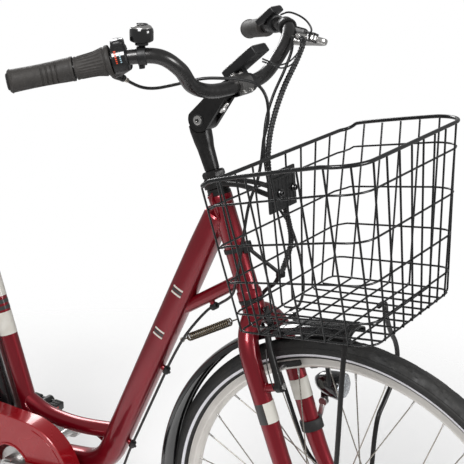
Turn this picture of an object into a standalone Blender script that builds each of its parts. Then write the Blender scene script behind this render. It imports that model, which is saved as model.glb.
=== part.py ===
"""Electric city bicycle with a front hub motor and a wire basket, built piece by piece.

The front of the bicycle points along +X, its left side along +Y, and it stands on Z = 0.
Lengths are in metres. Places along the bicycle are given from the front axle.
"""

import math

import bmesh
import bpy
from mathutils import Matrix, Vector

# Clearances
GAP = 0.0003
RUNNING_GAP = 0.0006

# Wheels and steering geometry
WHEEL_RADIUS = 0.349
WHEELBASE = 1.190
TYRE_WIDTH = 0.041
RIM_WIDTH = 0.025
RIM_OUTER = 0.317
RIM_INNER = 0.298
WHEEL_STEPS = 36
SPOKES_PER_SIDE = 18
SPOKE_LEAD = math.radians(40)
MUDGUARD_CLEARANCE = 0.012
MUDGUARD_WALL = 0.0012
MUDGUARD_HALF_WIDTH = 0.0245
HEAD_ANGLE = math.radians(69.2)
FORK_OFFSET = 0.050

# Steering stack, measured along the steering axis from the axle's height
HEAD_BOTTOM = 0.428
HEAD_LENGTH = 0.172
HEAD_RADIUS = 0.0185
STEERER_RADIUS = 0.0143
CUP_HEIGHT = 0.012
LOCKNUT_HEIGHT = 0.0175
QUILL_RADIUS = 0.0108
CROWN_HEIGHT = 0.398
CROWN_RADIUS = 0.017
FORK_SPREAD = 0.0542
LEG_FORWARD = 0.0055

# Stem and handlebar
STEM_PIVOT_HEIGHT = 0.7238
STEM_PIVOT_FORWARD = 0.0135
STEM_LENGTH = 0.0910
STEM_ANGLE = math.radians(42.4)
STEM_HALF_WIDTH = 0.0165
STEM_BOSS_HALF = 0.0080
STEM_PIVOT_RADIUS = 0.0195
BAR_RADIUS = 0.0111
CLAMP_RADIUS = 0.0165
GRIP_RADIUS = 0.0162
# Half of the bar, from the clamp's centre to the left end: forward, left, up
BAR_SHAPE = [
    (0.0, 0.0, 0.0),
    (0.0, 0.0325, 0.0),
    (-0.005, 0.075, 0.0023),
    (-0.0093, 0.1139, 0.0161),
    (-0.0071, 0.147, 0.0456),
    (-0.0221, 0.1774, 0.0666),
    (-0.0606, 0.2056, 0.065),
    (-0.1045, 0.2357, 0.0529),
    (-0.1466, 0.2685, 0.0421),
    (-0.1813, 0.3088, 0.0337),
]

# Frame
BRACKET_BACK = 0.680
BRACKET_HEIGHT = 0.295
BRACKET_SHELL_RADIUS = 0.0215
BRACKET_SHELL_HALF = 0.0345
AXLE_BORE = 0.0095
DOWN_TUBE_RADIUS = 0.0242
DOWN_TUBE_BEND = 0.095
SEAT_ANGLE = math.radians(71.9)
SEAT_TUBE_LENGTH = 0.470
SEAT_TUBE_RADIUS = 0.017
SEATPOST_RADIUS = 0.0136
STAY_RADIUS = 0.0082
REAR_DROPOUT_INNER = 0.0640
DROPOUT_PLATE = 0.006
AXLE_RADIUS = 0.005

# Drive
CRANK_LENGTH = 0.167
CRANK_TILT = math.radians(10)
CHAIN_LINE = 0.045
CHAINRING_PITCH = 0.0808
SPROCKET_PITCH = 0.0364
CHAIN_HALF_HEIGHT = 0.0042
CHAIN_WIDTH = 0.007
CASE_OUTER = 0.085
CASE_INNER = 0.050
CASE_WALL = 0.002
CASE_RADIUS = 0.111
CASE_FORWARD = 0.040

# Battery
BATTERY_HALF_WIDTH = 0.034
BATTERY_LENGTH = 0.352
BATTERY_DEPTH = 0.068
BATTERY_START = 0.058
RAIL_DEPTH = 0.0067

# Basket
BASKET_WIRE = 0.0032
RIM_WIRE_RADIUS = 0.003
RIM_HALF_BACK = 0.2160
RIM_HALF_FRONT = 0.1860
RIM_CORNER = 0.020
RIM_BACK = -0.1520
RIM_FRONT = 0.0765
RIM_BACK_HEIGHT = 0.974
RIM_SIDE_START = -0.100
RIM_SIDE_HEIGHT = 1.008
RIM_FRONT_HEIGHT = 1.031
FLOOR_HALF_BACK = 0.1430
FLOOR_HALF_FRONT = 0.1340
FLOOR_CORNER = 0.012
FLOOR_BACK = -0.1260
FLOOR_FRONT = 0.0910
FLOOR_BACK_HEIGHT = 0.737
FLOOR_FRONT_HEIGHT = 0.764
SIDE_CELLS = 6
FRONT_CELLS = 9
HOOP_LEVELS = [0.15, 0.41, 0.65, 0.87]

# Centre stand
STAND_BACK = 0.795
STAND_PIVOT_HEIGHT = 0.262
STAND_REACH = 0.030
STAND_LEG_RADIUS = 0.008
STAND_TUBE_RADIUS = 0.006
STAND_FOOT_SPREAD = 0.115

FRONT_AXLE_X = 0.5 * (WHEELBASE + MUDGUARD_CLEARANCE + 0.011)
MUDGUARD_RADIUS = WHEEL_RADIUS + MUDGUARD_CLEARANCE

RED = ((0.36, 0.004, 0.018, 1), 0.3, 0.5)
BLACK = ((0.012, 0.012, 0.013, 1), 0.45, 0.0)
BLACK_METAL = ((0.02, 0.02, 0.021, 1), 0.4, 0.6)
RUBBER = ((0.045, 0.044, 0.042, 1), 0.85, 0.0)
GRIP = ((0.06, 0.054, 0.05, 1), 0.8, 0.0)
SILVER = ((0.62, 0.62, 0.62, 1), 0.3, 1.0)
RIM_SILVER = ((0.72, 0.70, 0.67, 1), 0.35, 0.7)
GREY = ((0.22, 0.22, 0.23, 1), 0.5, 0.2)
DARK_STEEL = ((0.10, 0.085, 0.06, 1), 0.4, 0.9)
GLOSS_BLACK = ((0.006, 0.006, 0.007, 1), 0.15, 0.0)
LENS = ((0.75, 0.78, 0.8, 1), 0.1, 0.0)
LENS_RED = ((0.6, 0.01, 0.01, 1), 0.15, 0.0)
SEAT_BLACK = ((0.02, 0.018, 0.017, 1), 0.6, 0.0)

UP = Vector((0, 0, 1))
LEFT = Vector((0, 1, 0))
FORWARD = Vector((1, 0, 0))
STEER_UP = Vector((-math.cos(HEAD_ANGLE), 0, math.sin(HEAD_ANGLE)))
STEER_FORWARD = Vector((math.sin(HEAD_ANGLE), 0, math.cos(HEAD_ANGLE)))
SEAT_UP = Vector((-math.cos(SEAT_ANGLE), 0, math.sin(SEAT_ANGLE)))
SEAT_BACKWARD = Vector((-math.sin(SEAT_ANGLE), 0, -math.cos(SEAT_ANGLE)))


def clear_scene():
    for item in list(bpy.data.objects):
        bpy.data.objects.remove(item, do_unlink=True)


def new_collection(name):
    group = bpy.data.collections.new(name)
    bpy.context.scene.collection.children.link(group)
    return group


clear_scene()
PARTS = new_collection("electric_bicycle")
HELPERS = new_collection("cutters")


def at(x, y, z):
    """A point given from the front axle along X, from the middle along Y, from the ground along Z."""
    return Vector((FRONT_AXLE_X + x, y, z))


def steer(forward, left, up):
    """A point given from the steering axis: forward of it, left of it, and up along it."""
    axle = at(0, 0, WHEEL_RADIUS)
    return axle + (forward - FORK_OFFSET) * STEER_FORWARD + up * STEER_UP + left * LEFT


def seat(up, back, left=0.0):
    """A point given from the bottom bracket along the seat tube, behind its axis, and to the left."""
    return at(-BRACKET_BACK, left, BRACKET_HEIGHT) + up * SEAT_UP + back * SEAT_BACKWARD


def rear(radius, angle, left=0.0):
    """A point round the rear axle: its radius, its angle up from straight ahead, and its side."""
    middle = at(-WHEELBASE, left, WHEEL_RADIUS)
    return middle + radius * (math.cos(angle) * FORWARD + math.sin(angle) * UP)


def mirrored(points):
    return [Vector((p[0], -p[1], p[2])) for p in points]


def smooth_route(points, per_span):
    """Points along a Catmull-Rom curve through the given points."""
    knots = [Vector(p) for p in points]
    knots = [2 * knots[0] - knots[1]] + knots + [2 * knots[-1] - knots[-2]]
    route = []
    for index in range(1, len(knots) - 2):
        before, start, end, after = knots[index - 1:index + 3]
        for step in range(per_span):
            t = step / per_span
            route.append(0.5 * (2 * start + (end - before) * t
                                + (2 * before - 5 * start + 4 * end - after) * t ** 2
                                + (3 * start - before - 3 * end + after) * t ** 3))
    route.append(knots[-2])
    return route


def lengths_along(route):
    totals = [0.0]
    for here, there in zip(route, route[1:]):
        totals.append(totals[-1] + (there - here).length)
    return totals


def point_along(route, distance):
    """The point at a distance along a route, and the route's direction there."""
    totals = lengths_along(route)
    for index in range(len(route) - 1):
        if distance <= totals[index + 1] or index == len(route) - 2:
            span = totals[index + 1] - totals[index]
            share = (distance - totals[index]) / span
            direction = (route[index + 1] - route[index]).normalized()
            return route[index].lerp(route[index + 1], share), direction


def rounded_corner(before, corner, after, radius, steps):
    """An arc of the given radius between two straight runs that meet at a corner."""
    back = (before - corner).normalized()
    ahead = (after - corner).normalized()
    half = 0.5 * back.angle(ahead)
    reach = radius / math.tan(half)
    centre = corner + (back + ahead).normalized() * (radius / math.sin(half))
    start = corner + back * reach - centre
    across = (corner + ahead * reach - centre) - start
    turn = math.pi - 2 * half
    side = (across - start * across.dot(start) / start.length_squared).normalized() * radius
    angles = [turn * step / steps for step in range(steps + 1)]
    return [centre + start * math.cos(angle) + side * math.sin(angle) for angle in angles]


def along(axis, origin):
    """A matrix that turns local Z to an axis and moves to an origin."""
    turn = UP.rotation_difference(Vector(axis).normalized()).to_matrix().to_4x4()
    return Matrix.Translation(origin) @ turn


def make_material(name, look):
    colour, roughness, metallic = look
    finish = bpy.data.materials.new(name)
    finish.use_nodes = True
    shader = finish.node_tree.nodes["Principled BSDF"]
    shader.inputs["Base Color"].default_value = colour
    shader.inputs["Roughness"].default_value = roughness
    shader.inputs["Metallic"].default_value = metallic
    finish.diffuse_color = colour
    return finish


def place(item, look, group=None):
    """Puts an object in the model, or as a helper among the cutters."""
    if group is None:
        PARTS.objects.link(item)
        item.data.materials.append(make_material(item.name, look))
    else:
        group.objects.link(item)
        item.hide_render = True
        item.display_type = "WIRE"
    return item


def helper_group(name):
    group = bpy.data.collections.new(name)
    HELPERS.children.link(group)
    return group


def from_bmesh(name, shape, matrix, look, group=None):
    mesh = bpy.data.meshes.new(name)
    shape.to_mesh(mesh)
    shape.free()
    mesh.shade_smooth()
    mesh.set_sharp_from_angle(angle=math.radians(35))
    item = bpy.data.objects.new(name, mesh)
    item.matrix_world = matrix
    return place(item, look, group)


def rod(name, start, end, radius, look, group=None, end_radius=None, sides=16):
    """A round bar, or a cone, from one point to another."""
    start, end = Vector(start), Vector(end)
    shape = bmesh.new()
    bmesh.ops.create_cone(
        shape, cap_ends=True, segments=sides, radius1=radius,
        radius2=radius if end_radius is None else end_radius, depth=(end - start).length)
    bmesh.ops.translate(shape, verts=shape.verts, vec=(0, 0, 0.5 * (end - start).length))
    return from_bmesh(name, shape, along(end - start, start), look, group)


def block(name, centre, size, look, group=None, turn=None, bevel=0.0, segments=1):
    """A box, turned by a matrix, with bevelled edges where a width is given."""
    shape = bmesh.new()
    bmesh.ops.create_cube(shape, size=1.0)
    bmesh.ops.scale(shape, verts=shape.verts, vec=size)
    if bevel:
        bmesh.ops.bevel(shape, geom=shape.edges, offset=bevel, segments=segments, profile=0.5,
                        affect="EDGES", clamp_overlap=True)
    matrix = Matrix.Translation(centre)
    if turn is not None:
        matrix = matrix @ turn.to_4x4()
    return from_bmesh(name, shape, matrix, look, group)


def turned(name, profile, origin, axis, look, group=None, steps=24, closed=True, spin=0.0,
           sweep=2 * math.pi):
    """A profile of (radius, height) turned round an axis, its outer side listed from the top down."""
    mesh = bpy.data.meshes.new(name)
    points = [(radius, 0, height) for radius, height in profile]
    edges = [(i, i + 1) for i in range(len(points) - 1)]
    if closed:
        edges.append((len(points) - 1, 0))
    mesh.from_pydata(points, edges, [])
    item = bpy.data.objects.new(name, mesh)
    item.matrix_world = along(axis, origin) @ Matrix.Rotation(spin, 4, "Z")
    place(item, look, group)
    screw = item.modifiers.new("Turn", "SCREW")
    screw.angle = sweep
    screw.steps = steps
    screw.render_steps = steps
    screw.use_merge_vertices = True
    screw.merge_threshold = 0.00001
    screw.use_smooth_shade = True
    return item


def tube(name, route, radius, look, group=None, radii=None, round_level=2, cyclic=False):
    """A round tube along a route, with a share of the radius at each point where given."""
    curve = bpy.data.curves.new(name, "CURVE")
    curve.dimensions = "3D"
    curve.bevel_depth = radius
    curve.bevel_resolution = round_level
    curve.use_fill_caps = True
    spline = curve.splines.new("POLY")
    spline.points.add(len(route) - 1)
    for index, (knot, place_) in enumerate(zip(spline.points, route)):
        knot.co = (*place_, 1)
        knot.radius = radii[index] if radii else 1.0
    spline.use_cyclic_u = cyclic
    spline.use_smooth = True
    item = bpy.data.objects.new(name, curve)
    if group is not None:
        return as_mesh(item, group)
    return place(item, look)


def as_mesh(item, group):
    """Turns a curve object into a closed mesh object, so that it can be joined or cut."""
    HELPERS.objects.link(item)
    bpy.context.view_layer.update()
    evaluated = item.evaluated_get(bpy.context.evaluated_depsgraph_get())
    mesh = bpy.data.meshes.new_from_object(evaluated)
    shape = bmesh.new()
    shape.from_mesh(mesh)
    bmesh.ops.remove_doubles(shape, verts=shape.verts, dist=0.00001)
    bmesh.ops.recalc_face_normals(shape, faces=shape.faces)
    shape.to_mesh(mesh)
    shape.free()
    name, matrix = item.name, item.matrix_world.copy()
    bpy.data.objects.remove(item, do_unlink=True)
    solid = bpy.data.objects.new(name, mesh)
    solid.matrix_world = matrix
    return place(solid, None, group)


def plate(name, outline, y_from, y_to, look, group=None):
    """A flat outline in the side view, given as points, between two planes across the bicycle."""
    curve = bpy.data.curves.new(name, "CURVE")
    curve.dimensions = "2D"
    curve.fill_mode = "BOTH"
    curve.extrude = 0.5 * abs(y_to - y_from)
    loops = outline if isinstance(outline[0], list) else [outline]
    for loop in loops:
        spline = curve.splines.new("POLY")
        spline.points.add(len(loop) - 1)
        for knot, corner in zip(spline.points, loop):
            knot.co = (corner[0], corner[2], 0, 1)
        spline.use_cyclic_u = True
    item = bpy.data.objects.new(name, curve)
    item.matrix_world = (Matrix.Translation((0, 0.5 * (y_from + y_to), 0))
                         @ Matrix.Rotation(math.pi / 2, 4, "X"))
    if group is not None:
        return as_mesh(item, group)
    return place(item, look)


def solid_plate(name, outline, y_from, y_to, look):
    """A plate made as a mesh, for pieces that are cut or joined afterwards."""
    item = plate(name + "_blank", outline, y_from, y_to, look, HELPERS)
    HELPERS.objects.unlink(item)
    item.name = name
    item.hide_render = False
    item.display_type = "TEXTURED"
    return place(item, look)


def arc(centre, radius, start, end, steps):
    """Points of an arc in the side view, from one angle to another."""
    points = []
    for step in range(steps + 1):
        angle = start + (end - start) * step / steps
        points.append(centre + radius * (math.cos(angle) * FORWARD + math.sin(angle) * UP))
    return points


def hull_outline(first, first_radius, second, second_radius, steps):
    """The outline round two circles in the side view and their outer tangents."""
    reach = second - first
    heading = math.atan2(reach.z, reach.x)
    lean = math.acos((first_radius - second_radius) / reach.length)
    outline = arc(second, second_radius, heading - lean, heading + lean, steps)
    outline += arc(first, first_radius, heading + lean, heading - lean + 2 * math.pi, steps)
    return outline


def combine(item, group, operation):
    """Joins or cuts an object with every solid of a helper group."""
    step = item.modifiers.new(operation.title(), "BOOLEAN")
    step.operation = operation
    step.operand_type = "COLLECTION"
    step.collection = group
    step.solver = "EXACT"
    return item


def hold(pieces, name, origin, axis=None):
    """Hangs moving pieces on an empty that lies on their joint's axis."""
    joint = bpy.data.objects.new(name, None)
    PARTS.objects.link(joint)
    joint.matrix_world = along(axis, origin) if axis is not None else Matrix.Translation(origin)
    bpy.context.view_layer.update()
    for piece in pieces:
        piece.parent = joint
        piece.matrix_parent_inverse = joint.matrix_world.inverted()
    return joint


STEM_PIVOT = steer(STEM_PIVOT_FORWARD, 0, STEM_PIVOT_HEIGHT)
STEM_REACH = Vector((math.cos(STEM_ANGLE), 0, math.sin(STEM_ANGLE)))
CLAMP_CENTRE = STEM_PIVOT + STEM_LENGTH * STEM_REACH
HEAD_TOP = HEAD_BOTTOM + HEAD_LENGTH
RING_BOTTOM = HEAD_TOP + CUP_HEIGHT + GAP + 0.0002
RING_TOP = RING_BOTTOM + 0.0097
BRACKET = at(-BRACKET_BACK, 0, BRACKET_HEIGHT)
REAR_AXLE = at(-WHEELBASE, 0, WHEEL_RADIUS)
FRONT_AXLE = at(0, 0, WHEEL_RADIUS)

LEFT_BAR = [CLAMP_CENTRE + Vector(p) for p in BAR_SHAPE]
BAR_ROUTE = smooth_route(mirrored(LEFT_BAR[:0:-1]) + LEFT_BAR, 2)
BAR_LENGTH = lengths_along(BAR_ROUTE)[-1]


def bar_place(distance, side):
    """A point on the bar at a distance from its end, with the direction toward the middle."""
    travel = distance if side < 0 else BAR_LENGTH - distance
    point, direction = point_along(BAR_ROUTE, travel)
    return point, direction * (-side)


def bar_stretch(start, end, side):
    """The bar's centre line between two distances from its end."""
    stretch = [bar_place(start, side)[0]]
    totals = lengths_along(BAR_ROUTE)
    knots = [(t if side < 0 else BAR_LENGTH - t, p) for t, p in zip(totals, BAR_ROUTE)]
    stretch += [p for t, p in sorted(knots, key=lambda pair: pair[0]) if start + 0.002 < t < end - 0.002]
    return stretch + [bar_place(end, side)[0]]


BAR_BORE = helper_group("bar_bore")


def build_frame():
    look = RED
    joined = helper_group("frame_tubes")
    cut = helper_group("frame_bores")
    frame = rod("frame", steer(0, 0, HEAD_BOTTOM), steer(0, 0, HEAD_TOP), HEAD_RADIUS, look, sides=16)
    rod("head_collar_top", steer(0, 0, HEAD_TOP - 0.012), steer(0, 0, HEAD_TOP - 0.0002),
        HEAD_RADIUS + 0.0013, look, joined, sides=16)
    rod("upper_cup", steer(0, 0, HEAD_TOP - 0.002), steer(0, 0, HEAD_TOP + CUP_HEIGHT), HEAD_RADIUS + 0.0010,
        look, joined, sides=16)
    rod("lower_cup", steer(0, 0, HEAD_BOTTOM - 0.011), steer(0, 0, HEAD_BOTTOM + 0.010),
        HEAD_RADIUS + 0.0025, look, joined, sides=16)

    head_joint = steer(0, 0, HEAD_TOP - 0.016)
    corner = at(-0.515, 0, 0.315)
    bend = rounded_corner(head_joint, corner, BRACKET + Vector((0, 0, -0.007)), DOWN_TUBE_BEND, 5)
    start = head_joint.lerp(bend[0], 0.03)
    route = [start, head_joint.lerp(bend[0], 0.16), head_joint.lerp(bend[0], 0.5)]
    route += bend + [BRACKET + Vector((0, 0, -0.007))]
    radii = [0.80, 0.98, 1.0] + [1.0] * 3 + [0.98, 0.96, 0.94] + [0.90]
    tube("down_tube", route, DOWN_TUBE_RADIUS, look, joined, radii=radii, round_level=4)
    down = (corner - head_joint).normalized()
    outward = Vector((-down.z, 0, down.x))

    rod("seat_tube", BRACKET, seat(SEAT_TUBE_LENGTH, 0), SEAT_TUBE_RADIUS, look, joined, sides=14)
    brace = [seat(0.104, 0), at(-0.664, 0, 0.380), at(-0.626, 0, 0.376), at(-0.575, 0, 0.378),
             at(-0.485, 0, 0.393)]
    tube("brace", [at(-0.720, 0, 0.400)] + brace[1:], 0.0153, look, joined, round_level=2)
    rod("head_strut", at(-0.366, 0, 0.654), at(-0.215, 0, 0.755), 0.0112, look, joined, sides=12)
    rod("bracket_shell", BRACKET + BRACKET_SHELL_HALF * LEFT, BRACKET - BRACKET_SHELL_HALF * LEFT,
        BRACKET_SHELL_RADIUS, look, joined, sides=16)
    plate("brace_gusset", [at(-0.560, 0, 0.379), at(-0.520, 0, 0.388), at(-0.5, 0, 0.35)],
          -0.002, 0.002, look, joined)

    dropout_middle = REAR_DROPOUT_INNER + 0.5 * DROPOUT_PLATE
    mud_outer = MUDGUARD_RADIUS + 0.011 + MUDGUARD_WALL + GAP
    for side, word in ((1, "left"), (-1, "right")):
        lower = [at(-0.690, side * 0.022, 0.293), at(-0.765, side * 0.0312, 0.299),
                 at(-0.840, side * 0.0450, 0.309), at(-1.000, side * 0.0565, 0.327),
                 at(0.025 - WHEELBASE, side * dropout_middle, WHEEL_RADIUS - 0.004)]
        tube("chainstay_" + word, lower, STAY_RADIUS, look, joined, round_level=1)
        upper = [seat(0.450, 0.004, side * 0.010), seat(0.444, 0.009, side * 0.045),
                 at(-0.905, side * 0.0515, 0.650),
                 at(0.022 - WHEELBASE, side * dropout_middle, WHEEL_RADIUS + 0.016)]
        tube("seatstay_" + word, upper, STAY_RADIUS, look, joined, round_level=1)
        tip = [REAR_AXLE + Vector((0.045, 0, 0.026)), REAR_AXLE + Vector((0.0, 0, 0.020))]
        tip += arc(REAR_AXLE, 0.018, math.radians(110), math.radians(250), 4)
        tip += [REAR_AXLE + Vector((0.0, 0, -0.019)), REAR_AXLE + Vector((0.046, 0, -0.012))]
        near = side * REAR_DROPOUT_INNER
        plate("rear_dropout_" + word, tip, near, near + side * DROPOUT_PLATE, look, joined)
    bridge_angle = math.radians(46.5)
    rod("seatstay_bridge", rear(mud_outer + 0.0055, bridge_angle, -0.052),
        rear(mud_outer + 0.0055, bridge_angle, 0.052), 0.0055, look, joined, sides=8)
    bridge_angle = math.radians(-6.0)
    rod("chainstay_bridge", rear(mud_outer + 0.0055, bridge_angle, -0.044),
        rear(mud_outer + 0.0055, bridge_angle, 0.044), 0.0055, look, joined, sides=8)

    pivot = at(-STAND_BACK, 0, STAND_PIVOT_HEIGHT)
    block("stand_plate", pivot + Vector((0.003, 0, 0.032)), (0.044, 0.080, 0.010), look, joined)
    block("stand_lug", pivot + Vector((0.003, 0, 0.009)), (0.028, 0.028, 0.044), look, joined)
    rod("stand_bore", pivot - 0.03 * LEFT, pivot + 0.03 * LEFT, STAND_TUBE_RADIUS + RUNNING_GAP, look,
        cut, sides=12)

    for fraction in (0.578, 0.885):
        foot = head_joint.lerp(corner, fraction - 0.02)
        rod("cable_boss", foot, foot + outward * (DOWN_TUBE_RADIUS + 0.0105), 0.0042, look, joined,
            sides=6)
        head = foot + outward * (DOWN_TUBE_RADIUS + 0.0085)
        rod("cable_clip", head - down * 0.006, head + down * 0.006, 0.0054, look, joined, sides=8)
    strut_along = (at(-0.215, 0, 0.755) - at(-0.366, 0, 0.654)).normalized()
    strut_down = Vector((strut_along.z, 0, -strut_along.x))
    clip = at(-0.2795, 0, 0.7115) + strut_down * 0.0195
    rod("strut_boss", at(-0.2795, 0, 0.7115), clip, 0.0042, look, joined, sides=6)
    rod("strut_clip", clip - strut_along * 0.006, clip + strut_along * 0.006, 0.0054, look, joined,
        sides=8)
    eye = at(-0.3395, 0, 0.6235)
    rod("spring_boss", eye - outward * 0.035, eye - outward * 0.0065, 0.0040, look, joined, sides=6)

    combine(frame, joined, "UNION")
    rod("head_bore", steer(0, 0, 0.40), steer(0, 0, HEAD_TOP + 0.03), STEERER_RADIUS + 0.0022, look, cut,
        sides=16)
    rod("seat_bore", seat(0.27, 0), seat(SEAT_TUBE_LENGTH + 0.03, 0), SEATPOST_RADIUS + 0.0005, look,
        cut, sides=14)
    rod("bracket_bore", BRACKET - 0.05 * LEFT, BRACKET + 0.05 * LEFT, AXLE_BORE, look, cut, sides=12)
    rod("axle_bore", REAR_AXLE - 0.09 * LEFT, REAR_AXLE + 0.09 * LEFT, AXLE_RADIUS + RUNNING_GAP, look,
        cut, sides=10)
    tube("cable_way", GEAR_ROUTE, 0.0031, look, cut, round_level=1)
    combine(frame, cut, "DIFFERENCE")
    return [frame]


def build_cable_guide():
    """The block on the head tube's front whose arm holds the wires in a ring."""
    guide = block("cable_guide", steer(HEAD_RADIUS + 0.0040, 0, 0.507), (0.011, 0.016, 0.018), BLACK, None,
                  Matrix.Rotation(HEAD_ANGLE - 0.5 * math.pi, 3, "Y"), bevel=0.001)
    joined = helper_group("guide_joined")
    ring = at(*BUNDLE_POINTS[GUIDE_STOP])
    base = steer(HEAD_RADIUS + 0.0060, 0, 0.504)
    rod("guide_arm", base, ring - (ring - base).normalized() * 0.0065, 0.0032, BLACK, joined, sides=8)
    rod("guide_ring", ring - 0.004 * UP, ring + 0.004 * UP, 0.0078, BLACK, joined, sides=14)
    combine(guide, joined, "UNION")
    cut = helper_group("guide_cut")
    rod("head_room", steer(0, 0, 0.45), steer(0, 0, 0.56), HEAD_RADIUS + GAP, BLACK, cut, sides=20)
    tube("bundle_way", BUNDLE_ROUTE, BUNDLE_RADIUS + GAP + 0.0002, BLACK, cut, radii=BUNDLE_SHARES,
         round_level=2)
    return combine(guide, cut, "DIFFERENCE")


BUNDLE_RADIUS = 0.0047
GUIDE_STOP = 10
# The wrapped wires: from the brake perch, behind the basket, to the ring of the cable guide
BUNDLE_POINTS = [
    (-0.2030, 0.1480, 1.1300), (-0.1918, 0.1350, 1.1231), (-0.1951, 0.1200, 1.0958),
    (-0.1996, 0.0950, 1.0619), (-0.2001, 0.0700, 1.0256), (-0.1981, 0.0500, 0.9889),
    (-0.1946, 0.0400, 0.9506), (-0.1900, 0.0430, 0.9199), (-0.1720, 0.0500, 0.8850),
    (-0.1710, 0.0800, 0.8080), (-0.1670, 0.0420, 0.7620),
]
# The motor lead goes on down the left fork leg: forward of the steering axis, left, up
LEAD_POINTS = [
    (0.0250, 0.0400, 0.4320), (0.0020, 0.0375, 0.4220), (-0.0160, 0.0355, 0.4020),
    (-0.0190, 0.0350, 0.3750), (-0.0175, 0.0370, 0.3300), (-0.0150, 0.0385, 0.2600),
    (-0.0140, 0.0400, 0.1900), (-0.0125, 0.0430, 0.1400), (-0.0070, 0.0580, 0.0980),
    (0.0100, 0.0690, 0.0550), (0.0320, 0.0800, 0.0220),
    (0.0470, 0.0860, 0.0030), (0.0500, 0.0830, 0.0), (0.0500, 0.0750, 0.0),
]
BUNDLE_ROUTE = smooth_route([at(*p) for p in BUNDLE_POINTS], 2) + [steer(*p) for p in LEAD_POINTS]
BUNDLE_SHARES = [1.0] * (2 * GUIDE_STOP + 1) + [0.68] * len(LEAD_POINTS)


GEAR_POINTS = [
    (-0.3180, -0.1650, 1.0985), (-0.3090, -0.1400, 1.0840), (-0.2890, -0.1250, 1.0820),
    (-0.2560, -0.1000, 1.0905), (-0.2330, -0.0850, 1.0965), (-0.2090, -0.0690, 1.0970),
    (-0.1850, -0.0540, 1.0950),
    (-0.1640, -0.0430, 1.0880), (-0.1520, -0.0370, 1.0680), (-0.1510, -0.0330, 1.0350),
    (-0.1600, -0.0300, 1.0035), (-0.1625, -0.0310, 0.9722), (-0.1690, -0.0320, 0.9363),
    (-0.1840, -0.0320, 0.8930), (-0.2020, -0.0300, 0.7900), (-0.2220, -0.0160, 0.7330),
]


# Under the bottom bracket, along the left chainstay and into the rear axle
GEAR_TAIL = [
    (-0.5000, 0.0020, 0.2820), (-0.5950, 0.0120, 0.2600), (-0.6800, 0.0330, 0.2610),
    (-0.7400, 0.0480, 0.2700), (-0.7950, 0.0510, 0.2790), (-0.8500, 0.0560, 0.2910),
    (-0.9500, 0.0640, 0.3060), (-1.0500, 0.0730, 0.3200), (-1.1200, 0.0850, 0.3350),
    (-1.1700, 0.0980, 0.3460), (-1.1890, 0.1000, 0.3490), (-1.1900, 0.0915, 0.3490),
]


def gear_route():
    """The gear cable: from the shifter past the head tube, through the clips, to the frame's underside."""
    strut_along = (at(-0.215, 0, 0.755) - at(-0.366, 0, 0.654)).normalized()
    strut_down = Vector((strut_along.z, 0, -strut_along.x))
    clip = at(-0.2795, 0, 0.7115) + strut_down * 0.0195
    head_joint = steer(0, 0, HEAD_TOP - 0.016)
    corner = at(-0.515, 0, 0.315)
    down = (corner - head_joint).normalized()
    outward = Vector((-down.z, 0, down.x))
    upper = smooth_route([at(*p) for p in GEAR_POINTS], 2)
    points = [clip + strut_along * 0.012, clip - strut_along * 0.012, at(-0.3150, -0.0130, 0.6400)]
    stand_off = outward * (DOWN_TUBE_RADIUS + 0.0085)
    for fraction in (0.578, 0.885):
        middle = head_joint.lerp(corner, fraction - 0.02) + stand_off
        points += [middle - down * 0.012, middle + down * 0.012]
    return upper + points + [at(*p) for p in GEAR_TAIL]


GEAR_ROUTE = gear_route()


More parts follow.
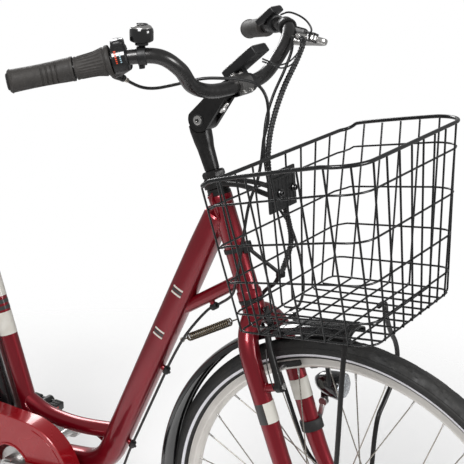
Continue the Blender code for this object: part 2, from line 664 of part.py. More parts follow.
def build_steering():
    look = RED
    joined = helper_group("fork_tubes")
    cut = helper_group("fork_bores")
    fork = rod("fork", steer(0, 0, CROWN_HEIGHT - 0.012), steer(0, 0, RING_TOP + 0.014), STEERER_RADIUS,
               look, sides=12)
    for side, word in ((1, "left"), (-1, "right")):
        leg = [(0.0030, 0.010, CROWN_HEIGHT - 0.002), (0.0045, 0.034, CROWN_HEIGHT - 0.018),
               (LEG_FORWARD, 0.0515, 0.345), (LEG_FORWARD, FORK_SPREAD, 0.300),
               (LEG_FORWARD + 0.0005, FORK_SPREAD, 0.160),
               (0.0120, FORK_SPREAD, 0.100), (0.0270, FORK_SPREAD, 0.052), (0.0365, FORK_SPREAD, 0.030)]
        route = [steer(f, side * s, u) for f, s, u in leg[:4]]
        route += smooth_route([steer(f, side * s, u) for f, s, u in leg[4:]], 2)
        shares = [1.0, 0.98, 0.99, 0.97, 0.90, 0.86, 0.80, 0.74, 0.67, 0.60, 0.54]
        tube("leg_" + word, route, CROWN_RADIUS, look, joined, radii=shares, round_level=2)
        tip = hull_outline(FRONT_AXLE, 0.013, steer(0.0350, 0, 0.0340), 0.0075, 4)
        plate("tip_" + word, tip, side * (FORK_SPREAD - 0.003), side * (FORK_SPREAD + 0.003), look, joined)
        base = steer(0.004, side * FORK_SPREAD, 0.2863)
        rod("brake_boss_" + word, base, steer(0.0395, side * FORK_SPREAD, 0.2863), 0.0065, look, joined,
            sides=8)
        rod("brake_pin_" + word, base, steer(0.0520, side * FORK_SPREAD, 0.2863), 0.0038, look, joined,
            sides=8)
    eye = steer(-0.0235, 0, 0.3975)
    rod("spring_boss_rear", steer(0, 0, 0.3975), eye, 0.0040, look, joined, sides=6)
    rod("crown_race", steer(0, 0, CROWN_HEIGHT - 0.004), steer(0, 0, HEAD_BOTTOM - 0.0118), 0.0195, look,
        joined, sides=12)
    combine(fork, joined, "UNION")
    rod("quill_bore", steer(0, 0, 0.505), steer(0, 0, RING_TOP + 0.03), QUILL_RADIUS + 0.0004, look, cut,
        sides=12)
    rod("front_axle_bore", FRONT_AXLE - 0.09 * LEFT, FRONT_AXLE + 0.09 * LEFT,
        AXLE_RADIUS + RUNNING_GAP, look, cut, sides=10)
    combine(fork, cut, "DIFFERENCE")

    cup_bore = STEERER_RADIUS + 0.0006
    nut_base = RING_TOP + GAP
    locknut = turned("headset_locknut",
                     [(0.0165, nut_base + LOCKNUT_HEIGHT), (0.0188, nut_base + LOCKNUT_HEIGHT - 0.003),
                      (0.0188, nut_base), (cup_bore, nut_base),
                      (cup_bore, nut_base + LOCKNUT_HEIGHT)],
                     steer(0, 0, 0), STEER_UP, BLACK_METAL, steps=12)
    return fork, locknut


def build_wheel(name, middle, shell, flange_radius, flange_half):
    """A rim, hub and crossed spokes as one wheel, laced eighteen spokes a side."""
    half = 0.5 * RIM_WIDTH
    rim = [(RIM_OUTER, half), (RIM_OUTER, half - 0.0019), (RIM_OUTER - 0.0105, half - 0.0019),
           (RIM_OUTER - 0.0105, 0.0019 - half), (RIM_OUTER, 0.0019 - half), (RIM_OUTER, -half),
           (RIM_OUTER - 0.0125, -half), (RIM_INNER, -0.3 * half), (RIM_INNER, 0.3 * half),
           (RIM_OUTER - 0.0125, half)]
    wheel = turned(name, rim[::-1], middle, LEFT, RIM_SILVER, steps=WHEEL_STEPS,
                   spin=math.pi / WHEEL_STEPS)
    joined = helper_group(name + "_joined")
    turned(name + "_hub", shell, middle, LEFT, SILVER, joined, steps=SPOKES_PER_SIDE,
           spin=math.pi / SPOKES_PER_SIDE)
    spokes = bmesh.new()
    for side in (1, -1):
        for index in range(SPOKES_PER_SIDE):
            lean = 1 if index % 2 else -1
            hub_angle = (index + 0.25 * (side - 1)) * 2 * math.pi / SPOKES_PER_SIDE
            rim_angle = hub_angle + lean * SPOKE_LEAD
            hub_side = side * (flange_half + 0.0022 * lean)
            start = Vector((flange_radius * math.cos(hub_angle), hub_side,
                            flange_radius * math.sin(hub_angle)))
            reach = RIM_INNER + 0.0025
            end = Vector((reach * math.cos(rim_angle), side * 0.001, reach * math.sin(rim_angle)))
            made = bmesh.ops.create_cone(spokes, cap_ends=True, segments=3, radius1=0.0013,
                                         radius2=0.0013, depth=(end - start).length)
            bmesh.ops.transform(spokes, verts=made["verts"], matrix=along(end - start, 0.5 * (start + end)))
    from_bmesh(name + "_spokes", spokes, Matrix.Translation(middle), SILVER, joined)
    combine(wheel, joined, "UNION")
    return wheel


def build_tyre(name, middle):
    """A tyre whose beads sit inside the rim's flanges."""
    half = 0.5 * TYRE_WIDTH
    bead = 0.5 * RIM_WIDTH - 0.0019 - GAP
    outer = WHEEL_RADIUS / math.cos(math.pi / WHEEL_STEPS)
    section = [(RIM_OUTER - 0.0105 + GAP, bead), (RIM_OUTER + GAP, bead),
               (RIM_OUTER + 0.0125, half), (outer - 0.0055, 0.74 * half), (outer, 0.22 * half)]
    loop = section + [(r, -h) for r, h in reversed(section)]
    tyre = turned(name, loop, middle, LEFT, RUBBER, steps=WHEEL_STEPS, spin=math.pi / WHEEL_STEPS)
    return tyre


def build_mudguard(name, middle, start, end, steps, tab):
    """A rolled strip round the wheel, with the mounting tabs that seat on the frame or fork."""
    crown = MUDGUARD_RADIUS + 0.011
    section = [(MUDGUARD_RADIUS, MUDGUARD_HALF_WIDTH), (crown - 0.003, 0.62 * MUDGUARD_HALF_WIDTH),
               (crown, 0.0), (crown - 0.003, -0.62 * MUDGUARD_HALF_WIDTH),
               (MUDGUARD_RADIUS, -MUDGUARD_HALF_WIDTH)]
    guard = turned(name, section, middle, -LEFT, BLACK, steps=steps, closed=False, spin=start,
                   sweep=end - start)
    wall = guard.modifiers.new("Wall", "SOLIDIFY")
    wall.thickness = MUDGUARD_WALL
    wall.offset = 1.0
    wall.use_even_offset = True
    combine(guard, tab, "UNION")
    return guard


def cut_by(item, group):
    return combine(item, group, "DIFFERENCE")


def bar_sleeve(name, start, end, side, radius, look, radii=None, round_level=3):
    """A sleeve that follows the bar between two distances from its end."""
    route = bar_stretch(start, end, side)
    shares = None
    if radii:
        shares = []
        totals = lengths_along(route)
        for total in totals:
            share = total / totals[-1] * (len(radii) - 1)
            low = min(int(share), len(radii) - 2)
            shares.append(radii[low] + (radii[low + 1] - radii[low]) * (share - low))
    item = tube(name + "_blank", route, radius, look, HELPERS, radii=shares, round_level=round_level)
    HELPERS.objects.unlink(item)
    item.name = name
    item.hide_render = False
    item.display_type = "TEXTURED"
    return place(item, look)


def build_bar():
    """The swept bar and everything that is clamped on it."""
    bar = tube("handlebar", BAR_ROUTE, BAR_RADIUS, BLACK_METAL, round_level=2)
    ends = [BAR_ROUTE[0] + (BAR_ROUTE[0] - BAR_ROUTE[1]).normalized() * GAP]
    ends += BAR_ROUTE[1:-1]
    ends += [BAR_ROUTE[-1] + (BAR_ROUTE[-1] - BAR_ROUTE[-2]).normalized() * GAP]
    tube("bar_bore_tube", ends, BAR_RADIUS + GAP, BLACK_METAL, BAR_BORE, round_level=2)

    pieces = [bar]
    for side, word, end in ((-1, "right", 0.0895), (1, "left", 0.116)):
        cap, inward = bar_place(0.0, side)
        route_radii = [1.06, 1.0, 0.99, 1.0, 1.03] if side < 0 else [1.06, 1.0, 0.97, 0.99, 1.05]
        grip = bar_sleeve("grip_" + word, -0.004, end, side, GRIP_RADIUS, GRIP, radii=route_radii)
        cut_by(grip, BAR_BORE)
        pieces.append(grip)
    pieces += build_shifter() + build_bell() + build_brake_lever() + build_display() + build_control()
    return pieces


def build_shifter():
    """The fixed shifter housing with its cable nose; the twist grip is made apart."""
    middle, inward = bar_place(0.156, -1)
    housing = rod("shifter_housing", middle - inward * 0.0095, middle + inward * 0.0120, 0.0205, BLACK,
                  sides=18)
    joined = helper_group("shifter_joined")
    turn = inward.to_track_quat("X", "Z").to_matrix()
    up = turn.col[2].copy()
    block("shifter_hood", middle + up * 0.008 + inward * 0.0015, (0.0180, 0.030, 0.040), BLACK, joined,
          turn, bevel=0.004)
    nose = at(*GEAR_POINTS[0])
    lead = (at(*GEAR_POINTS[1]) - nose).normalized()
    root = middle + (nose - middle) * 0.35 + inward * 0.0090
    bend = nose - lead * 0.018
    tube("cable_nose", [root, root.lerp(bend, 0.6), bend, nose - lead * GAP], 0.0068, BLACK, joined,
         radii=[1.1, 1.05, 0.95, 0.65], round_level=2)
    combine(housing, joined, "UNION")
    cut_by(housing, BAR_BORE)
    return [housing]


def build_twist_grip():
    middle, inward = bar_place(0.1180, -1)
    low, high = -0.0262, 0.0262
    bore = 0.0134
    profile = [(0.0205, high), (0.0222, high - 0.004), (0.0205, high - 0.009), (0.0172, 0.004),
               (0.0162, low + 0.006), (0.0166, low), (bore, low), (bore, high)]
    return turned("twist_grip", profile, middle, inward, GRIP, steps=16), middle, inward


def build_bell():
    middle, inward = bar_place(0.1877, -1)
    bell = rod("bell", middle - inward * 0.006, middle + inward * 0.006, 0.0140, BLACK, sides=16)
    joined = helper_group("bell_joined")
    base = Vector((middle.x, middle.y, middle.z))
    rod("bell_post", base, base + UP * 0.022, 0.0032, BLACK, joined, sides=10)
    dome = [(0.0, 0.046), (0.008, 0.0450), (0.0145, 0.0405), (0.0168, 0.0345), (0.0170, 0.0205),
            (0.0, 0.0205)]
    turned("bell_dome", dome, base, UP, BLACK, joined, steps=16, closed=False)
    combine(bell, joined, "UNION")
    cut_by(bell, BAR_BORE)
    return [bell]


def build_bell_lever():
    """The thumb lever that turns round the bell's post between the clamp and the dome."""
    middle, inward = bar_place(0.1877, -1)
    level = middle + UP * 0.0172
    lever = rod("bell_lever", level - UP * 0.0022, level + UP * 0.0026, 0.0095, BLACK, sides=14)
    joined = helper_group("bell_lever_joined")
    out = Vector((-0.80, 0.60, 0.0)).normalized()
    tip = level + out * 0.0235
    rod("thumb_arm", level + out * 0.004, tip, 0.0021, BLACK, joined, sides=8)
    rod("thumb_pad", tip - UP * 0.002, tip + UP * 0.007, 0.0038, BLACK, joined, sides=10)
    combine(lever, joined, "UNION")
    cut = helper_group("bell_lever_bore")
    rod("bell_post_bore", level - UP * 0.02, level + UP * 0.02, 0.0032 + RUNNING_GAP, BLACK, cut, sides=12)
    cut_by(lever, cut)
    return lever, level


LEVER_PIVOT = at(-0.2050, 0.1900, 1.1250)
LEVER_POINTS = [(-0.2050, 0.1900, 1.1250), (-0.1915, 0.2040, 1.1180), (-0.2110, 0.2340, 1.1110),
                (-0.2560, 0.2790, 1.1010), (-0.2980, 0.3160, 1.0920), (-0.3220, 0.3300, 1.0890)]
LEVER_TIP = at(*LEVER_POINTS[-1])


def lever_axis():
    """The lever turns its tip toward the grip, round the normal of the plane that holds both."""
    grip = bar_place(0.035, 1)[0]
    return (LEVER_TIP - LEVER_PIVOT).cross(grip - LEVER_PIVOT).normalized()


# The brake cable: from the lever's adjuster round the head to the brake, then across between its arms
ADJUSTER_END = (-0.2180, 0.1560, 1.1300)
BRAKE_POINTS = [
    (-0.2200, 0.1480, 1.1300), (-0.2110, 0.1330, 1.1130), (-0.2110, 0.1120, 1.0830),
    (-0.2150, 0.0850, 1.0450), (-0.2140, 0.0620, 1.0050), (-0.2100, 0.0530, 0.9600),
    (-0.2050, 0.0590, 0.9100), (-0.1960, 0.0760, 0.8650), (-0.1820, 0.1000, 0.8200),
    (-0.1600, 0.0980, 0.7620), (-0.1430, 0.0760, 0.7250), (-0.1400, 0.0580, 0.7080),
    (-0.1400, 0.0420, 0.7085), (-0.1400, 0.0, 0.7085), (-0.1400, -0.0400, 0.7085),
]


def build_brake_lever():
    """The perch: a clamp on the bar, an arm and two ears with the lever's pin."""
    middle, inward = bar_place(0.205, 1)
    axis = lever_axis()
    perch = rod("brake_perch", middle - inward * 0.009, middle + inward * 0.009, 0.0150, BLACK, sides=14)
    joined = helper_group("perch_joined")
    toward = (LEVER_PIVOT - middle).normalized()
    flat = (toward - axis * toward.dot(axis)).normalized()
    turn = Matrix((flat, axis.cross(flat), axis)).transposed()
    neck = (LEVER_PIVOT - middle).length
    block("perch_arm", middle.lerp(LEVER_PIVOT, 0.5) - flat * 0.0065, (neck - 0.012, 0.017, 0.0150), BLACK,
          joined, turn, bevel=0.002)
    for sign, word in ((1, "upper"), (-1, "lower")):
        ear = LEVER_PIVOT + axis * sign * 0.0061
        rod("ear_" + word, ear - axis * 0.0016, ear + axis * 0.0016, 0.0082, BLACK, joined, sides=10)
        block("ear_root_" + word, ear - flat * 0.0085, (0.017, 0.0150, 0.0032), BLACK, joined, turn)
    rod("lever_pin", LEVER_PIVOT - axis * 0.0075, LEVER_PIVOT + axis * 0.0075, 0.0024, BLACK, joined,
        sides=10)
    cable_out = at(*ADJUSTER_END)
    rod("adjuster", LEVER_PIVOT.lerp(cable_out, 0.25) - flat * 0.006, cable_out, 0.0052, BLACK, joined,
        end_radius=0.0042, sides=10)
    combine(perch, joined, "UNION")
    cut_by(perch, BAR_BORE)
    return [perch]


def build_lever_blade():
    axis = lever_axis()
    blade = rod("brake_lever", LEVER_PIVOT - axis * 0.0041, LEVER_PIVOT + axis * 0.0041, 0.0075, SILVER,
                sides=14)
    joined = helper_group("lever_joined")
    route = smooth_route([at(*p) for p in LEVER_POINTS], 2)
    shares = [0.7, 0.85, 1.0, 1.0, 1.0, 0.97, 0.92, 0.9, 0.9, 0.95, 1.05]
    tube("lever_blade", route, 0.0052, SILVER, joined, radii=shares, round_level=1)
    rod("lever_tip", LEVER_TIP - axis * 0.0030, LEVER_TIP + axis * 0.0030, 0.0070, SILVER, joined,
        sides=12)
    combine(blade, joined, "UNION")
    cut = helper_group("lever_bore")
    rod("lever_pin_bore", LEVER_PIVOT - axis * 0.02, LEVER_PIVOT + axis * 0.02, 0.0024 + RUNNING_GAP,
        SILVER, cut, sides=10)
    cut_by(blade, cut)
    return blade


def tilt(angle):
    """A turn about Y that lifts the front edge of a flat piece by an angle."""
    return Matrix.Rotation(-angle, 3, "Y")


def build_display():
    """The display over the stem, held by a ring beside the clamp."""
    lift = math.radians(41)
    turn = tilt(lift)
    normal = turn.col[2].copy()
    centre = CLAMP_CENTRE + normal * 0.0288 + turn.col[0] * 0.0165 + LEFT * 0.025
    display = block("display", centre, (0.073, 0.041, 0.0145), BLACK, None, turn, bevel=0.0025)
    joined = helper_group("display_joined")
    ring = CLAMP_CENTRE + LEFT * 0.0232
    rod("display_ring", ring - LEFT * 0.0055, ring + LEFT * 0.0055, 0.0150, BLACK, joined, sides=16)
    block("display_foot", ring + normal * 0.0165, (0.016, 0.0110, 0.016), BLACK, joined, turn)
    combine(display, joined, "UNION")
    cut_by(display, BAR_BORE)
    return [display]


def control_frame():
    lift = math.radians(41)
    turn = tilt(lift)
    middle, inward = bar_place(0.160, 1)
    centre = Vector((middle.x - 0.006, middle.y + 0.004, middle.z)) + turn.col[2] * 0.0162
    return turn, middle, inward, centre


def build_control():
    """The control unit on the left of the bar, with a recess for its button."""
    turn, middle, inward, centre = control_frame()
    control = block("control_unit", centre, (0.042, 0.034, 0.0110), BLACK, None, turn, bevel=0.002)
    joined = helper_group("control_joined")
    rod("control_ring", middle - inward * 0.007, middle + inward * 0.007, 0.0148, BLACK, joined, sides=16)
    block("control_foot", middle + turn.col[2] * 0.0115, (0.016, 0.012, 0.008), BLACK, joined, turn)
    combine(control, joined, "UNION")
    cut = helper_group("control_cut")
    normal = turn.col[2].copy()
    seat_point = centre + turn.col[0] * 0.009 + normal * 0.0055
    rod("button_recess", seat_point - normal * 0.0045, seat_point + normal * 0.01, 0.0068, BLACK, cut,
        sides=16)
    cut_by(control, BAR_BORE)
    cut_by(control, cut)
    return [control]


def build_button():
    turn, middle, inward, centre = control_frame()
    normal = turn.col[2].copy()
    seat_point = centre + turn.col[0] * 0.009 + normal * 0.0055
    button = rod("control_button", seat_point - normal * 0.0024, seat_point + normal * 0.0012, 0.0064,
                 GREY, sides=16)
    return button, seat_point, normal


def build_stem():
    """The quill post with its boss, and the arm that tilts on the boss and clamps the bar."""
    post = rod("stem_post", steer(0, 0, 0.512), steer(0, 0, RING_TOP + LOCKNUT_HEIGHT + 0.006),
               QUILL_RADIUS, BLACK_METAL, sides=12)
    joined = helper_group("post_joined")
    cut = helper_group("post_cut")
    neck = [steer(0, 0, RING_TOP + LOCKNUT_HEIGHT + 0.001), steer(0, 0, RING_TOP + 0.035),
            steer(0, 0, RING_TOP + 0.055), steer(0.0004, 0, STEM_PIVOT_HEIGHT - 0.034),
            steer(0.0010, 0, STEM_PIVOT_HEIGHT - 0.016), steer(0.0010, 0, STEM_PIVOT_HEIGHT - 0.004)]
    tube("post_neck", neck, 0.0118, BLACK_METAL, joined, radii=[1.0, 1.06, 1.14, 1.30, 1.44, 1.40],
         round_level=2)
    side = STEM_BOSS_HALF
    rod("post_boss", STEM_PIVOT - side * LEFT, STEM_PIVOT + side * LEFT, STEM_PIVOT_RADIUS, BLACK_METAL,
        joined, sides=18)
    combine(post, joined, "UNION")
    for sign in (1, -1):
        rod("cheek_room", STEM_PIVOT + sign * (side + 0.0001) * LEFT, STEM_PIVOT + sign * 0.03 * LEFT,
            STEM_PIVOT_RADIUS + 0.0014, BLACK_METAL, cut, sides=18)
    rod("pivot_bore", STEM_PIVOT - 0.03 * LEFT, STEM_PIVOT + 0.03 * LEFT, 0.0050 + GAP + 0.0001,
        BLACK_METAL, cut, sides=12)
    cut_by(post, cut)

    half = STEM_HALF_WIDTH
    arm = rod("stem_arm", CLAMP_CENTRE - half * LEFT, CLAMP_CENTRE + half * LEFT, CLAMP_RADIUS,
              BLACK_METAL, sides=18)
    body = helper_group("arm_joined")
    slot = helper_group("arm_cut")
    outline = [STEM_PIVOT + Vector((0.0490, 0, 0.0420))]
    outline += arc(CLAMP_CENTRE, CLAMP_RADIUS - 0.0003, math.radians(-60), math.radians(150), 8)
    outline += [STEM_PIVOT + Vector((0.0310, 0, 0.0590)), STEM_PIVOT + Vector((0.0108, 0, 0.0370))]
    outline += arc(STEM_PIVOT, STEM_PIVOT_RADIUS, math.radians(150), math.radians(328), 8)
    plate("arm_body", outline, -half + 0.0002, half - 0.0002, BLACK_METAL, body)
    combine(arm, body, "UNION")
    gap_half = STEM_BOSS_HALF + GAP
    rod("arm_slot", STEM_PIVOT - gap_half * LEFT, STEM_PIVOT + gap_half * LEFT,
        STEM_PIVOT_RADIUS + 0.0018, BLACK_METAL, slot, sides=16)
    rod("arm_pivot_bore", STEM_PIVOT - 0.03 * LEFT, STEM_PIVOT + 0.03 * LEFT, 0.0050 + GAP + 0.0001,
        BLACK_METAL, slot, sides=12)
    turn = tilt(STEM_ANGLE)
    block("cap_room", CLAMP_CENTRE + STEM_REACH * (0.025 - 0.0001), (0.050, 0.05, 0.05), BLACK_METAL, slot,
          turn)
    cut_by(arm, BAR_BORE)
    cut_by(arm, slot)

    bolt = rod("stem_bolt", STEM_PIVOT - (half + 0.001) * LEFT, STEM_PIVOT + (half + 0.001) * LEFT, 0.0050,
               SILVER, sides=12)
    heads = helper_group("bolt_joined")
    for sign in (1, -1):
        near = STEM_PIVOT + sign * (half + GAP) * LEFT
        rod("bolt_head", near, near + sign * 0.0032 * LEFT, 0.0080, SILVER, heads, sides=16)
    combine(bolt, heads, "UNION")

    cap = rod("stem_faceplate", CLAMP_CENTRE - (half - 0.001) * LEFT, CLAMP_CENTRE + (half - 0.001) * LEFT,
              CLAMP_RADIUS, SILVER, sides=20)
    ears = helper_group("cap_joined")
    block("cap_ears", CLAMP_CENTRE + STEM_REACH * 0.0040, (0.0070, 2 * half - 0.003, 0.0348), SILVER, ears,
          turn, bevel=0.001)
    combine(cap, ears, "UNION")
    behind = helper_group("cap_cut")
    block("arm_room", CLAMP_CENTRE - STEM_REACH * (0.025 - GAP), (0.050, 0.05, 0.06), SILVER, behind, turn)
    cut_by(cap, BAR_BORE)
    cut_by(cap, behind)
    return post, [arm, bolt, cap]


def build_front_axle():
    axle = rod("front_axle", FRONT_AXLE - 0.0740 * LEFT, FRONT_AXLE + 0.0740 * LEFT, AXLE_RADIUS, SILVER,
               sides=12)
    nuts = helper_group("front_nuts")
    for sign in (1, -1):
        near = FRONT_AXLE + sign * (FORK_SPREAD + 0.003 + 0.0038) * LEFT
        rod("nut", near, near + sign * 0.0095 * LEFT, 0.0092, SILVER, nuts, sides=6)
    return combine(axle, nuts, "UNION")


def build_rear_axle():
    """The rear axle with its nuts, and the coaster brake's arm under the left chainstay."""
    axle = rod("rear_axle", REAR_AXLE - 0.0900 * LEFT, REAR_AXLE + 0.0900 * LEFT, AXLE_RADIUS, SILVER,
               sides=12)
    joined = helper_group("rear_nuts")
    for sign in (1, -1):
        near = REAR_AXLE + sign * (REAR_DROPOUT_INNER + DROPOUT_PLATE + 0.0038) * LEFT
        rod("rear_nut", near, near + sign * 0.0095 * LEFT, 0.0092, SILVER, joined, sides=6)
    outline = hull_outline(REAR_AXLE, 0.0120, REAR_AXLE + Vector((0.135, 0, -0.072)), 0.0065, 3)
    plate("brake_arm_strap", outline, 0.0563, 0.0583, SILVER, joined)
    return combine(axle, joined, "UNION")


def basket_loop(back, front, half_back, half_front, radius, height):
    """One level of the basket: a rounded loop wider at the back, from the back left corner's middle."""
    steps = 6
    corners = [(back + radius, half_back - radius, 0.75 * math.pi),
               (front - radius, half_front - radius, 0.25 * math.pi),
               (front - radius, radius - half_front, -0.25 * math.pi),
               (back + radius, radius - half_back, -0.75 * math.pi)]
    stretches = []
    for index in range(4):
        x0, y0, a0 = corners[index]
        x1, y1, a1 = corners[(index + 1) % 4]
        points = []
        for step in range(steps + 1):
            angle = a0 - 0.25 * math.pi * step / steps
            points.append((x0 + radius * math.cos(angle), y0 + radius * math.sin(angle)))
        for step in range(steps + 1):
            angle = a1 + 0.25 * math.pi * (1 - step / steps)
            points.append((x1 + radius * math.cos(angle), y1 + radius * math.sin(angle)))
        stretches.append([at(x, y, height(x)) for x, y in points])
    return stretches


def rim_height(x):
    if x < RIM_SIDE_START:
        share = max(0.0, (x - RIM_BACK) / (RIM_SIDE_START - RIM_BACK))
        share = share * share * (3 - 2 * share)
        return RIM_BACK_HEIGHT + share * (RIM_SIDE_HEIGHT - RIM_BACK_HEIGHT)
    share = (x - RIM_SIDE_START) / (RIM_FRONT - RIM_SIDE_START)
    return RIM_SIDE_HEIGHT + share * (RIM_FRONT_HEIGHT - RIM_SIDE_HEIGHT)


def floor_height(x):
    share = (x - FLOOR_BACK) / (FLOOR_FRONT - FLOOR_BACK)
    return FLOOR_BACK_HEIGHT + share * (FLOOR_FRONT_HEIGHT - FLOOR_BACK_HEIGHT)


def wire_grid(name, rows, look):
    """A welded wire panel along a grid of crossings."""
    columns = len(rows[0])
    points = [p for row in rows for p in row]
    faces = []
    for r in range(len(rows) - 1):
        for c in range(columns - 1):
            first = r * columns + c
            faces.append((first, first + 1, first + columns + 1, first + columns))
    mesh = bpy.data.meshes.new(name)
    mesh.from_pydata(points, [], faces)
    item = bpy.data.objects.new(name, mesh)
    place(item, look)
    wires = item.modifiers.new("Wires", "WIREFRAME")
    wires.thickness = BASKET_WIRE
    wires.offset = 0.0
    wires.use_boundary = True
    wires.use_even_offset = False
    return item


def build_basket():
    rim = basket_loop(RIM_BACK, RIM_FRONT, RIM_HALF_BACK, RIM_HALF_FRONT, RIM_CORNER, rim_height)
    foot = basket_loop(FLOOR_BACK, FLOOR_FRONT, FLOOR_HALF_BACK, FLOOR_HALF_FRONT, FLOOR_CORNER,
                       floor_height)
    loop = []
    for stretch in rim:
        loop += [stretch[k] for k in (0, 2, 4, 6, 7, 9, 11)]
    pieces = [tube("basket_rim", loop, RIM_WIRE_RADIUS, BLACK, cyclic=True, round_level=1)]
    names = ("left", "front", "right", "back")
    cells = (SIDE_CELLS, FRONT_CELLS, SIDE_CELLS, FRONT_CELLS)
    seam = 0.5 * BASKET_WIRE + 0.5 * GAP + 0.0004
    for stretch_top, stretch_foot, word, count in zip(rim, foot, names, cells):
        top, bottom = [], []
        for index in range(count + 1):
            for source, target in ((stretch_top, top), (stretch_foot, bottom)):
                total = lengths_along(source)[-1] - 2 * seam
                target.append(point_along(source, seam + total * index / count)[0])
        drop = 0.0053
        rows = [[a + (b - a).normalized() * drop for a, b in zip(top, bottom)]]
        for level in HOOP_LEVELS + [1.0]:
            rows.append([a.lerp(b, level) for a, b in zip(top, bottom)])
        pieces.append(wire_grid("basket_" + word, rows, BLACK))

    inset = BASKET_WIRE + 0.0010
    count_x, count_y = 4, 4
    rows = []
    for i in range(count_x + 1):
        row = []
        for j in range(count_y + 1):
            x = FLOOR_BACK + inset + (FLOOR_FRONT - FLOOR_BACK - 2 * inset) * i / count_x
            half = FLOOR_HALF_BACK + (FLOOR_HALF_FRONT - FLOOR_HALF_BACK) * i / count_x
            y = (half - inset) * (2 * j / count_y - 1)
            if i in (0, count_x) and j in (0, count_y):
                x += 0.0035 if i == 0 else -0.0035
                y += 0.0035 if j == 0 else -0.0035
            row.append(at(x, y, floor_height(x)))
        rows.append(row)
    pieces.append(wire_grid("basket_floor", rows, BLACK))
    return pieces


def build_basket_mount():
    """The bracket between headset and basket, and the two struts down to the axle."""
    ring_bore = STEERER_RADIUS + 0.0006
    ring = turned("basket_bracket", [(0.0210, RING_TOP), (0.0210, RING_BOTTOM), (ring_bore, RING_BOTTOM),
                                     (ring_bore, RING_TOP)], steer(0, 0, 0), STEER_UP, BLACK_METAL,
                  steps=16)
    joined = helper_group("bracket_joined")
    lean = math.atan2(FLOOR_BACK - RIM_BACK, RIM_BACK_HEIGHT - FLOOR_BACK_HEIGHT)
    turn = Matrix.Rotation(-lean, 3, "Y")
    level = 0.918
    share = (RIM_BACK_HEIGHT - level) / (RIM_BACK_HEIGHT - FLOOR_BACK_HEIGHT)
    wall_x = RIM_BACK + share * (FLOOR_BACK - RIM_BACK)
    face = at(wall_x, 0.010, level) - turn.col[0] * (0.5 * BASKET_WIRE + GAP + 0.002)
    block("bracket_plate", face, (0.004, 0.080, 0.064), GREY, joined, turn)
    for base_y, end_y in ((-0.013, -0.022), (0.011, 0.014)):
        base = steer(0.014, base_y, 0.5 * (RING_TOP + RING_BOTTOM))
        route = smooth_route([base, base + Vector((0.045, 0.3 * (end_y - base_y), 0.006)),
                              at(wall_x - 0.004, end_y, level - 0.004)], 2)
        tube("bracket_arm", route[::2], 0.0042, BLACK_METAL, joined, round_level=1)
    for y in (0.0, 0.0405):
        base = at(wall_x, y, level - 0.0040)
        rod("bracket_bolt", base - turn.col[0] * 0.006, base + turn.col[0] * 0.0045, 0.0068, BLACK_METAL,
            joined, sides=10)
    combine(ring, joined, "UNION")

    struts = []
    for side, word in ((1, "left"), (-1, "right")):
        top_x = 0.020 if side < 0 else 0.012
        under = floor_height(top_x) - 0.5 * BASKET_WIRE - GAP - 0.0042
        if side < 0:
            points = [(top_x, 0.040, under), (top_x, 0.066, under), (0.0195, 0.0745, under - 0.004),
                      (0.0190, 0.0790, under - 0.014), (0.011, 0.0745, 0.540), (0.0045, 0.0670, 0.420),
                      (0.002, 0.0640, 0.366)]
        else:
            points = [(top_x, 0.040, under), (top_x, 0.058, under), (0.0105, 0.068, under - 0.006),
                      (0.008, 0.078, under - 0.026), (0.005, 0.104, 0.683), (0.005, 0.128, 0.652),
                      (0.005, 0.1375, 0.625), (0.005, 0.129, 0.590), (0.005, 0.100, 0.560),
                      (0.005, 0.078, 0.540), (0.005, 0.069, 0.510), (0.004, 0.066, 0.450),
                      (0.002, 0.0640, 0.366)]
        route = [at(x, side * y, z) for x, y, z in points]
        strut = rod("basket_strut_" + word, FRONT_AXLE + side * 0.0575 * LEFT,
                    FRONT_AXLE + side * 0.0607 * LEFT, 0.0115, BLACK_METAL, sides=14)
        parts = helper_group("strut_joined_" + word)
        tube("strut_wire_" + word, route, 0.0040, BLACK_METAL, parts, round_level=1)
        block("strut_tab_" + word, FRONT_AXLE + Vector((0, side * 0.0591, 0.0160)), (0.010, 0.0031, 0.024),
              BLACK_METAL, parts)
        combine(strut, parts, "UNION")
        bore = helper_group("strut_bore_" + word)
        rod("strut_hole_" + word, FRONT_AXLE, FRONT_AXLE + side * 0.08 * LEFT, AXLE_RADIUS + GAP,
            BLACK_METAL, bore, sides=12)
        cut_by(strut, bore)
        struts.append(strut)
    return ring, struts


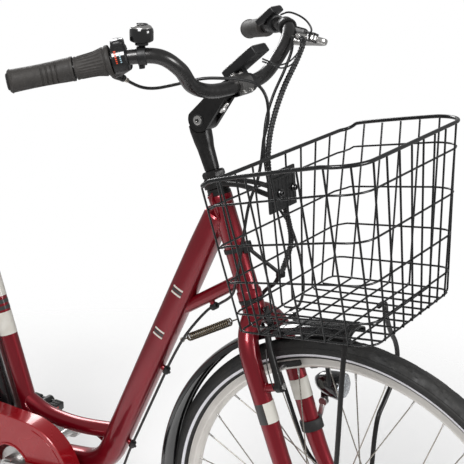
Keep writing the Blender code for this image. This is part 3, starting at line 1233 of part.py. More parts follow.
def build_brake_arms():
    """Two brake arms on their bosses, each with its pad beside the rim."""
    arms = []
    for side, word in ((1, "left"), (-1, "right")):
        out = side * FORK_SPREAD
        foot = steer(0.0460, out, 0.2863)
        arm = rod("front_brake_arm_" + word, steer(0.0400, out, 0.2863), steer(0.0510, out, 0.2863), 0.0095,
                  BLACK_METAL, sides=10)
        joined = helper_group("brake_arm_joined_" + word)
        route = smooth_route([foot, steer(0.0458, side * 0.0530, 0.310), steer(0.0445, side * 0.0490, 0.345),
                              steer(0.0425, side * 0.0400, 0.378)], 2)
        tube("arm_bar_" + word, route, 0.0052, BLACK_METAL, joined,
             radii=[1.2, 1.1, 1.0, 0.95, 0.9, 0.85, 0.8], round_level=1)
        pad_place = FRONT_AXLE + (RIM_OUTER - 0.0065) * (steer(0.0455, 0, 0.3105) - FRONT_AXLE).normalized()
        radial = (pad_place - FRONT_AXLE).normalized()
        tangent = LEFT.cross(radial)
        turn = Matrix((tangent, LEFT, radial)).transposed()
        near = 0.5 * RIM_WIDTH + 0.0018
        block("pad_" + word, pad_place + side * (near + 0.0050) * LEFT, (0.052, 0.010, 0.0090), RUBBER,
              joined, turn)
        rod("pad_post_" + word, pad_place + side * (near + 0.008) * LEFT, pad_place + side * 0.056 * LEFT,
            0.0042, BLACK_METAL, joined, sides=8)
        combine(arm, joined, "UNION")
        cut = helper_group("brake_arm_bore_" + word)
        rod("boss_bore_" + word, steer(0.030, out, 0.2863), steer(0.060, out, 0.2863), 0.0038 + RUNNING_GAP,
            BLACK_METAL, cut, sides=10)
        cut_by(arm, cut)
        arms.append(arm)
    return arms


LAMP_PIVOT = at(-0.0990, 0.0, 0.5350)


def build_headlight():
    """The lamp bracket round the left fork leg, and the lamp that tilts on it."""
    leg = [steer(LEG_FORWARD + 0.0004, FORK_SPREAD, 0.172), steer(LEG_FORWARD + 0.0004, FORK_SPREAD, 0.190)]
    bracket = rod("headlight_bracket", leg[0], leg[1], 0.0194, BLACK, sides=12)
    joined = helper_group("lamp_bracket_joined")
    cut = helper_group("lamp_bracket_cut")
    ear = LAMP_PIVOT + 0.0790 * LEFT
    start = steer(LEG_FORWARD + 0.005, FORK_SPREAD + 0.0155, 0.181)
    stop = ear - (ear - start).normalized() * 0.0045
    tube("lamp_strap", [start, start.lerp(stop, 0.5) + 0.001 * LEFT, stop], 0.0032, BLACK,
         joined, round_level=1)
    rod("lamp_ear", ear - 0.0020 * LEFT, ear + 0.0020 * LEFT, 0.0078, BLACK, joined, sides=12)
    rod("lamp_bolt", ear, ear + 0.0095 * LEFT, 0.0025, SILVER, joined, sides=8)
    combine(bracket, joined, "UNION")
    rod("leg_room", steer(LEG_FORWARD + 0.0004, FORK_SPREAD, 0.150),
        steer(LEG_FORWARD + 0.0004, FORK_SPREAD, 0.210), 0.0166, BLACK, cut, sides=12)
    cut_by(bracket, cut)

    lens = at(-0.0660, 0.0850, 0.5690)
    aim = Vector((1.0, 0.0, -0.05)).normalized()
    shell = [(0.0, 0.004), (0.012, 0.003), (0.0205, 0.0), (0.0235, -0.003), (0.0235, -0.012),
             (0.0200, -0.030), (0.0120, -0.046), (0.0, -0.052)]
    lamp = turned("headlight", shell, lens, aim, BLACK, steps=16, closed=False)
    lamp_joined = helper_group("lamp_joined")
    low = LAMP_PIVOT + 0.0838 * LEFT
    rod("lamp_lug", low - 0.0025 * LEFT, low + 0.0025 * LEFT, 0.0075, BLACK, lamp_joined, sides=14)
    block("lamp_lug_neck", low + Vector((0.0, 0, 0.010)), (0.013, 0.0050, 0.020), BLACK, lamp_joined)
    combine(lamp, lamp_joined, "UNION")
    lamp_cut = helper_group("lamp_cut")
    rod("lamp_bolt_bore", low - 0.02 * LEFT, low + 0.02 * LEFT, 0.0025 + GAP, BLACK, lamp_cut, sides=10)
    cut_by(lamp, lamp_cut)
    return bracket, lamp


def build_drive():
    """Cranks, pedals, chain, sprocket and the chain case."""
    heading = math.pi + CRANK_TILT
    back = Vector((math.cos(heading), 0, math.sin(heading)))
    cranks = []
    for side, word in ((1, "left"), (-1, "right")):
        reach = back if side > 0 else -back
        inner, outer = side * 0.0885, side * 0.1015
        end = BRACKET + CRANK_LENGTH * reach
        outline = hull_outline(BRACKET, 0.0165, end, 0.0125, 5)
        joined = helper_group("crank_joined_" + word)
        if side < 0:
            crank = rod("crank_right", BRACKET - 0.1000 * LEFT, BRACKET + 0.0975 * LEFT,
                        AXLE_BORE - 0.0010, SILVER, sides=14)
            plate("arm_right", outline, inner, outer, SILVER, joined)
            outer_r = CHAINRING_PITCH - CHAIN_HALF_HEIGHT - 0.0028
            boss = [(0.0, 0.0960), (0.0200, 0.0960), (0.0200, 0.0740), (0.0360, 0.0735), (0.0360, 0.0700),
                    (0.0200, 0.0690), (0.0200, CHAIN_LINE + 0.001), (outer_r, CHAIN_LINE + 0.001),
                    (outer_r, CHAIN_LINE - 0.001), (0.0, CHAIN_LINE - 0.001)]
            turned("spider_boss", boss, BRACKET, -LEFT, SILVER, joined, steps=16, closed=False)
        else:
            crank = solid_plate("crank_left", outline, inner, outer, SILVER)
        rod("pedal_spindle_" + word, end + side * 0.095 * LEFT, end + side * 0.200 * LEFT, 0.0055, SILVER,
            joined, sides=8)
        combine(crank, joined, "UNION")
        if side > 0:
            cut = helper_group("crank_bore")
            rod("crank_axle_bore", BRACKET + 0.07 * LEFT, BRACKET + 0.0980 * LEFT, AXLE_BORE - 0.0010 + GAP,
                SILVER, cut, sides=14)
            cut_by(crank, cut)
        cranks.append((crank, end))

    pedals = []
    for (crank, end), side, word in zip(cranks, (1, -1), ("left", "right")):
        near, far = side * 0.1105, side * 0.2065
        pedal = rod("pedal_" + word, end + near * LEFT, end + far * LEFT, 0.0115, BLACK, sides=10)
        joined = helper_group("pedal_joined_" + word)
        middle = end + 0.5 * (near + far) * LEFT
        for ahead in (1, -1):
            block("tread", middle + Vector((ahead * 0.030, 0, 0)), (0.022, 0.088, 0.020), BLACK, joined)
        for across in (-1, 1):
            block("cage_end", middle + Vector((0, across * 0.040, 0)), (0.050, 0.005, 0.012), BLACK, joined)
        combine(pedal, joined, "UNION")
        cut = helper_group("pedal_bore_" + word)
        rod("spindle_bore", end + side * 0.10 * LEFT, end + side * 0.2010 * LEFT, 0.0055 + RUNNING_GAP,
            BLACK, cut, sides=12)
        cut_by(pedal, cut)
        pedals.append((pedal, end))

    half = CHAIN_HALF_HEIGHT
    outer = hull_outline(REAR_AXLE, SPROCKET_PITCH + half, BRACKET, CHAINRING_PITCH + half, 10)
    inner = hull_outline(REAR_AXLE, SPROCKET_PITCH - half, BRACKET, CHAINRING_PITCH - half, 10)
    chain = plate("chain", [outer, inner], -CHAIN_LINE - 0.5 * CHAIN_WIDTH, -CHAIN_LINE + 0.5 * CHAIN_WIDTH,
                  DARK_STEEL)
    edge = SPROCKET_PITCH - half - 0.0018
    profile = [(edge, CHAIN_LINE + 0.001), (edge, CHAIN_LINE - 0.001), (0.0175, CHAIN_LINE - 0.001),
               (0.0175, CHAIN_LINE + 0.005), (0.0230, CHAIN_LINE + 0.005), (0.0230, CHAIN_LINE + 0.001)]
    sprocket = turned("rear_sprocket", profile, REAR_AXLE, -LEFT, DARK_STEEL, steps=18)
    return cranks, pedals, chain, sprocket


def case_outline(shrink):
    """The chain case in the side view: round in front, open at the back end."""
    front = BRACKET + Vector((CASE_FORWARD, 0, -0.005))
    end_x = REAR_AXLE.x + 0.080
    top_end = Vector((end_x, 0, REAR_AXLE.z + 0.051 - shrink))
    low_end = Vector((end_x, 0, REAR_AXLE.z - 0.052 + shrink))
    top = BRACKET + Vector((-0.040, 0, 0.106 - shrink))
    low = BRACKET + Vector((-0.020, 0, -0.115 + shrink))
    points = [top_end, top]
    points += arc(front, CASE_RADIUS - shrink, math.radians(92), math.radians(-92), 12)
    points += [low, low_end]
    return points


def build_chain_case():
    """A pressed shell: an outer face with the crank's opening, and a wall round its edge."""
    case = solid_plate("chain_case", case_outline(0.0), -CASE_OUTER, -CASE_INNER, RED)
    joined = helper_group("case_joined")
    cut = helper_group("case_cut")
    outline = case_outline(CASE_WALL)
    back = 0.02
    outline[0] = outline[0] - back * FORWARD
    outline[-1] = outline[-1] - back * FORWARD
    plate("case_room", outline, -(CASE_OUTER - CASE_WALL), -CASE_INNER + 0.01, RED, cut)
    rod("crank_opening", BRACKET - 0.11 * LEFT, BRACKET - 0.06 * LEFT, 0.0450, RED, cut, sides=20)
    cut_by(case, cut)
    ring = [(0.0240, BRACKET_SHELL_HALF + 0.0028), (0.0240, BRACKET_SHELL_HALF + GAP),
            (AXLE_BORE, BRACKET_SHELL_HALF + GAP), (AXLE_BORE, BRACKET_SHELL_HALF + 0.0028)]
    turned("case_ring", ring, BRACKET, -LEFT, RED, joined, steps=12)
    turned("case_lip", [(0.0480, CASE_OUTER + 0.0018), (0.0480, CASE_OUTER - 0.001),
                               (0.0450, CASE_OUTER - 0.001), (0.0450, CASE_OUTER + 0.0018)],
                  BRACKET, -LEFT, RED, joined, steps=20)
    front = BRACKET + Vector((CASE_FORWARD, 0, -0.005))
    for degrees in (80, 15, -60):
        angle = math.radians(degrees)
        ray = math.cos(angle) * FORWARD + math.sin(angle) * UP
        wall = front + (CASE_RADIUS - 0.5 * CASE_WALL) * ray
        heading = (wall - BRACKET).normalized()
        depth = -(BRACKET_SHELL_HALF + 0.0016) * LEFT
        points = [BRACKET + heading * 0.016 + depth, BRACKET + heading * 0.092 + depth,
                  wall - heading * 0.002 - (CASE_INNER + 0.003) * LEFT, wall - (CASE_INNER + 0.005) * LEFT]
        tube("case_arm", points, 0.0012, RED, joined, round_level=0)
    combine(case, joined, "UNION")
    return case


def build_battery():
    """The battery behind the seat tube and the rail that it slides on."""
    start = BATTERY_START
    near = SEAT_TUBE_RADIUS + GAP
    turn = Matrix((SEAT_UP.cross(LEFT) * -1, LEFT, SEAT_UP)).transposed()
    rail_far = near + RAIL_DEPTH
    middle = seat(start + 0.5 * BATTERY_LENGTH, near + 0.5 * RAIL_DEPTH)
    rail = block("battery_rail", middle, (RAIL_DEPTH, 0.036, BATTERY_LENGTH - 0.012), GREY, None, turn,
                 bevel=0.001)
    joined = helper_group("rail_joined")
    block("rail_tongue", seat(start + 0.5 * BATTERY_LENGTH, rail_far + 0.002),
          (0.0070, 0.016, BATTERY_LENGTH - 0.020), GREY, joined, turn)
    combine(rail, joined, "UNION")
    first = rail_far + GAP
    centre = seat(start + 0.5 * BATTERY_LENGTH, first + 0.5 * BATTERY_DEPTH)
    battery = block("battery", centre, (BATTERY_DEPTH, 2 * BATTERY_HALF_WIDTH, BATTERY_LENGTH), GLOSS_BLACK,
                    None, turn, bevel=0.010, segments=2)
    cut = helper_group("battery_cut")
    block("battery_groove", seat(start + 0.5 * BATTERY_LENGTH, first + 0.002),
          (0.0130, 0.0172, BATTERY_LENGTH + 0.02), GLOSS_BLACK, cut, turn)
    cut_by(battery, cut)
    return rail, battery


def build_seat():
    """Seat clamp, post with its head, and the padded saddle on two rails."""
    clamp = turned("seat_clamp", [(0.0215, SEAT_TUBE_LENGTH + 0.012), (0.0215, SEAT_TUBE_LENGTH + GAP),
                                  (SEATPOST_RADIUS + 0.0005, SEAT_TUBE_LENGTH + GAP),
                                  (SEATPOST_RADIUS + 0.0005, SEAT_TUBE_LENGTH + 0.012)],
                   BRACKET, SEAT_UP, BLACK_METAL, steps=16)
    post_top = 0.655
    post = rod("seatpost", seat(0.300, 0), seat(post_top, 0), SEATPOST_RADIUS, BLACK_METAL, sides=16)
    head = seat(post_top + 0.004, 0)
    joined = helper_group("post_head")
    rod("clamp_head", head - 0.030 * LEFT, head + 0.030 * LEFT, 0.0150, BLACK_METAL, joined, sides=12)
    combine(post, joined, "UNION")
    cut = helper_group("post_head_cut")
    rails = helper_group("saddle_rails")
    rail_z = head.z + 0.004
    for side in (1, -1):
        points = [(0.100, 0.010, 0.052), (0.078, 0.020, 0.006), (0.0, 0.0220, 0.0), (-0.060, 0.030, 0.004),
                  (-0.096, 0.045, 0.056)]
        route = [Vector((head.x + x, side * y, rail_z + z)) for x, y, z in points]
        route = smooth_route(route, 2)
        tube("saddle_rail", route[::2], 0.0034, SILVER, rails, round_level=1)
        tube("rail_room", route[::2], 0.0034 + GAP + 0.0001, SILVER, cut, round_level=1)
    cut_by(post, cut)

    saddle = build_saddle(head.x - 0.012, rail_z + 0.034)
    combine(saddle, rails, "UNION")
    return clamp, post, saddle


def build_saddle(middle_x, base_z):
    """A comfort saddle: broad at the back, narrow at the nose, with a crown and drawn-in sides."""
    stations = [(-0.132, 0.062, 0.030, 0.012), (-0.122, 0.092, 0.044, 0.006), (-0.090, 0.104, 0.054, 0.0),
                (-0.040, 0.094, 0.053, 0.0), (0.020, 0.056, 0.047, 0.0), (0.080, 0.034, 0.043, 0.0),
                (0.116, 0.028, 0.039, 0.001), (0.132, 0.018, 0.030, 0.006)]
    ring = [(0.0, 0.0), (0.75, 0.0), (1.03, 0.34), (0.66, 1.0), (0.0, 0.93)]
    shape = bmesh.new()
    rows = []
    for x, half, height, lift in stations:
        row = []
        profile = ring + [(-a, b) for a, b in reversed(ring[1:-1])]
        for across, up in profile:
            row.append(shape.verts.new((middle_x + x, across * half, base_z + lift + up * height)))
        rows.append(row)
    count = len(rows[0])
    for first, second in zip(rows, rows[1:]):
        for index in range(count):
            following = (index + 1) % count
            shape.faces.new((first[index], first[following], second[following], second[index]))
    shape.faces.new(list(reversed(rows[0])))
    shape.faces.new(rows[-1])
    bmesh.ops.recalc_face_normals(shape, faces=shape.faces)
    saddle = from_bmesh("saddle", shape, Matrix.Identity(4), SEAT_BLACK)
    soft = saddle.modifiers.new("Soft form", "SUBSURF")
    soft.levels = 1
    soft.render_levels = 1
    return saddle


def build_stand():
    """A double-leg stand on a cross tube in the frame's lug, its feet ahead of the pivot."""
    pivot = at(-STAND_BACK, 0, STAND_PIVOT_HEIGHT)
    stand = rod("centre_stand", pivot - 0.036 * LEFT, pivot + 0.036 * LEFT, STAND_TUBE_RADIUS, BLACK_METAL,
                sides=12)
    joined = helper_group("stand_joined")
    foot_x = pivot.x + STAND_REACH
    for side in (1, -1):
        points = [(pivot.x, 0.0320, pivot.z), (pivot.x + 0.0110, 0.0325, 0.175),
                  (pivot.x + 0.0160, 0.0410, 0.140), (foot_x - 0.004, 0.1020, 0.036),
                  (foot_x, STAND_FOOT_SPREAD - 0.002, 0.010)]
        tube("stand_leg", [Vector((x, side * y, z)) for x, y, z in points], STAND_LEG_RADIUS, BLACK_METAL,
             joined, round_level=2)
        block("stand_foot", Vector((foot_x, side * STAND_FOOT_SPREAD, 0.008)), (0.044, 0.026, 0.016),
              RUBBER, joined)
        hub = pivot + side * 0.0270 * LEFT
        rod("stand_hub", hub - 0.0120 * LEFT, hub + 0.0120 * LEFT, 0.0105, BLACK_METAL, joined, sides=10)
    combine(stand, joined, "UNION")
    return stand, pivot


def build_rack():
    """A tubular rear rack on the seatstays and the rear axle, with the rear light."""
    height, half = 0.775, 0.055
    front_x, back_x = -0.958, -1.330
    loop = [at(front_x, half, height), at(back_x + 0.02, half, height), at(back_x, half - 0.02, height),
            at(back_x, 0.02 - half, height), at(back_x + 0.02, -half, height), at(front_x, -half, height)]
    rack = rod("rear_rack", at(front_x, -half, height), at(front_x, half, height), 0.0048, BLACK_METAL,
               sides=6)
    joined = helper_group("rack_joined")
    tube("rack_rail", loop, 0.0050, BLACK_METAL, joined, round_level=1)
    for x in (-1.14,):
        rod("rack_bar", at(x, -half, height), at(x, half, height), 0.0035, BLACK_METAL, joined, sides=6)
    for side in (1, -1):
        seat_side = 0.0515 + STAY_RADIUS + 0.0012
        eye = at(-0.905, side * seat_side, 0.650)
        rod("rack_eye", eye, eye + side * 0.003 * LEFT, 0.0080, BLACK_METAL, joined, sides=10)
        tube("rack_front_strut", [eye + side * 0.0048 * LEFT, at(-0.935, side * 0.0660, 0.720),
                                  at(front_x - 0.004, side * half, height)], 0.0038, BLACK_METAL, joined,
             round_level=0)
        near = side * (REAR_DROPOUT_INNER + DROPOUT_PLATE + GAP)
        foot = at(-WHEELBASE, near, WHEEL_RADIUS)
        rod("rack_foot", foot, foot + side * 0.003 * LEFT, 0.0120, BLACK_METAL, joined, sides=12)
        tube("rack_rear_strut", [foot + side * 0.0040 * LEFT + Vector((-0.0005, 0, 0.0135)),
                                 at(-1.200, side * 0.0745, 0.470), at(-1.215, side * half, height)], 0.0040,
             BLACK_METAL, joined, round_level=0)
        block("rack_foot_tab", foot + side * 0.0015 * LEFT + Vector((0, 0, 0.014)), (0.010, 0.003, 0.020),
              BLACK_METAL, joined)
    block("light_plate", at(back_x - 0.004, 0, height - 0.008), (0.003, 0.080, 0.026), BLACK_METAL, joined)
    combine(rack, joined, "UNION")
    cut = helper_group("rack_cut")
    rod("rack_axle_room", REAR_AXLE - 0.09 * LEFT, REAR_AXLE + 0.09 * LEFT, AXLE_RADIUS + GAP, BLACK_METAL,
        cut, sides=10)
    cut_by(rack, cut)
    light = block("rear_light", at(back_x - 0.0055 - GAP - 0.011, 0, height - 0.008), (0.022, 0.096, 0.034),
                  LENS_RED, None, None, bevel=0.004)
    return rack, light


def build_spring():
    """The steering damper spring: one unbroken wire from its frame hook to its fork hook."""
    start, end = at(-0.3305, 0, 0.6195), at(-0.2270, 0, 0.6805)
    axis = (end - start).normalized()
    side = LEFT
    rise = axis.cross(side)
    turns, per_turn, coil_radius, wire = 10, 8, 0.0060, 0.0012
    length = (end - start).length
    body_start, body_end = 0.008, length - 0.008
    points = [start - axis * 0.004, start + axis * 0.002]
    for step in range(turns * per_turn + 1):
        share = step / (turns * per_turn)
        angle = 2 * math.pi * step / per_turn
        ease = min(1.0, share * turns / 0.75, (1 - share) * turns / 0.75)
        reach = coil_radius * max(0.12, ease)
        points.append(start + axis * (body_start + (body_end - body_start) * share)
                      + reach * (math.cos(angle) * side + math.sin(angle) * rise))
    points += [end - axis * 0.002, end + axis * 0.004]
    pitch = (body_end - body_start) / turns
    print("steering_spring: least gap between curls", round(pitch - 2 * wire, 5))
    return tube("steering_spring", points, wire, DARK_STEEL, round_level=1)


def build_cables():
    """The gear cable, the front brake's cable and the wrapped wires with the motor lead."""
    tube("gear_cable", GEAR_ROUTE, 0.0024, BLACK, round_level=1)
    tube("wire_bundle", BUNDLE_ROUTE, BUNDLE_RADIUS, BLACK, radii=BUNDLE_SHARES, round_level=1)
    route = smooth_route([at(*p) for p in BRAKE_POINTS[:-2]], 2) + [at(*p) for p in BRAKE_POINTS[-2:]]
    shares = [1.0] * (len(route) - 4) + [0.9, 0.42, 0.42, 0.42]
    tube("brake_cable", route, 0.0024, BLACK, radii=shares, round_level=1)


def build_all():
    build_frame()
    build_cable_guide()
    fork, locknut = build_steering()
    post, arm_parts = build_stem()
    bar_parts = build_bar()
    twist, twist_middle, twist_axis = build_twist_grip()
    bell_lever, bell_level = build_bell_lever()
    blade = build_lever_blade()
    button, button_place, button_axis = build_button()

    hub_bore = AXLE_RADIUS + RUNNING_GAP
    front_shell = [(0.0580, 0.0385), (0.0675, 0.0325), (0.0675, -0.0325), (0.0580, -0.0385),
                   (0.0130, -0.0500), (hub_bore, -0.0500), (hub_bore, 0.0500), (0.0130, 0.0500)]
    front_wheel = build_wheel("front_wheel", FRONT_AXLE, front_shell, 0.0600, 0.0283)
    front_tyre = build_tyre("front_tyre", FRONT_AXLE)
    rear_shell = [(0.0170, 0.0560), (0.0280, 0.0540), (0.0370, 0.0330), (0.0310, 0.0), (0.0370, -0.0330),
                  (0.0160, -0.0370), (0.0160, -0.0560), (hub_bore, -0.0560),
                  (hub_bore, 0.0560)]
    rear_wheel = build_wheel("rear_wheel", REAR_AXLE, rear_shell, 0.0330, 0.0295)
    rear_tyre = build_tyre("rear_tyre", REAR_AXLE)

    front_tabs = helper_group("front_guard_tabs")
    tab_face = CROWN_RADIUS + 0.0045 + GAP
    block("guard_tab", steer(tab_face + 0.0012, 0, 0.388), (0.0024, 0.016, 0.034), BLACK, front_tabs,
          Matrix.Rotation(-(math.pi / 2 - HEAD_ANGLE), 3, "Y"))
    front_guard = build_mudguard("front_mudguard", FRONT_AXLE, math.radians(90), math.radians(205), 10,
                                 front_tabs)
    rear_tabs = helper_group("rear_guard_tabs")
    rear_stub = rear(MUDGUARD_RADIUS + 0.0115, math.radians(120))
    block("rear_guard_rib", rear_stub, (0.012, 0.012, 0.003), BLACK, rear_tabs,
          Matrix.Rotation(math.radians(30), 3, "Y"))
    build_mudguard("rear_mudguard", REAR_AXLE, math.radians(-8), math.radians(200), 16, rear_tabs)

    basket = build_basket()
    bracket, struts = build_basket_mount()
    axle = build_front_axle()
    build_rear_axle()
    brake_arms = build_brake_arms()
    lamp_bracket, lamp = build_headlight()
    cranks, pedals, chain, sprocket = build_drive()
    build_chain_case()
    rail, battery = build_battery()
    clamp, seatpost, saddle = build_seat()
    stand, stand_pivot = build_stand()
    build_rack()
    build_spring()
    build_cables()

    steering = hold([fork, locknut, post, bracket, axle, lamp_bracket, front_guard] + basket + struts,
                    "steering_joint", steer(0, 0, 0.5), STEER_UP)
    stem_joint = hold(arm_parts + bar_parts, "stem_joint", STEM_PIVOT, LEFT)
    hold([twist], "twist_joint", twist_middle, twist_axis)
    hold([bell_lever], "bell_joint", bell_level, UP)
    hold([blade], "lever_joint", LEVER_PIVOT, lever_axis())
    hold([button], "button_joint", button_place, button_axis)
    hold([front_wheel, front_tyre], "front_wheel_joint", FRONT_AXLE, LEFT)
    hold([rear_wheel, rear_tyre], "rear_wheel_joint", REAR_AXLE, LEFT)
    hold([brake_arms[0]], "left_brake_joint", steer(0.046, FORK_SPREAD, 0.2863), STEER_FORWARD)
    hold([brake_arms[1]], "right_brake_joint", steer(0.046, -FORK_SPREAD, 0.2863), STEER_FORWARD)
    hold([lamp], "lamp_joint", LAMP_PIVOT + 0.084 * LEFT, LEFT)
    hold([cranks[0][0], cranks[1][0]], "crank_joint", BRACKET, LEFT)
    hold([pedals[0][0]], "left_pedal_joint", pedals[0][1], LEFT)
    hold([pedals[1][0]], "right_pedal_joint", pedals[1][1], LEFT)
    hold([sprocket], "sprocket_joint", REAR_AXLE, LEFT)
    hold([battery], "battery_joint", seat(0.0, 0.0), SEAT_UP)
    hold([seatpost, saddle], "seatpost_joint", BRACKET, SEAT_UP)
    hold([stand], "stand_joint", stand_pivot, LEFT)


build_all()
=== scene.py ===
"""Looks of the electric bicycle: studio, camera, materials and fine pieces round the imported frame.

Lengths are in metres with the front along +X, and the values and routes are those of the CAD model.
The pairs of a turned profile are in millimetres.
"""

from math import acos, atan2, cos, exp, pi, radians, sin, sqrt, tan

import bmesh
import bpy
from mathutils import Matrix, Vector


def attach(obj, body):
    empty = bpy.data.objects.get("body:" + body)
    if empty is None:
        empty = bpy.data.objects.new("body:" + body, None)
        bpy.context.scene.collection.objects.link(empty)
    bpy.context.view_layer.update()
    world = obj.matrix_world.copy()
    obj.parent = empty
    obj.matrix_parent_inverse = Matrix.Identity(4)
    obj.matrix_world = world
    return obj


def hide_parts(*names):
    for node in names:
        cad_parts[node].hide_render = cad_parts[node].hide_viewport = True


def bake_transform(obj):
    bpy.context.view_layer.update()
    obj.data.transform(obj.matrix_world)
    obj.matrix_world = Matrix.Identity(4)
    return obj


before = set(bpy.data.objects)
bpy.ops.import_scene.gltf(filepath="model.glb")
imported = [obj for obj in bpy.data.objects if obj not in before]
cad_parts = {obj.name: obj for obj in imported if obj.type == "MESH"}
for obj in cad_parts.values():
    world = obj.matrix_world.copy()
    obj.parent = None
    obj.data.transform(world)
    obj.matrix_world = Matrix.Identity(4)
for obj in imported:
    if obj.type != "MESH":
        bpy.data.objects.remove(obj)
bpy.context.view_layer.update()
scene = bpy.context.scene
scene.view_settings.view_transform = "Standard"

# Values of the CAD model
GAP = 0.0003
WHEEL_RADIUS = 0.349
WHEELBASE = 1.190
RIM_WIDTH = 0.025
RIM_OUTER = 0.317
RIM_INNER = 0.298
SPOKES_PER_SIDE = 18
SPOKE_LEAD = radians(40)
MUDGUARD_CLEARANCE = 0.012
MUDGUARD_RISE = 0.011
MUDGUARD_WALL = 0.0012
MUDGUARD_HALF_WIDTH = 0.0245
MUDGUARD_RADIUS = WHEEL_RADIUS + MUDGUARD_CLEARANCE
HEAD_ANGLE = radians(69.2)
FORK_OFFSET = 0.050
HEAD_BOTTOM = 0.428
HEAD_LENGTH = 0.172
HEAD_TOP = HEAD_BOTTOM + HEAD_LENGTH
HEAD_RADIUS = 0.0185
STEERER_RADIUS = 0.0143
CUP_HEIGHT = 0.012
RING_BOTTOM = HEAD_TOP + CUP_HEIGHT + GAP + 0.0002
RING_TOP = RING_BOTTOM + 0.0097
LOCKNUT_HEIGHT = 0.0175
QUILL_RADIUS = 0.0108
CROWN_HEIGHT = 0.398
CROWN_RADIUS = 0.017
FORK_SPREAD = 0.0542
LEG_FORWARD = 0.0055
BOSS_HEIGHT = 0.2863
BOSS_RADIUS = 0.0068
STEM_PIVOT_HEIGHT = 0.7238
STEM_PIVOT_FORWARD = 0.0135
STEM_LENGTH = 0.0910
STEM_ANGLE = radians(42.4)
STEM_HALF_WIDTH = 0.0165
STEM_BOSS_HALF = 0.0080
STEM_PIVOT_RADIUS = 0.0195
BAR_RADIUS = 0.0111
BAR_BORE = BAR_RADIUS + 0.0003
CLAMP_RADIUS = 0.0165
GRIP_RADIUS = 0.0162
BAR_SHAPE = [
    (0, 0, 0), (0, 0.0325, 0), (-0.005, 0.075, 0.0023), (-0.0093, 0.1139, 0.0161), (-0.0071, 0.147, 0.0456),
    (-0.0221, 0.1774, 0.0666), (-0.0606, 0.2056, 0.065), (-0.1045, 0.2357, 0.0529), (-0.1466, 0.2685, 0.0421),
    (-0.1813, 0.3088, 0.0337)]
BRACKET_BACK = 0.680
BRACKET_HEIGHT = 0.295
BRACKET_SHELL_RADIUS = 0.0215
BRACKET_SHELL_HALF = 0.0345
DOWN_TUBE_RADIUS = 0.0242
DOWN_TUBE_DRAWN = 0.985 * DOWN_TUBE_RADIUS
DOWN_TUBE_BEND = 0.095
STRUT_RADIUS = 0.0112
BRACE_RADIUS = 0.0153
CLIP_SHARES = (0.558, 0.865)
CLIP_REACH = DOWN_TUBE_RADIUS + 0.0085
CLIP_RING = (0.0026, 0.0060, 0.0062)
SEAT_ANGLE = radians(71.9)
SEAT_TUBE_LENGTH = 0.470
SEAT_TUBE_RADIUS = 0.017
SEATPOST_RADIUS = 0.0136
SEATPOST_TOP = 0.655
STAY_RADIUS = 0.0082
REAR_DROPOUT_INNER = 0.0640
DROPOUT_PLATE = 0.006
AXLE_RADIUS = 0.005
CRANK_LENGTH = 0.167
CRANK_TILT = radians(10)
CHAIN_LINE = 0.045
CHAINRING_PITCH = 0.0808
SPROCKET_PITCH = 0.0364
CASE_OUTER = 0.085
CASE_INNER = 0.050
CASE_WALL = 0.002
CASE_RADIUS = 0.111
CASE_OPENING = 0.0452
BATTERY_HALF_WIDTH = 0.034
BATTERY_LENGTH = 0.352
BATTERY_DEPTH = 0.068
BATTERY_START = 0.058
RAIL_DEPTH = 0.0067
BASKET_WIRE = 0.0032
RIM_WIRE_RADIUS = 0.003
RIM_BACK, RIM_FRONT = -0.1520, 0.0765
RIM_SIDE_START = -0.100
RIM_BACK_HEIGHT, RIM_SIDE_HEIGHT, RIM_FRONT_HEIGHT = 0.974, 1.008, 1.031
FLOOR_BACK, FLOOR_FRONT = -0.1260, 0.0910
FLOOR_BACK_HEIGHT, FLOOR_FRONT_HEIGHT = 0.737, 0.764
BASKET_CELLS = (6, 9, 6, 9)
HOOP_LEVELS = (0.15, 0.41, 0.65, 0.87, 1.0)
PLATE_LEVEL = 0.918
STAND_BACK = 0.795
STAND_PIVOT_HEIGHT = 0.262
STAND_REACH = 0.030
STAND_FOOT_SPREAD = 0.115
STAY_EYE = (-0.905, 0.0515, 0.650)
FRONT_AXLE_X = 0.5 * (WHEELBASE + MUDGUARD_CLEARANCE + MUDGUARD_RISE)

UP = Vector((0, 0, 1))
LEFT = Vector((0, 1, 0))
FORWARD = Vector((1, 0, 0))
BOTH = (1, -1)
SIDES = ((1, "left"), (-1, "right"))


def ray(angle):
    """The direction at an angle up from the front in the side view."""
    return Vector((cos(angle), 0, sin(angle)))


STEER_UP = Vector((-cos(HEAD_ANGLE), 0, sin(HEAD_ANGLE)))
STEER_FORWARD = Vector((sin(HEAD_ANGLE), 0, cos(HEAD_ANGLE)))
SEAT_UP = Vector((-cos(SEAT_ANGLE), 0, sin(SEAT_ANGLE)))
SEAT_BACKWARD = Vector((-sin(SEAT_ANGLE), 0, -cos(SEAT_ANGLE)))


def at(x, y, z):
    """A place by its distance ahead of the front axle, to the left and above the floor."""
    return Vector((FRONT_AXLE_X + x, y, z))


BRACKET = at(-BRACKET_BACK, 0, BRACKET_HEIGHT)
REAR_AXLE = at(-WHEELBASE, 0, WHEEL_RADIUS)
FRONT_AXLE = at(0, 0, WHEEL_RADIUS)


def steer(forward, left, up):
    return FRONT_AXLE + (forward - FORK_OFFSET) * STEER_FORWARD + up * STEER_UP + left * LEFT


def boss(forward, side):
    return steer(forward, side * FORK_SPREAD, BOSS_HEIGHT)


def seat(up, back, left=0.0):
    return at(-BRACKET_BACK, left, BRACKET_HEIGHT) + up * SEAT_UP + back * SEAT_BACKWARD


def rear(radius, angle, left=0.0):
    return REAR_AXLE + left * LEFT + radius * ray(angle)


def mirrored(points):
    return [Vector((p[0], -p[1], p[2])) for p in points]


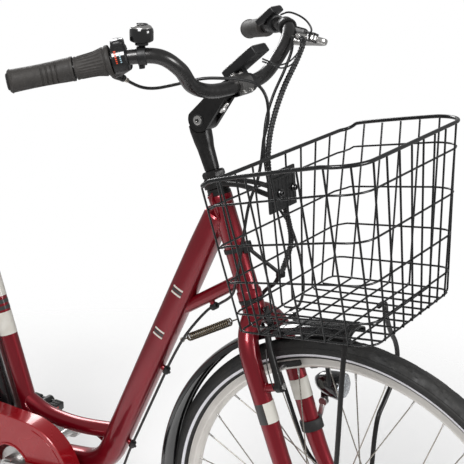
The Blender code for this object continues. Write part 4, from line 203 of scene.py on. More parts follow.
def smooth_route(points, per_span):
    """Points along a Catmull-Rom curve through the given points, as in the CAD model."""
    knots = [Vector(p) for p in points]
    knots = [2 * knots[0] - knots[1]] + knots + [2 * knots[-1] - knots[-2]]
    route = []
    for index in range(1, len(knots) - 2):
        before, start, end, after = knots[index - 1:index + 3]
        for step in range(per_span):
            t = step / per_span
            route.append(0.5 * (2 * start + (end - before) * t
                                + (2 * before - 5 * start + 4 * end - after) * t ** 2
                                + (3 * start - before - 3 * end + after) * t ** 3))
    return route + [knots[-2]]


def flow(points, step=0.006, values=None, cyclic=False):
    """A finely stepped smooth curve through unevenly spaced points, and values carried along it."""
    knots = [Vector(p) for p in points]
    if cyclic:
        ring = [knots[-1]] + knots + knots[:2]
    else:
        ring = [2 * knots[0] - knots[1]] + knots + [2 * knots[-1] - knots[-2]]
    out, carried = [], []
    for i in range(1, len(ring) - 2):
        p0, p1, p2, p3 = ring[i - 1:i + 3]
        t1 = sqrt(max((p1 - p0).length, 1e-7))
        t2 = t1 + sqrt(max((p2 - p1).length, 1e-7))
        t3 = t2 + sqrt(max((p3 - p2).length, 1e-7))
        count = max(1, int((p2 - p1).length / step))
        for k in range(count):
            t = t1 + (t2 - t1) * k / count
            a1 = p0 * (t1 - t) / t1 + p1 * t / t1
            a2 = p1 * (t2 - t) / (t2 - t1) + p2 * (t - t1) / (t2 - t1)
            a3 = p2 * (t3 - t) / (t3 - t2) + p3 * (t - t2) / (t3 - t2)
            b1 = a1 * (t2 - t) / t2 + a2 * t / t2
            b2 = a2 * (t3 - t) / (t3 - t1) + a3 * (t - t1) / (t3 - t1)
            out.append(b1 * (t2 - t) / (t2 - t1) + b2 * (t - t1) / (t2 - t1))
            if values:
                carried.append(values[i - 1] + (values[i % len(values)] - values[i - 1]) * k / count)
    if not cyclic:
        out.append(knots[-1])
        if values:
            carried.append(values[-1])
    return (out, carried) if values else out


def lengths_along(route):
    totals = [0.0]
    for here, there in zip(route, route[1:]):
        totals.append(totals[-1] + (there - here).length)
    return totals


def point_along(route, distance, totals=None):
    totals = totals or lengths_along(route)
    for index in range(len(route) - 1):
        if distance <= totals[index + 1] or index == len(route) - 2:
            share = (distance - totals[index]) / (totals[index + 1] - totals[index])
            direction = (route[index + 1] - route[index]).normalized()
            return route[index].lerp(route[index + 1], share), direction


def shares_of(route, count):
    """Points at equal distances along a route, without its end."""
    totals = lengths_along(route)
    return [point_along(route, totals[-1] * k / count, totals)[0] for k in range(count)]


def rounded_corner(before, corner, after, radius, steps):
    back = (before - corner).normalized()
    ahead = (after - corner).normalized()
    half = 0.5 * back.angle(ahead)
    reach = radius / tan(half)
    centre = corner + (back + ahead).normalized() * (radius / sin(half))
    start = corner + back * reach - centre
    across = (corner + ahead * reach - centre) - start
    side = (across - start * across.dot(start) / start.length_squared).normalized() * radius
    angles = [(pi - 2 * half) * step / steps for step in range(steps + 1)]
    return [centre + start * cos(angle) + side * sin(angle) for angle in angles]


def along(axis, origin):
    turn = UP.rotation_difference(Vector(axis).normalized()).to_matrix().to_4x4()
    return Matrix.Translation(origin) @ turn


def tilt(angle):
    """A turn that lifts the front by an angle."""
    return Matrix.Rotation(-angle, 3, "Y")


def turned_to(x, y, z):
    return Matrix((x, y, z)).transposed()


def arc(centre, radius, start, end, steps):
    return [centre + radius * ray(start + (end - start) * step / steps) for step in range(steps + 1)]


def hull_outline(first, first_radius, second, second_radius, steps):
    reach = second - first
    heading = atan2(reach.z, reach.x)
    lean = acos((first_radius - second_radius) / reach.length)
    return (arc(second, second_radius, heading - lean, heading + lean, steps)
            + arc(first, first_radius, heading + lean, heading - lean + 2 * pi, steps))


def squared(power, sides=48):
    """A round section pressed toward a square, as (across, up) pairs of unit reach."""
    points = []
    for k in range(sides):
        c, s = cos(2 * pi * k / sides), sin(2 * pi * k / sides)
        grow = (abs(c) ** power + abs(s) ** power) ** (-1 / power)
        points.append((c * grow, s * grow))
    return points


def mm(pairs, radius=0.0, height=0.0):
    """Millimetre pairs, counted from a base in metres."""
    return [(radius + r / 1000, height + h / 1000) for r, h in pairs]


STEM_PIVOT = steer(STEM_PIVOT_FORWARD, 0, STEM_PIVOT_HEIGHT)
STEM_REACH = ray(STEM_ANGLE)
CLAMP_CENTRE = STEM_PIVOT + STEM_LENGTH * STEM_REACH
LEFT_BAR = [CLAMP_CENTRE + Vector(p) for p in BAR_SHAPE]
BAR_ROUTE, FINE_BAR = (smooth_route(mirrored(LEFT_BAR[:0:-1]) + LEFT_BAR, count) for count in (2, 16))
HEAD_JOINT = steer(0, 0, HEAD_TOP - 0.016)
DOWN_CORNER = at(-0.515, 0, 0.315)
DOWN = (DOWN_CORNER - HEAD_JOINT).normalized()
OUTWARD = Vector((-DOWN.z, 0, DOWN.x))
STRUT_LOW, STRUT_HIGH = at(-0.366, 0, 0.654), at(-0.215, 0, 0.755)
STRUT = (STRUT_HIGH - STRUT_LOW).normalized()
STRUT_DOWN = Vector((STRUT.z, 0, -STRUT.x))
STRUT_MIDDLE = at(-0.2795, 0, 0.7115)
STRUT_CLIP = STRUT_MIDDLE + STRUT_DOWN * 0.0195
STAND_PIVOT = at(-STAND_BACK, 0, STAND_PIVOT_HEIGHT)


def bar_place(distance, side, route=BAR_ROUTE):
    """A point on the bar at a distance from its end, with the direction toward the middle."""
    totals = lengths_along(route)
    point, direction = point_along(route, distance if side < 0 else totals[-1] - distance, totals)
    return point, direction * (-side)


# Materials


SLOTS = {}


def node(tree, kind, inputs, **values):
    """A shader node with its inputs linked to sockets or set to values."""
    item = tree.nodes.new(kind)
    for key, value in values.items():
        setattr(item, key, value)
    for key, value in inputs.items():
        if isinstance(value, bpy.types.NodeSocket):
            tree.links.new(value, item.inputs[key])
        else:
            item.inputs[key].default_value = value
    return item


def finish(name, slot, colour, rough, metal, tone=None, vary=0.35, scale=30.0, grain=0.0, grain_size=1500.0,
           rough_vary=0.08, worn=None, worn_amount=0.6, coat=0.0, coat_rough=0.08, specks=None, sheen=0.0,
           stretch=None, clear=0.0):
    """A procedural finish: colour drift, worn edges, specks, uneven roughness and a fine grain."""
    made = bpy.data.materials.new(name)
    made.use_nodes = True
    tree = made.node_tree
    source = node(tree, "ShaderNodeTexCoord", {}).outputs["Object"]
    if stretch:
        source = node(tree, "ShaderNodeMapping", {"Scale": stretch, "Vector": source}).outputs["Vector"]

    def noise(size, detail=3.0):
        return node(tree, "ShaderNodeTexNoise", {"Scale": size, "Detail": detail, "Vector": source}).outputs["Fac"]

    def ranged(value, low, high, to_low, to_high):
        return node(tree, "ShaderNodeMapRange", {
            "Value": value, "From Min": low, "From Max": high, "To Min": to_low, "To Max": to_high}).outputs[0]

    def mixed(factor, first, second):
        first, second = ((*v, 1) if isinstance(v, tuple) else v for v in (first, second))
        return node(tree, "ShaderNodeMix", {0: factor, 6: first, 7: second}, data_type="RGBA").outputs[2]

    tone = tone or tuple(0.72 * c for c in colour)
    shade = mixed(ranged(noise(scale), 0.35, 0.65, 0.0, vary), colour, tone)
    if specks:
        speck_colour, amount, size = specks
        shade = mixed(ranged(noise(size, 1.0), 0.58, 0.68, 0.0, amount), shade, speck_colour)
    if worn:
        bevel = node(tree, "ShaderNodeBevel", {"Radius": 0.0008}, samples=4)
        shape = node(tree, "ShaderNodeNewGeometry", {})
        dot = node(tree, "ShaderNodeVectorMath", {0: bevel.outputs["Normal"], 1: shape.outputs["Normal"]},
                   operation="DOT_PRODUCT")
        both = node(tree, "ShaderNodeMath", {
            0: ranged(dot.outputs["Value"], 0.80, 0.985, 1.0, 0.0),
            1: ranged(noise(180.0), 0.42, 0.60, 0.0, worn_amount)}, operation="MULTIPLY")
        shade = mixed(both.outputs["Value"], shade, worn)
    surface = {
        "Base Color": shade,
        "Roughness": ranged(noise(scale * 4.0), 0.3, 0.7, max(rough - rough_vary, 0.03), rough + rough_vary),
        "Metallic": metal, "Specular IOR Level": 0.5, "Coat Weight": coat, "Coat Roughness": coat_rough,
        "Sheen Weight": sheen, "Transmission Weight": clear}
    if grain:
        surface["Normal"] = node(tree, "ShaderNodeBump", {
            "Strength": grain, "Distance": 0.0003, "Height": noise(grain_size, 2.0)}).outputs["Normal"]
    shader = tree.nodes["Principled BSDF"]
    for key, value in surface.items():
        if isinstance(value, bpy.types.NodeSocket):
            tree.links.new(value, shader.inputs[key])
        else:
            shader.inputs[key].default_value = value
    made.diffuse_color = (*colour, 1)
    SLOTS[made.name] = slot
    return made


# Name, slot, colour, roughness, metal, second tone, drift, its size, grain and its size
PAINT = finish("paint_red", "paint_red", (0.235, 0.0015, 0.011), 0.33, 0.55, (0.185, 0.001, 0.008), 0.5, 9,
               0.05, 5200, rough_vary=0.05, worn=(0.32, 0.03, 0.03), worn_amount=0.3, coat=0.75, coat_rough=0.05,
               specks=((0.33, 0.008, 0.022), 0.5, 3600))
CASE_RED = finish("case_red", "paint_red", (0.36, 0.002, 0.008), 0.30, 0.2, (0.29, 0.0015, 0.007), 0.5, 7,
                  0.04, 2600, worn=(0.45, 0.05, 0.05), worn_amount=0.4, coat=0.6)
SATIN = finish("satin_black", "black_metal", (0.011, 0.0105, 0.0105), 0.34, 0.25, (0.019, 0.018, 0.0175), 0.6, 45,
               0.10, 2600, worn=(0.07, 0.068, 0.066), worn_amount=0.4)
BAR = finish("bar_satin", "black_metal", (0.045, 0.044, 0.044), 0.30, 0.75, (0.060, 0.058, 0.057), 0.6, 38,
             0.10, 2600, worn=(0.16, 0.155, 0.15), worn_amount=0.4, coat=0.3)
CAST = finish("cast_grey", "silver", (0.21, 0.205, 0.20), 0.30, 0.8, (0.15, 0.147, 0.143), 0.6, 70,
              0.15, 2200, worn=(0.42, 0.41, 0.40))
WIRE_BLACK = finish("wire_black", "black_metal", (0.006, 0.0065, 0.007), 0.26, 0.2, (0.011, 0.0115, 0.012), 0.6, 60,
                    0.12, 1900, worn=(0.05, 0.05, 0.05), worn_amount=0.3, coat=0.4, coat_rough=0.12)
PLASTIC = finish("black_plastic", "black_plastic", (0.008, 0.008, 0.0085), 0.42, 0, (0.014, 0.014, 0.0145), 0.6, 70,
                 0.22, 2300, worn=(0.045, 0.045, 0.045), worn_amount=0.45)
GLOSS = finish("gloss_black", "gloss_black", (0.004, 0.004, 0.0045), 0.16, 0, (0.008, 0.008, 0.0085), 0.5, 35,
               0.04, 700, rough_vary=0.04, worn=(0.045, 0.045, 0.045), worn_amount=0.3, coat=0.9, coat_rough=0.04)
GRIP = finish("grip_rubber", "rubber", (0.040, 0.036, 0.033), 0.62, 0, (0.022, 0.020, 0.0185), 0.75, 38,
              0.55, 1500, worn=(0.10, 0.092, 0.085), worn_amount=0.5, specks=((0.085, 0.078, 0.070), 0.55, 900))
RUBBER = finish("rubber", "rubber", (0.013, 0.0125, 0.0125), 0.64, 0, (0.022, 0.021, 0.020), 0.6, 50,
                0.35, 1700, worn=(0.06, 0.057, 0.055), worn_amount=0.4)
TYRE = finish("tyre_rubber", "tyre", (0.014, 0.014, 0.0145), 0.58, 0, (0.024, 0.023, 0.021), 0.7, 22,
              0.35, 1400, rough_vary=0.12, specks=((0.045, 0.041, 0.035), 0.35, 420))
STRIPE = finish("tyre_stripe", "tyre", (0.80, 0.79, 0.84), 0.42, 0, (0.66, 0.65, 0.66), 0.5, 40, 0.15, 2200)
SILVER = finish("silver", "silver", (0.70, 0.69, 0.67), 0.26, 1, (0.58, 0.57, 0.56), 0.5, 60,
                0.04, 2400, worn=(0.85, 0.84, 0.82), worn_amount=0.5)
BRUSHED = finish("brushed_alloy", "silver", (0.62, 0.61, 0.60), 0.36, 1, (0.50, 0.49, 0.48), 0.5, 50,
                 0.35, 1500, stretch=(1, 1, 6))
RIM_ALLOY = finish("rim_alloy", "wheel_silver", (0.74, 0.71, 0.67), 0.34, 0.55, (0.66, 0.63, 0.59), 0.5, 26,
                   0.18, 2100, rough_vary=0.06)
STEEL = finish("steel", "steel", (0.50, 0.47, 0.42), 0.30, 1, (0.36, 0.33, 0.29), 0.6, 90, 0.06, 2600)
SPRING_STEEL = finish("spring_steel", "spring_steel", (0.20, 0.165, 0.115), 0.34, 0.9, (0.09, 0.075, 0.055), 0.7,
                      160, 0.2, 2400, worn=(0.42, 0.38, 0.30))
CHAIN_STEEL = finish("chain_steel", "spring_steel", (0.22, 0.20, 0.17), 0.38, 0.95, (0.12, 0.105, 0.09), 0.7,
                     120, 0.2, 2000)
CABLE = finish("cable_sheath", "black_plastic", (0.006, 0.006, 0.0065), 0.36, 0, (0.011, 0.011, 0.011), 0.6, 120,
               0.15, 2600, coat=0.25, coat_rough=0.2)
WRAP = finish("wire_wrap", "black_plastic", (0.006, 0.006, 0.0065), 0.44, 0, (0.013, 0.013, 0.0135), 0.7, 110,
              0.5, 1300, worn=(0.05, 0.05, 0.05), worn_amount=0.4)
CREAM = finish("decal_cream", "paint_red", (0.74, 0.72, 0.66), 0.40, 0, (0.60, 0.57, 0.50), 0.5, 60,
               0.08, 2400, coat=0.4)
DECAL_GREY = finish("decal_grey", "paint_red", (0.040, 0.038, 0.037), 0.42, 0, (0.030, 0.029, 0.028), 0.5, 60,
                    0.08, 2400, coat=0.4)
FACET = finish("shifter_facet", "gloss_black", (0.30, 0.30, 0.31), 0.20, 0.2, (0.42, 0.42, 0.43), 0.6, 55,
               0.05, 1500, coat=0.8)
MARK_RED = finish("mark_red", "gloss_black", (0.80, 0.075, 0.02), 0.4, 0, None, 0.4, 120, 0.06)
MARK_BLUE = finish("mark_blue", "gloss_black", (0.40, 0.58, 0.66), 0.4, 0, None, 0.4, 120, 0.06)
SCREEN = finish("display_screen", "gloss_black", (0.012, 0.014, 0.015), 0.12, 0, (0.045, 0.05, 0.05), 0.5, 25,
                0.02, 300, coat=1.0, coat_rough=0.03)
SADDLE = finish("saddle_cover", "saddle", (0.014, 0.0125, 0.0115), 0.50, 0, (0.024, 0.0215, 0.0195), 0.7, 28,
                0.65, 760, rough_vary=0.1, worn=(0.06, 0.055, 0.05), worn_amount=0.5, sheen=0.08)
THREAD = finish("saddle_thread", "saddle", (0.16, 0.15, 0.14), 0.75, 0, None, 0.5, 240, 0.6, 2400)
LENS = finish("lamp_lens", "silver", (0.86, 0.88, 0.90), 0.07, 0, (0.78, 0.81, 0.84), 0.4, 60,
              0.15, 420, rough_vary=0.03, clear=0.82)
REFLECTOR = finish("lamp_reflector", "silver", (0.86, 0.86, 0.87), 0.10, 1, (0.7, 0.7, 0.72), 0.5, 90,
                   0.2, 500, rough_vary=0.04)
LENS_RED = finish("lens_red", "lens_red", (0.46, 0.006, 0.008), 0.14, 0, (0.30, 0.004, 0.006), 0.6, 150,
                  0.3, 420, coat=0.8)
BATTERY = finish("battery_shell", "gloss_black", (0.007, 0.007, 0.0075), 0.22, 0, (0.012, 0.012, 0.0125), 0.6, 24,
                 0.10, 1800, worn=(0.08, 0.08, 0.08), coat=0.5)


# Shapes


PIECES = []


class Piece:
    """Gathers closed shapes of one finish, which become one object on a body."""

    def __init__(self, name, look, body, *nodes, smooth=38, slot=None, listed=True):
        self.name, self.look, self.body, self.nodes, self.smooth = name, look, body, nodes, smooth
        self.slot = slot or SLOTS[look.name]
        self.verts, self.faces, self.rooms = [], [], []
        self.bend = self.cord = self.fill = None
        if listed:
            PIECES.append(self)

    def add(self, verts, faces):
        base = len(self.verts)
        self.verts += [tuple(v) for v in verts]
        self.faces += [tuple(i + base for i in face) for face in faces]

    def grid(self, rows, cyclic_rows=False, cyclic_columns=True, caps=True):
        """Rows of points joined into a skin, with its open ends closed."""
        count, wide = len(rows), len(rows[0])
        faces = []
        for r in range(count if cyclic_rows else count - 1):
            nxt = (r + 1) % count
            for c in range(wide if cyclic_columns else wide - 1):
                d = (c + 1) % wide
                faces.append((r * wide + c, r * wide + d, nxt * wide + d, nxt * wide + c))
        if caps and not cyclic_rows:
            faces.append(tuple(range(wide - 1, -1, -1)))
            faces.append(tuple((count - 1) * wide + c for c in range(wide)))
        self.add([p for row in rows for p in row], faces)

    def sweep(self, route, radius, radii=None, sides=20, cyclic=False, section=None, up=None, chamfer=0.12):
        """A tube along a route; up holds a shaped section level."""
        route = [Vector(p) for p in route]
        radii = list(radii) if radii else [1.0] * len(route)
        if not cyclic and chamfer:
            first, last = (step.normalized() * min(radius * chamfer, 0.4 * step.length)
                           for step in (route[1] - route[0], route[-2] - route[-1]))
            route = [route[0], route[0] + first] + route[1:-1] + [route[-1] + last, route[-1]]
            radii = ([radii[0] * (1 - chamfer), radii[0]] + radii[1:-1]
                     + [radii[-1], radii[-1] * (1 - chamfer)])
        count = len(route)
        shape = section or [(cos(2 * pi * k / sides), sin(2 * pi * k / sides)) for k in range(sides)]
        tangents = []
        for i in range(count):
            before = route[i - 1] if i or cyclic else route[0]
            after = route[(i + 1) % count] if i < count - 1 or cyclic else route[-1]
            tangents.append((after - before).normalized())
        normals = []
        for i, tangent in enumerate(tangents):
            if up is not None:
                normal = Vector(up)
            elif i:
                normal = tangents[i - 1].rotation_difference(tangent) @ normals[-1]
            else:
                normal = tangent.orthogonal()
            normals.append((normal - tangent * normal.dot(tangent)).normalized())
        twist = 0.0
        if cyclic and up is None:
            closing = tangents[-1].rotation_difference(tangents[0]) @ normals[-1]
            twist = atan2(closing.cross(normals[0]).dot(tangents[0]), closing.dot(normals[0]))
        rows = []
        for i, tangent in enumerate(tangents):
            normal = Matrix.Rotation(twist * i / count, 3, tangent) @ normals[i]
            side = tangent.cross(normal)
            rows.append([route[i] + radius * radii[i] * (a * side + b * normal) for a, b in shape])
        self.grid(rows, cyclic_rows=cyclic)

    def lathe(self, profile, origin, axis, steps=64, closed=True, sweep=2 * pi, spin=0.0, ripple=None):
        """A profile of (radius, height) turned round an axis."""
        matrix = along(axis, origin)
        full = sweep > 2 * pi - 1e-6
        rows = []
        for k in range(steps if full else steps + 1):
            angle = spin + sweep * k / steps
            row = []
            for j, (radius, height) in enumerate(profile):
                reach = radius + (ripple(k, j) if ripple else 0.0)
                row.append(matrix @ Vector((reach * cos(angle), reach * sin(angle), height)))
            rows.append(row)
        self.grid(rows, cyclic_rows=full, cyclic_columns=closed, caps=not full)

    def turned(self, pairs, origin, axis, steps=64, radius=0.0, height=0.0, ripple=None):
        """A solid turned round an axis, closed on it where the pairs don't reach it."""
        profile = mm(pairs, radius, height)
        first, last = ([(0.0, p[1])] if p[0] > 0 else [] for p in (profile[0], profile[-1]))
        self.lathe(first + profile + last, origin, axis, steps, closed=False, ripple=ripple)

    def rod(self, start, end, radius, end_radius=None, sides=32, edge=0.0006):
        start, end = Vector(start), Vector(end)
        length = (end - start).length
        last = radius if end_radius is None else end_radius
        edge = min(edge, 0.3 * length, 0.3 * radius, 0.3 * last)
        profile = [(0.0, 0.0), (radius - edge, 0.0), (radius, edge), (last, length - edge),
                   (last - edge, length), (0.0, length)]
        self.lathe(profile, start, end - start, sides, closed=False)

    def pin(self, middle, axis, half, radius, **more):
        self.rod(middle - axis * half, middle + axis * half, radius, **more)

    def collar(self, middle, axis, bore, radius, half, edge=0.0006, rise=0.0006, steps=44):
        """A ring with broken outer edges."""
        wall = [(bore, -half), (radius - edge, -half), (radius, rise - half)]
        self.lathe(both_ways(wall), middle, axis, steps)

    def sleeve(self, start, end, radius, wall=0.0004):
        """A thin closed sleeve round a straight tube."""
        length = (end - start).length
        self.lathe([(radius, 0.0), (radius, length), (radius - wall, length), (radius - wall, 0.0)],
                   start, end - start, 48)

    def shape(self, made, matrix):
        made.verts.ensure_lookup_table()
        made.verts.index_update()
        self.add([matrix @ v.co for v in made.verts], [[v.index for v in f.verts] for f in made.faces])
        made.free()

    def box(self, centre, size, turn=Matrix.Identity(3), bevel=0.0006, segments=3):
        made = bmesh.new()
        bmesh.ops.create_cube(made, size=1.0)
        bmesh.ops.scale(made, verts=made.verts, vec=size)
        bmesh.ops.bevel(made, geom=made.edges, offset=bevel, segments=segments, profile=0.5,
                        affect="EDGES", clamp_overlap=True)
        self.shape(made, Matrix.Translation(centre) @ turn.to_4x4())

    def plate(self, outline, y_from, y_to, bevel=0.0005, segments=2):
        """A flat outline in the side view between two planes across the bicycle."""
        made = bmesh.new()
        low, high = ([made.verts.new((p[0], y, p[2])) for p in outline] for y in sorted((y_from, y_to)))
        made.faces.new(low)
        made.faces.new(high[::-1])
        for k in range(len(outline)):
            made.faces.new((low[k - 1], high[k - 1], high[k], low[k]))
        if bevel:
            rims = [e for e in made.edges if abs(e.verts[0].co.y - e.verts[1].co.y) < 1e-7]
            bmesh.ops.bevel(made, geom=rims, offset=bevel, segments=segments, profile=0.5,
                            affect="EDGES", clamp_overlap=True)
        self.shape(made, Matrix.Identity(4))

    def ring_plate(self, outer, inner, y_from, y_to):
        """A closed band between two outlines of equal count in the side view."""
        rows = [[Vector((p[0], y, p[2])) for p, y in ((a, y_from), (a, y_to), (b, y_to), (b, y_from))]
                for a, b in zip(outer, inner)]
        self.grid(rows, cyclic_rows=True)

    def weld(self, place, main, main_radius, branch, branch_radius, bead=0.0017, ripples=46):
        """A rippled bead where a branch tube meets a main tube."""
        main, branch = Vector(main).normalized(), Vector(branch).normalized()
        first = branch.orthogonal().normalized()
        second = branch.cross(first)
        flat = branch - main * branch.dot(main)
        route, shares = [], []
        count = ripples * 4
        for k in range(count):
            angle = 2 * pi * k / count
            offset = branch_radius * (cos(angle) * first + sin(angle) * second)
            lying = offset - main * offset.dot(main)
            dot = lying.dot(flat)
            room = max(dot * dot - flat.length_squared * (lying.length_squared - main_radius ** 2), 0.0)
            reach = (-dot + sqrt(room)) / flat.length_squared
            route.append(Vector(place) + offset + reach * branch)
            shares.append(1.0 + 0.22 * sin(ripples * angle))
        self.sweep(route, bead, radii=shares, sides=8, cyclic=True)

    def patch(self, route, start, end, radius, first, last, level, section=None, sides=10):
        """A thin closed patch on a tube: a stretch of its route, and angles round it from the level."""
        totals = lengths_along(route)
        rows = []
        for k in range(9):
            point, heading = point_along(route, start + (end - start) * k / 8, totals)
            normal = (level - heading * level.dot(heading)).normalized()
            side = heading.cross(normal)
            row = []
            for lift, places in ((0.0004, range(sides + 1)), (-0.0005, range(sides, -1, -1))):
                for s in places:
                    angle = first + (last - first) * s / sides
                    a, b = sin(angle), cos(angle)
                    grow = (abs(a) ** section + abs(b) ** section) ** (-1 / section) if section else 1.0
                    row.append(point + (radius * grow + lift) * (a * side + b * normal))
            rows.append(row)
        self.grid(rows)

    def build(self):
        made = bmesh.new()
        verts = [made.verts.new(v) for v in self.verts]
        for face in self.faces:
            try:
                made.faces.new(dict.fromkeys(verts[i] for i in face))
            except ValueError:
                pass
        bmesh.ops.remove_doubles(made, verts=made.verts, dist=2e-7)
        bmesh.ops.dissolve_degenerate(made, edges=made.edges, dist=1e-8)
        loose = [v for v in made.verts if not v.link_faces]
        bmesh.ops.delete(made, geom=loose, context="VERTS")
        bmesh.ops.recalc_face_normals(made, faces=made.faces)
        mesh = bpy.data.meshes.new(self.name)
        made.to_mesh(mesh)
        made.free()
        mesh.shade_smooth()
        mesh.set_sharp_from_angle(angle=radians(self.smooth))
        mesh.materials.append(self.look)
        item = bpy.data.objects.new(self.name, mesh)
        scene.collection.objects.link(item)
        for room in self.rooms:
            carve(item, room.build())
        return item

    def done(self):
        item = self.build()
        if self.bend:
            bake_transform(item)
        else:
            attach(item, self.body)
        if self.nodes:
            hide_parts(*self.nodes)


def both_ways(profile):
    """A profile and its mirror image, back to the start."""
    return profile + [(r, -h) for r, h in reversed(profile) if h]


def carve(item, cutter):
    """Takes the cutter's form out of a mesh object for good."""
    hole = item.modifiers.new("room", "BOOLEAN")
    hole.operation, hole.solver, hole.object = "DIFFERENCE", "EXACT", cutter
    bpy.context.view_layer.update()
    whole = item.evaluated_get(bpy.context.evaluated_depsgraph_get())
    mesh = bpy.data.meshes.new_from_object(whole)
    item.modifiers.remove(hole)
    item.data = mesh
    mesh.set_sharp_from_angle(angle=radians(38))
    bpy.data.objects.remove(cutter)


# Frame


def build_frame():
    clips = Piece("frame_clips", PLASTIC, "frame")
    red = Piece("frame_tubes", PAINT, "frame", "frame")
    head = mm([(-3.5, -4), (1.2, -4), (1.9, -3.2), (1.9, 8), (1.2, 9.5), (0, 11)], HEAD_RADIUS, HEAD_BOTTOM)
    head += mm([(0, -14), (0.8, -12.5), (1.3, -11), (1.3, -1.2), (0.7, -0.3), (-3.5, -0.3)],
               HEAD_RADIUS, HEAD_TOP)
    red.lathe(head, steer(0, 0, 0), STEER_UP, 72)
    low_end = BRACKET - 0.007 * UP
    bend = rounded_corner(HEAD_JOINT, DOWN_CORNER, low_end, DOWN_TUBE_BEND, 14)
    knots = [HEAD_JOINT.lerp(bend[0], t) for t in (0.03, 0.16, 0.35, 0.6, 0.85)] + bend
    knots += [bend[-1].lerp(low_end, 0.5), low_end]
    shares = [0.90, 0.98, 1.0, 1.0, 1.0] + [1.0 - 0.06 * k / 14 for k in range(15)] + [0.92, 0.90]
    route, radii = flow(knots, 0.008, shares)
    red.sweep(route, DOWN_TUBE_DRAWN, radii=radii, section=squared(2.5, 56), up=LEFT)
    red.rod(BRACKET, seat(SEAT_TUBE_LENGTH, 0), SEAT_TUBE_RADIUS, sides=48, edge=0.001)
    red.sleeve(seat(SEAT_TUBE_LENGTH - 0.030, 0), seat(SEAT_TUBE_LENGTH - 0.0005, 0),
               SEAT_TUBE_RADIUS + 0.0012, 0.002)
    brace = [at(x, 0, z) for x, z in ((-0.720, 0.400), (-0.664, 0.380), (-0.626, 0.376), (-0.575, 0.378),
                                      (-0.485, 0.393))]
    red.sweep(flow(brace, 0.006), BRACE_RADIUS, sides=40)
    red.rod(STRUT_LOW, STRUT_HIGH, STRUT_RADIUS, sides=40)
    red.pin(BRACKET, LEFT, BRACKET_SHELL_HALF, BRACKET_SHELL_RADIUS, sides=56, edge=0.001)
    red.plate([at(-0.560, 0, 0.379), at(-0.520, 0, 0.388), at(-0.5, 0, 0.35)], -0.002, 0.002)

    dropout = REAR_DROPOUT_INNER + 0.5 * DROPOUT_PLATE
    for side in BOTH:
        lower = [(-0.690, 0.022, 0.293), (-0.765, 0.0312, 0.299), (-0.840, 0.0450, 0.309), (-1.000, 0.0565, 0.327),
                 (0.025 - WHEELBASE, dropout, WHEEL_RADIUS - 0.004)]
        red.sweep(flow([at(x, side * y, z) for x, y, z in lower], 0.01), STAY_RADIUS, sides=28)
        upper = [seat(0.450, 0.004, side * 0.010), seat(0.444, 0.009, side * 0.045),
                 at(STAY_EYE[0], side * STAY_EYE[1], STAY_EYE[2]),
                 at(0.022 - WHEELBASE, side * dropout, WHEEL_RADIUS + 0.016)]
        red.sweep(flow(upper, 0.01), STAY_RADIUS, sides=28)
        tip = [REAR_AXLE + Vector((0.045, 0, 0.026)), REAR_AXLE + 0.020 * UP]
        tip += arc(REAR_AXLE, 0.018, radians(110), radians(250), 14)
        tip += [REAR_AXLE - 0.019 * UP, REAR_AXLE + Vector((0.046, 0, -0.012))]
        near = side * REAR_DROPOUT_INNER
        red.plate(tip, near, near + side * DROPOUT_PLATE, bevel=0.001)
    bridge = MUDGUARD_RADIUS + MUDGUARD_RISE + MUDGUARD_WALL + GAP + 0.0055
    for degrees, half in ((46.5, 0.052), (-6.0, 0.044)):
        red.pin(rear(bridge, radians(degrees)), LEFT, half, 0.0055)
    red.box(STAND_PIVOT + Vector((0.003, 0, 0.032)), (0.044, 0.080, 0.010), bevel=0.001)
    red.box(STAND_PIVOT + Vector((0.003, 0, 0.009)), (0.028, 0.028, 0.044), bevel=0.0015)

    for share in CLIP_SHARES:
        foot = HEAD_JOINT.lerp(DOWN_CORNER, share)
        red.rod(foot + OUTWARD * 0.02, foot + OUTWARD * (DOWN_TUBE_RADIUS + 0.0052), 0.0052)
        middle = foot + OUTWARD * CLIP_REACH
        clips.collar(middle, DOWN, *CLIP_RING, rise=0.0010, steps=28)
        clips.rod(middle + OUTWARD * 0.0045, middle + OUTWARD * 0.0085, 0.0024, sides=12)
    red.rod(STRUT_MIDDLE + STRUT_DOWN * 0.008, STRUT_CLIP - STRUT_DOWN * 0.004, 0.0050)
    clips.collar(STRUT_CLIP, STRUT, *CLIP_RING, rise=0.0010, steps=28)
    eye = at(-0.3395, 0, 0.6235)
    red.rod(eye - OUTWARD * 0.014, eye - OUTWARD * 0.0065, 0.0046)

    beads = Piece("frame_welds", PAINT, "frame")
    beads.weld(HEAD_JOINT, STEER_UP, HEAD_RADIUS, DOWN, DOWN_TUBE_RADIUS, 0.0020, 64)
    beads.weld(STRUT_HIGH, STEER_UP, HEAD_RADIUS * 0.30, -STRUT, STRUT_RADIUS, 0.0016, 34)
    beads.weld(STRUT_LOW - STRUT * 0.004, DOWN, DOWN_TUBE_RADIUS * 0.98, STRUT, STRUT_RADIUS, 0.0017, 34)
    beads.weld(seat(0.104, 0), SEAT_UP, SEAT_TUBE_RADIUS, brace[1] - brace[0], BRACE_RADIUS, ripples=42)
    beads.weld(BRACKET, LEFT, BRACKET_SHELL_RADIUS, SEAT_UP, SEAT_TUBE_RADIUS)
    beads.weld(low_end, LEFT, BRACKET_SHELL_RADIUS, bend[-1] - low_end, DOWN_TUBE_RADIUS * 0.9, ripples=56)

    cups = Piece("headset_cups", SATIN, "frame", slot="black_metal")
    for pairs, height in (
            ([(-3.5, 0), (1, 0), (1, 4), (-0.2, 5.2), (-0.2, 10.5), (-1.4, 12), (-3.5, 12)], HEAD_TOP),
            ([(-3.5, 0), (2.2, 0), (2.5, -0.8), (1.8, -6), (-3.5, -6.6)], HEAD_BOTTOM - 0.0042)):
        cups.lathe(mm(pairs, HEAD_RADIUS, height), steer(0, 0, 0), STEER_UP, 56)

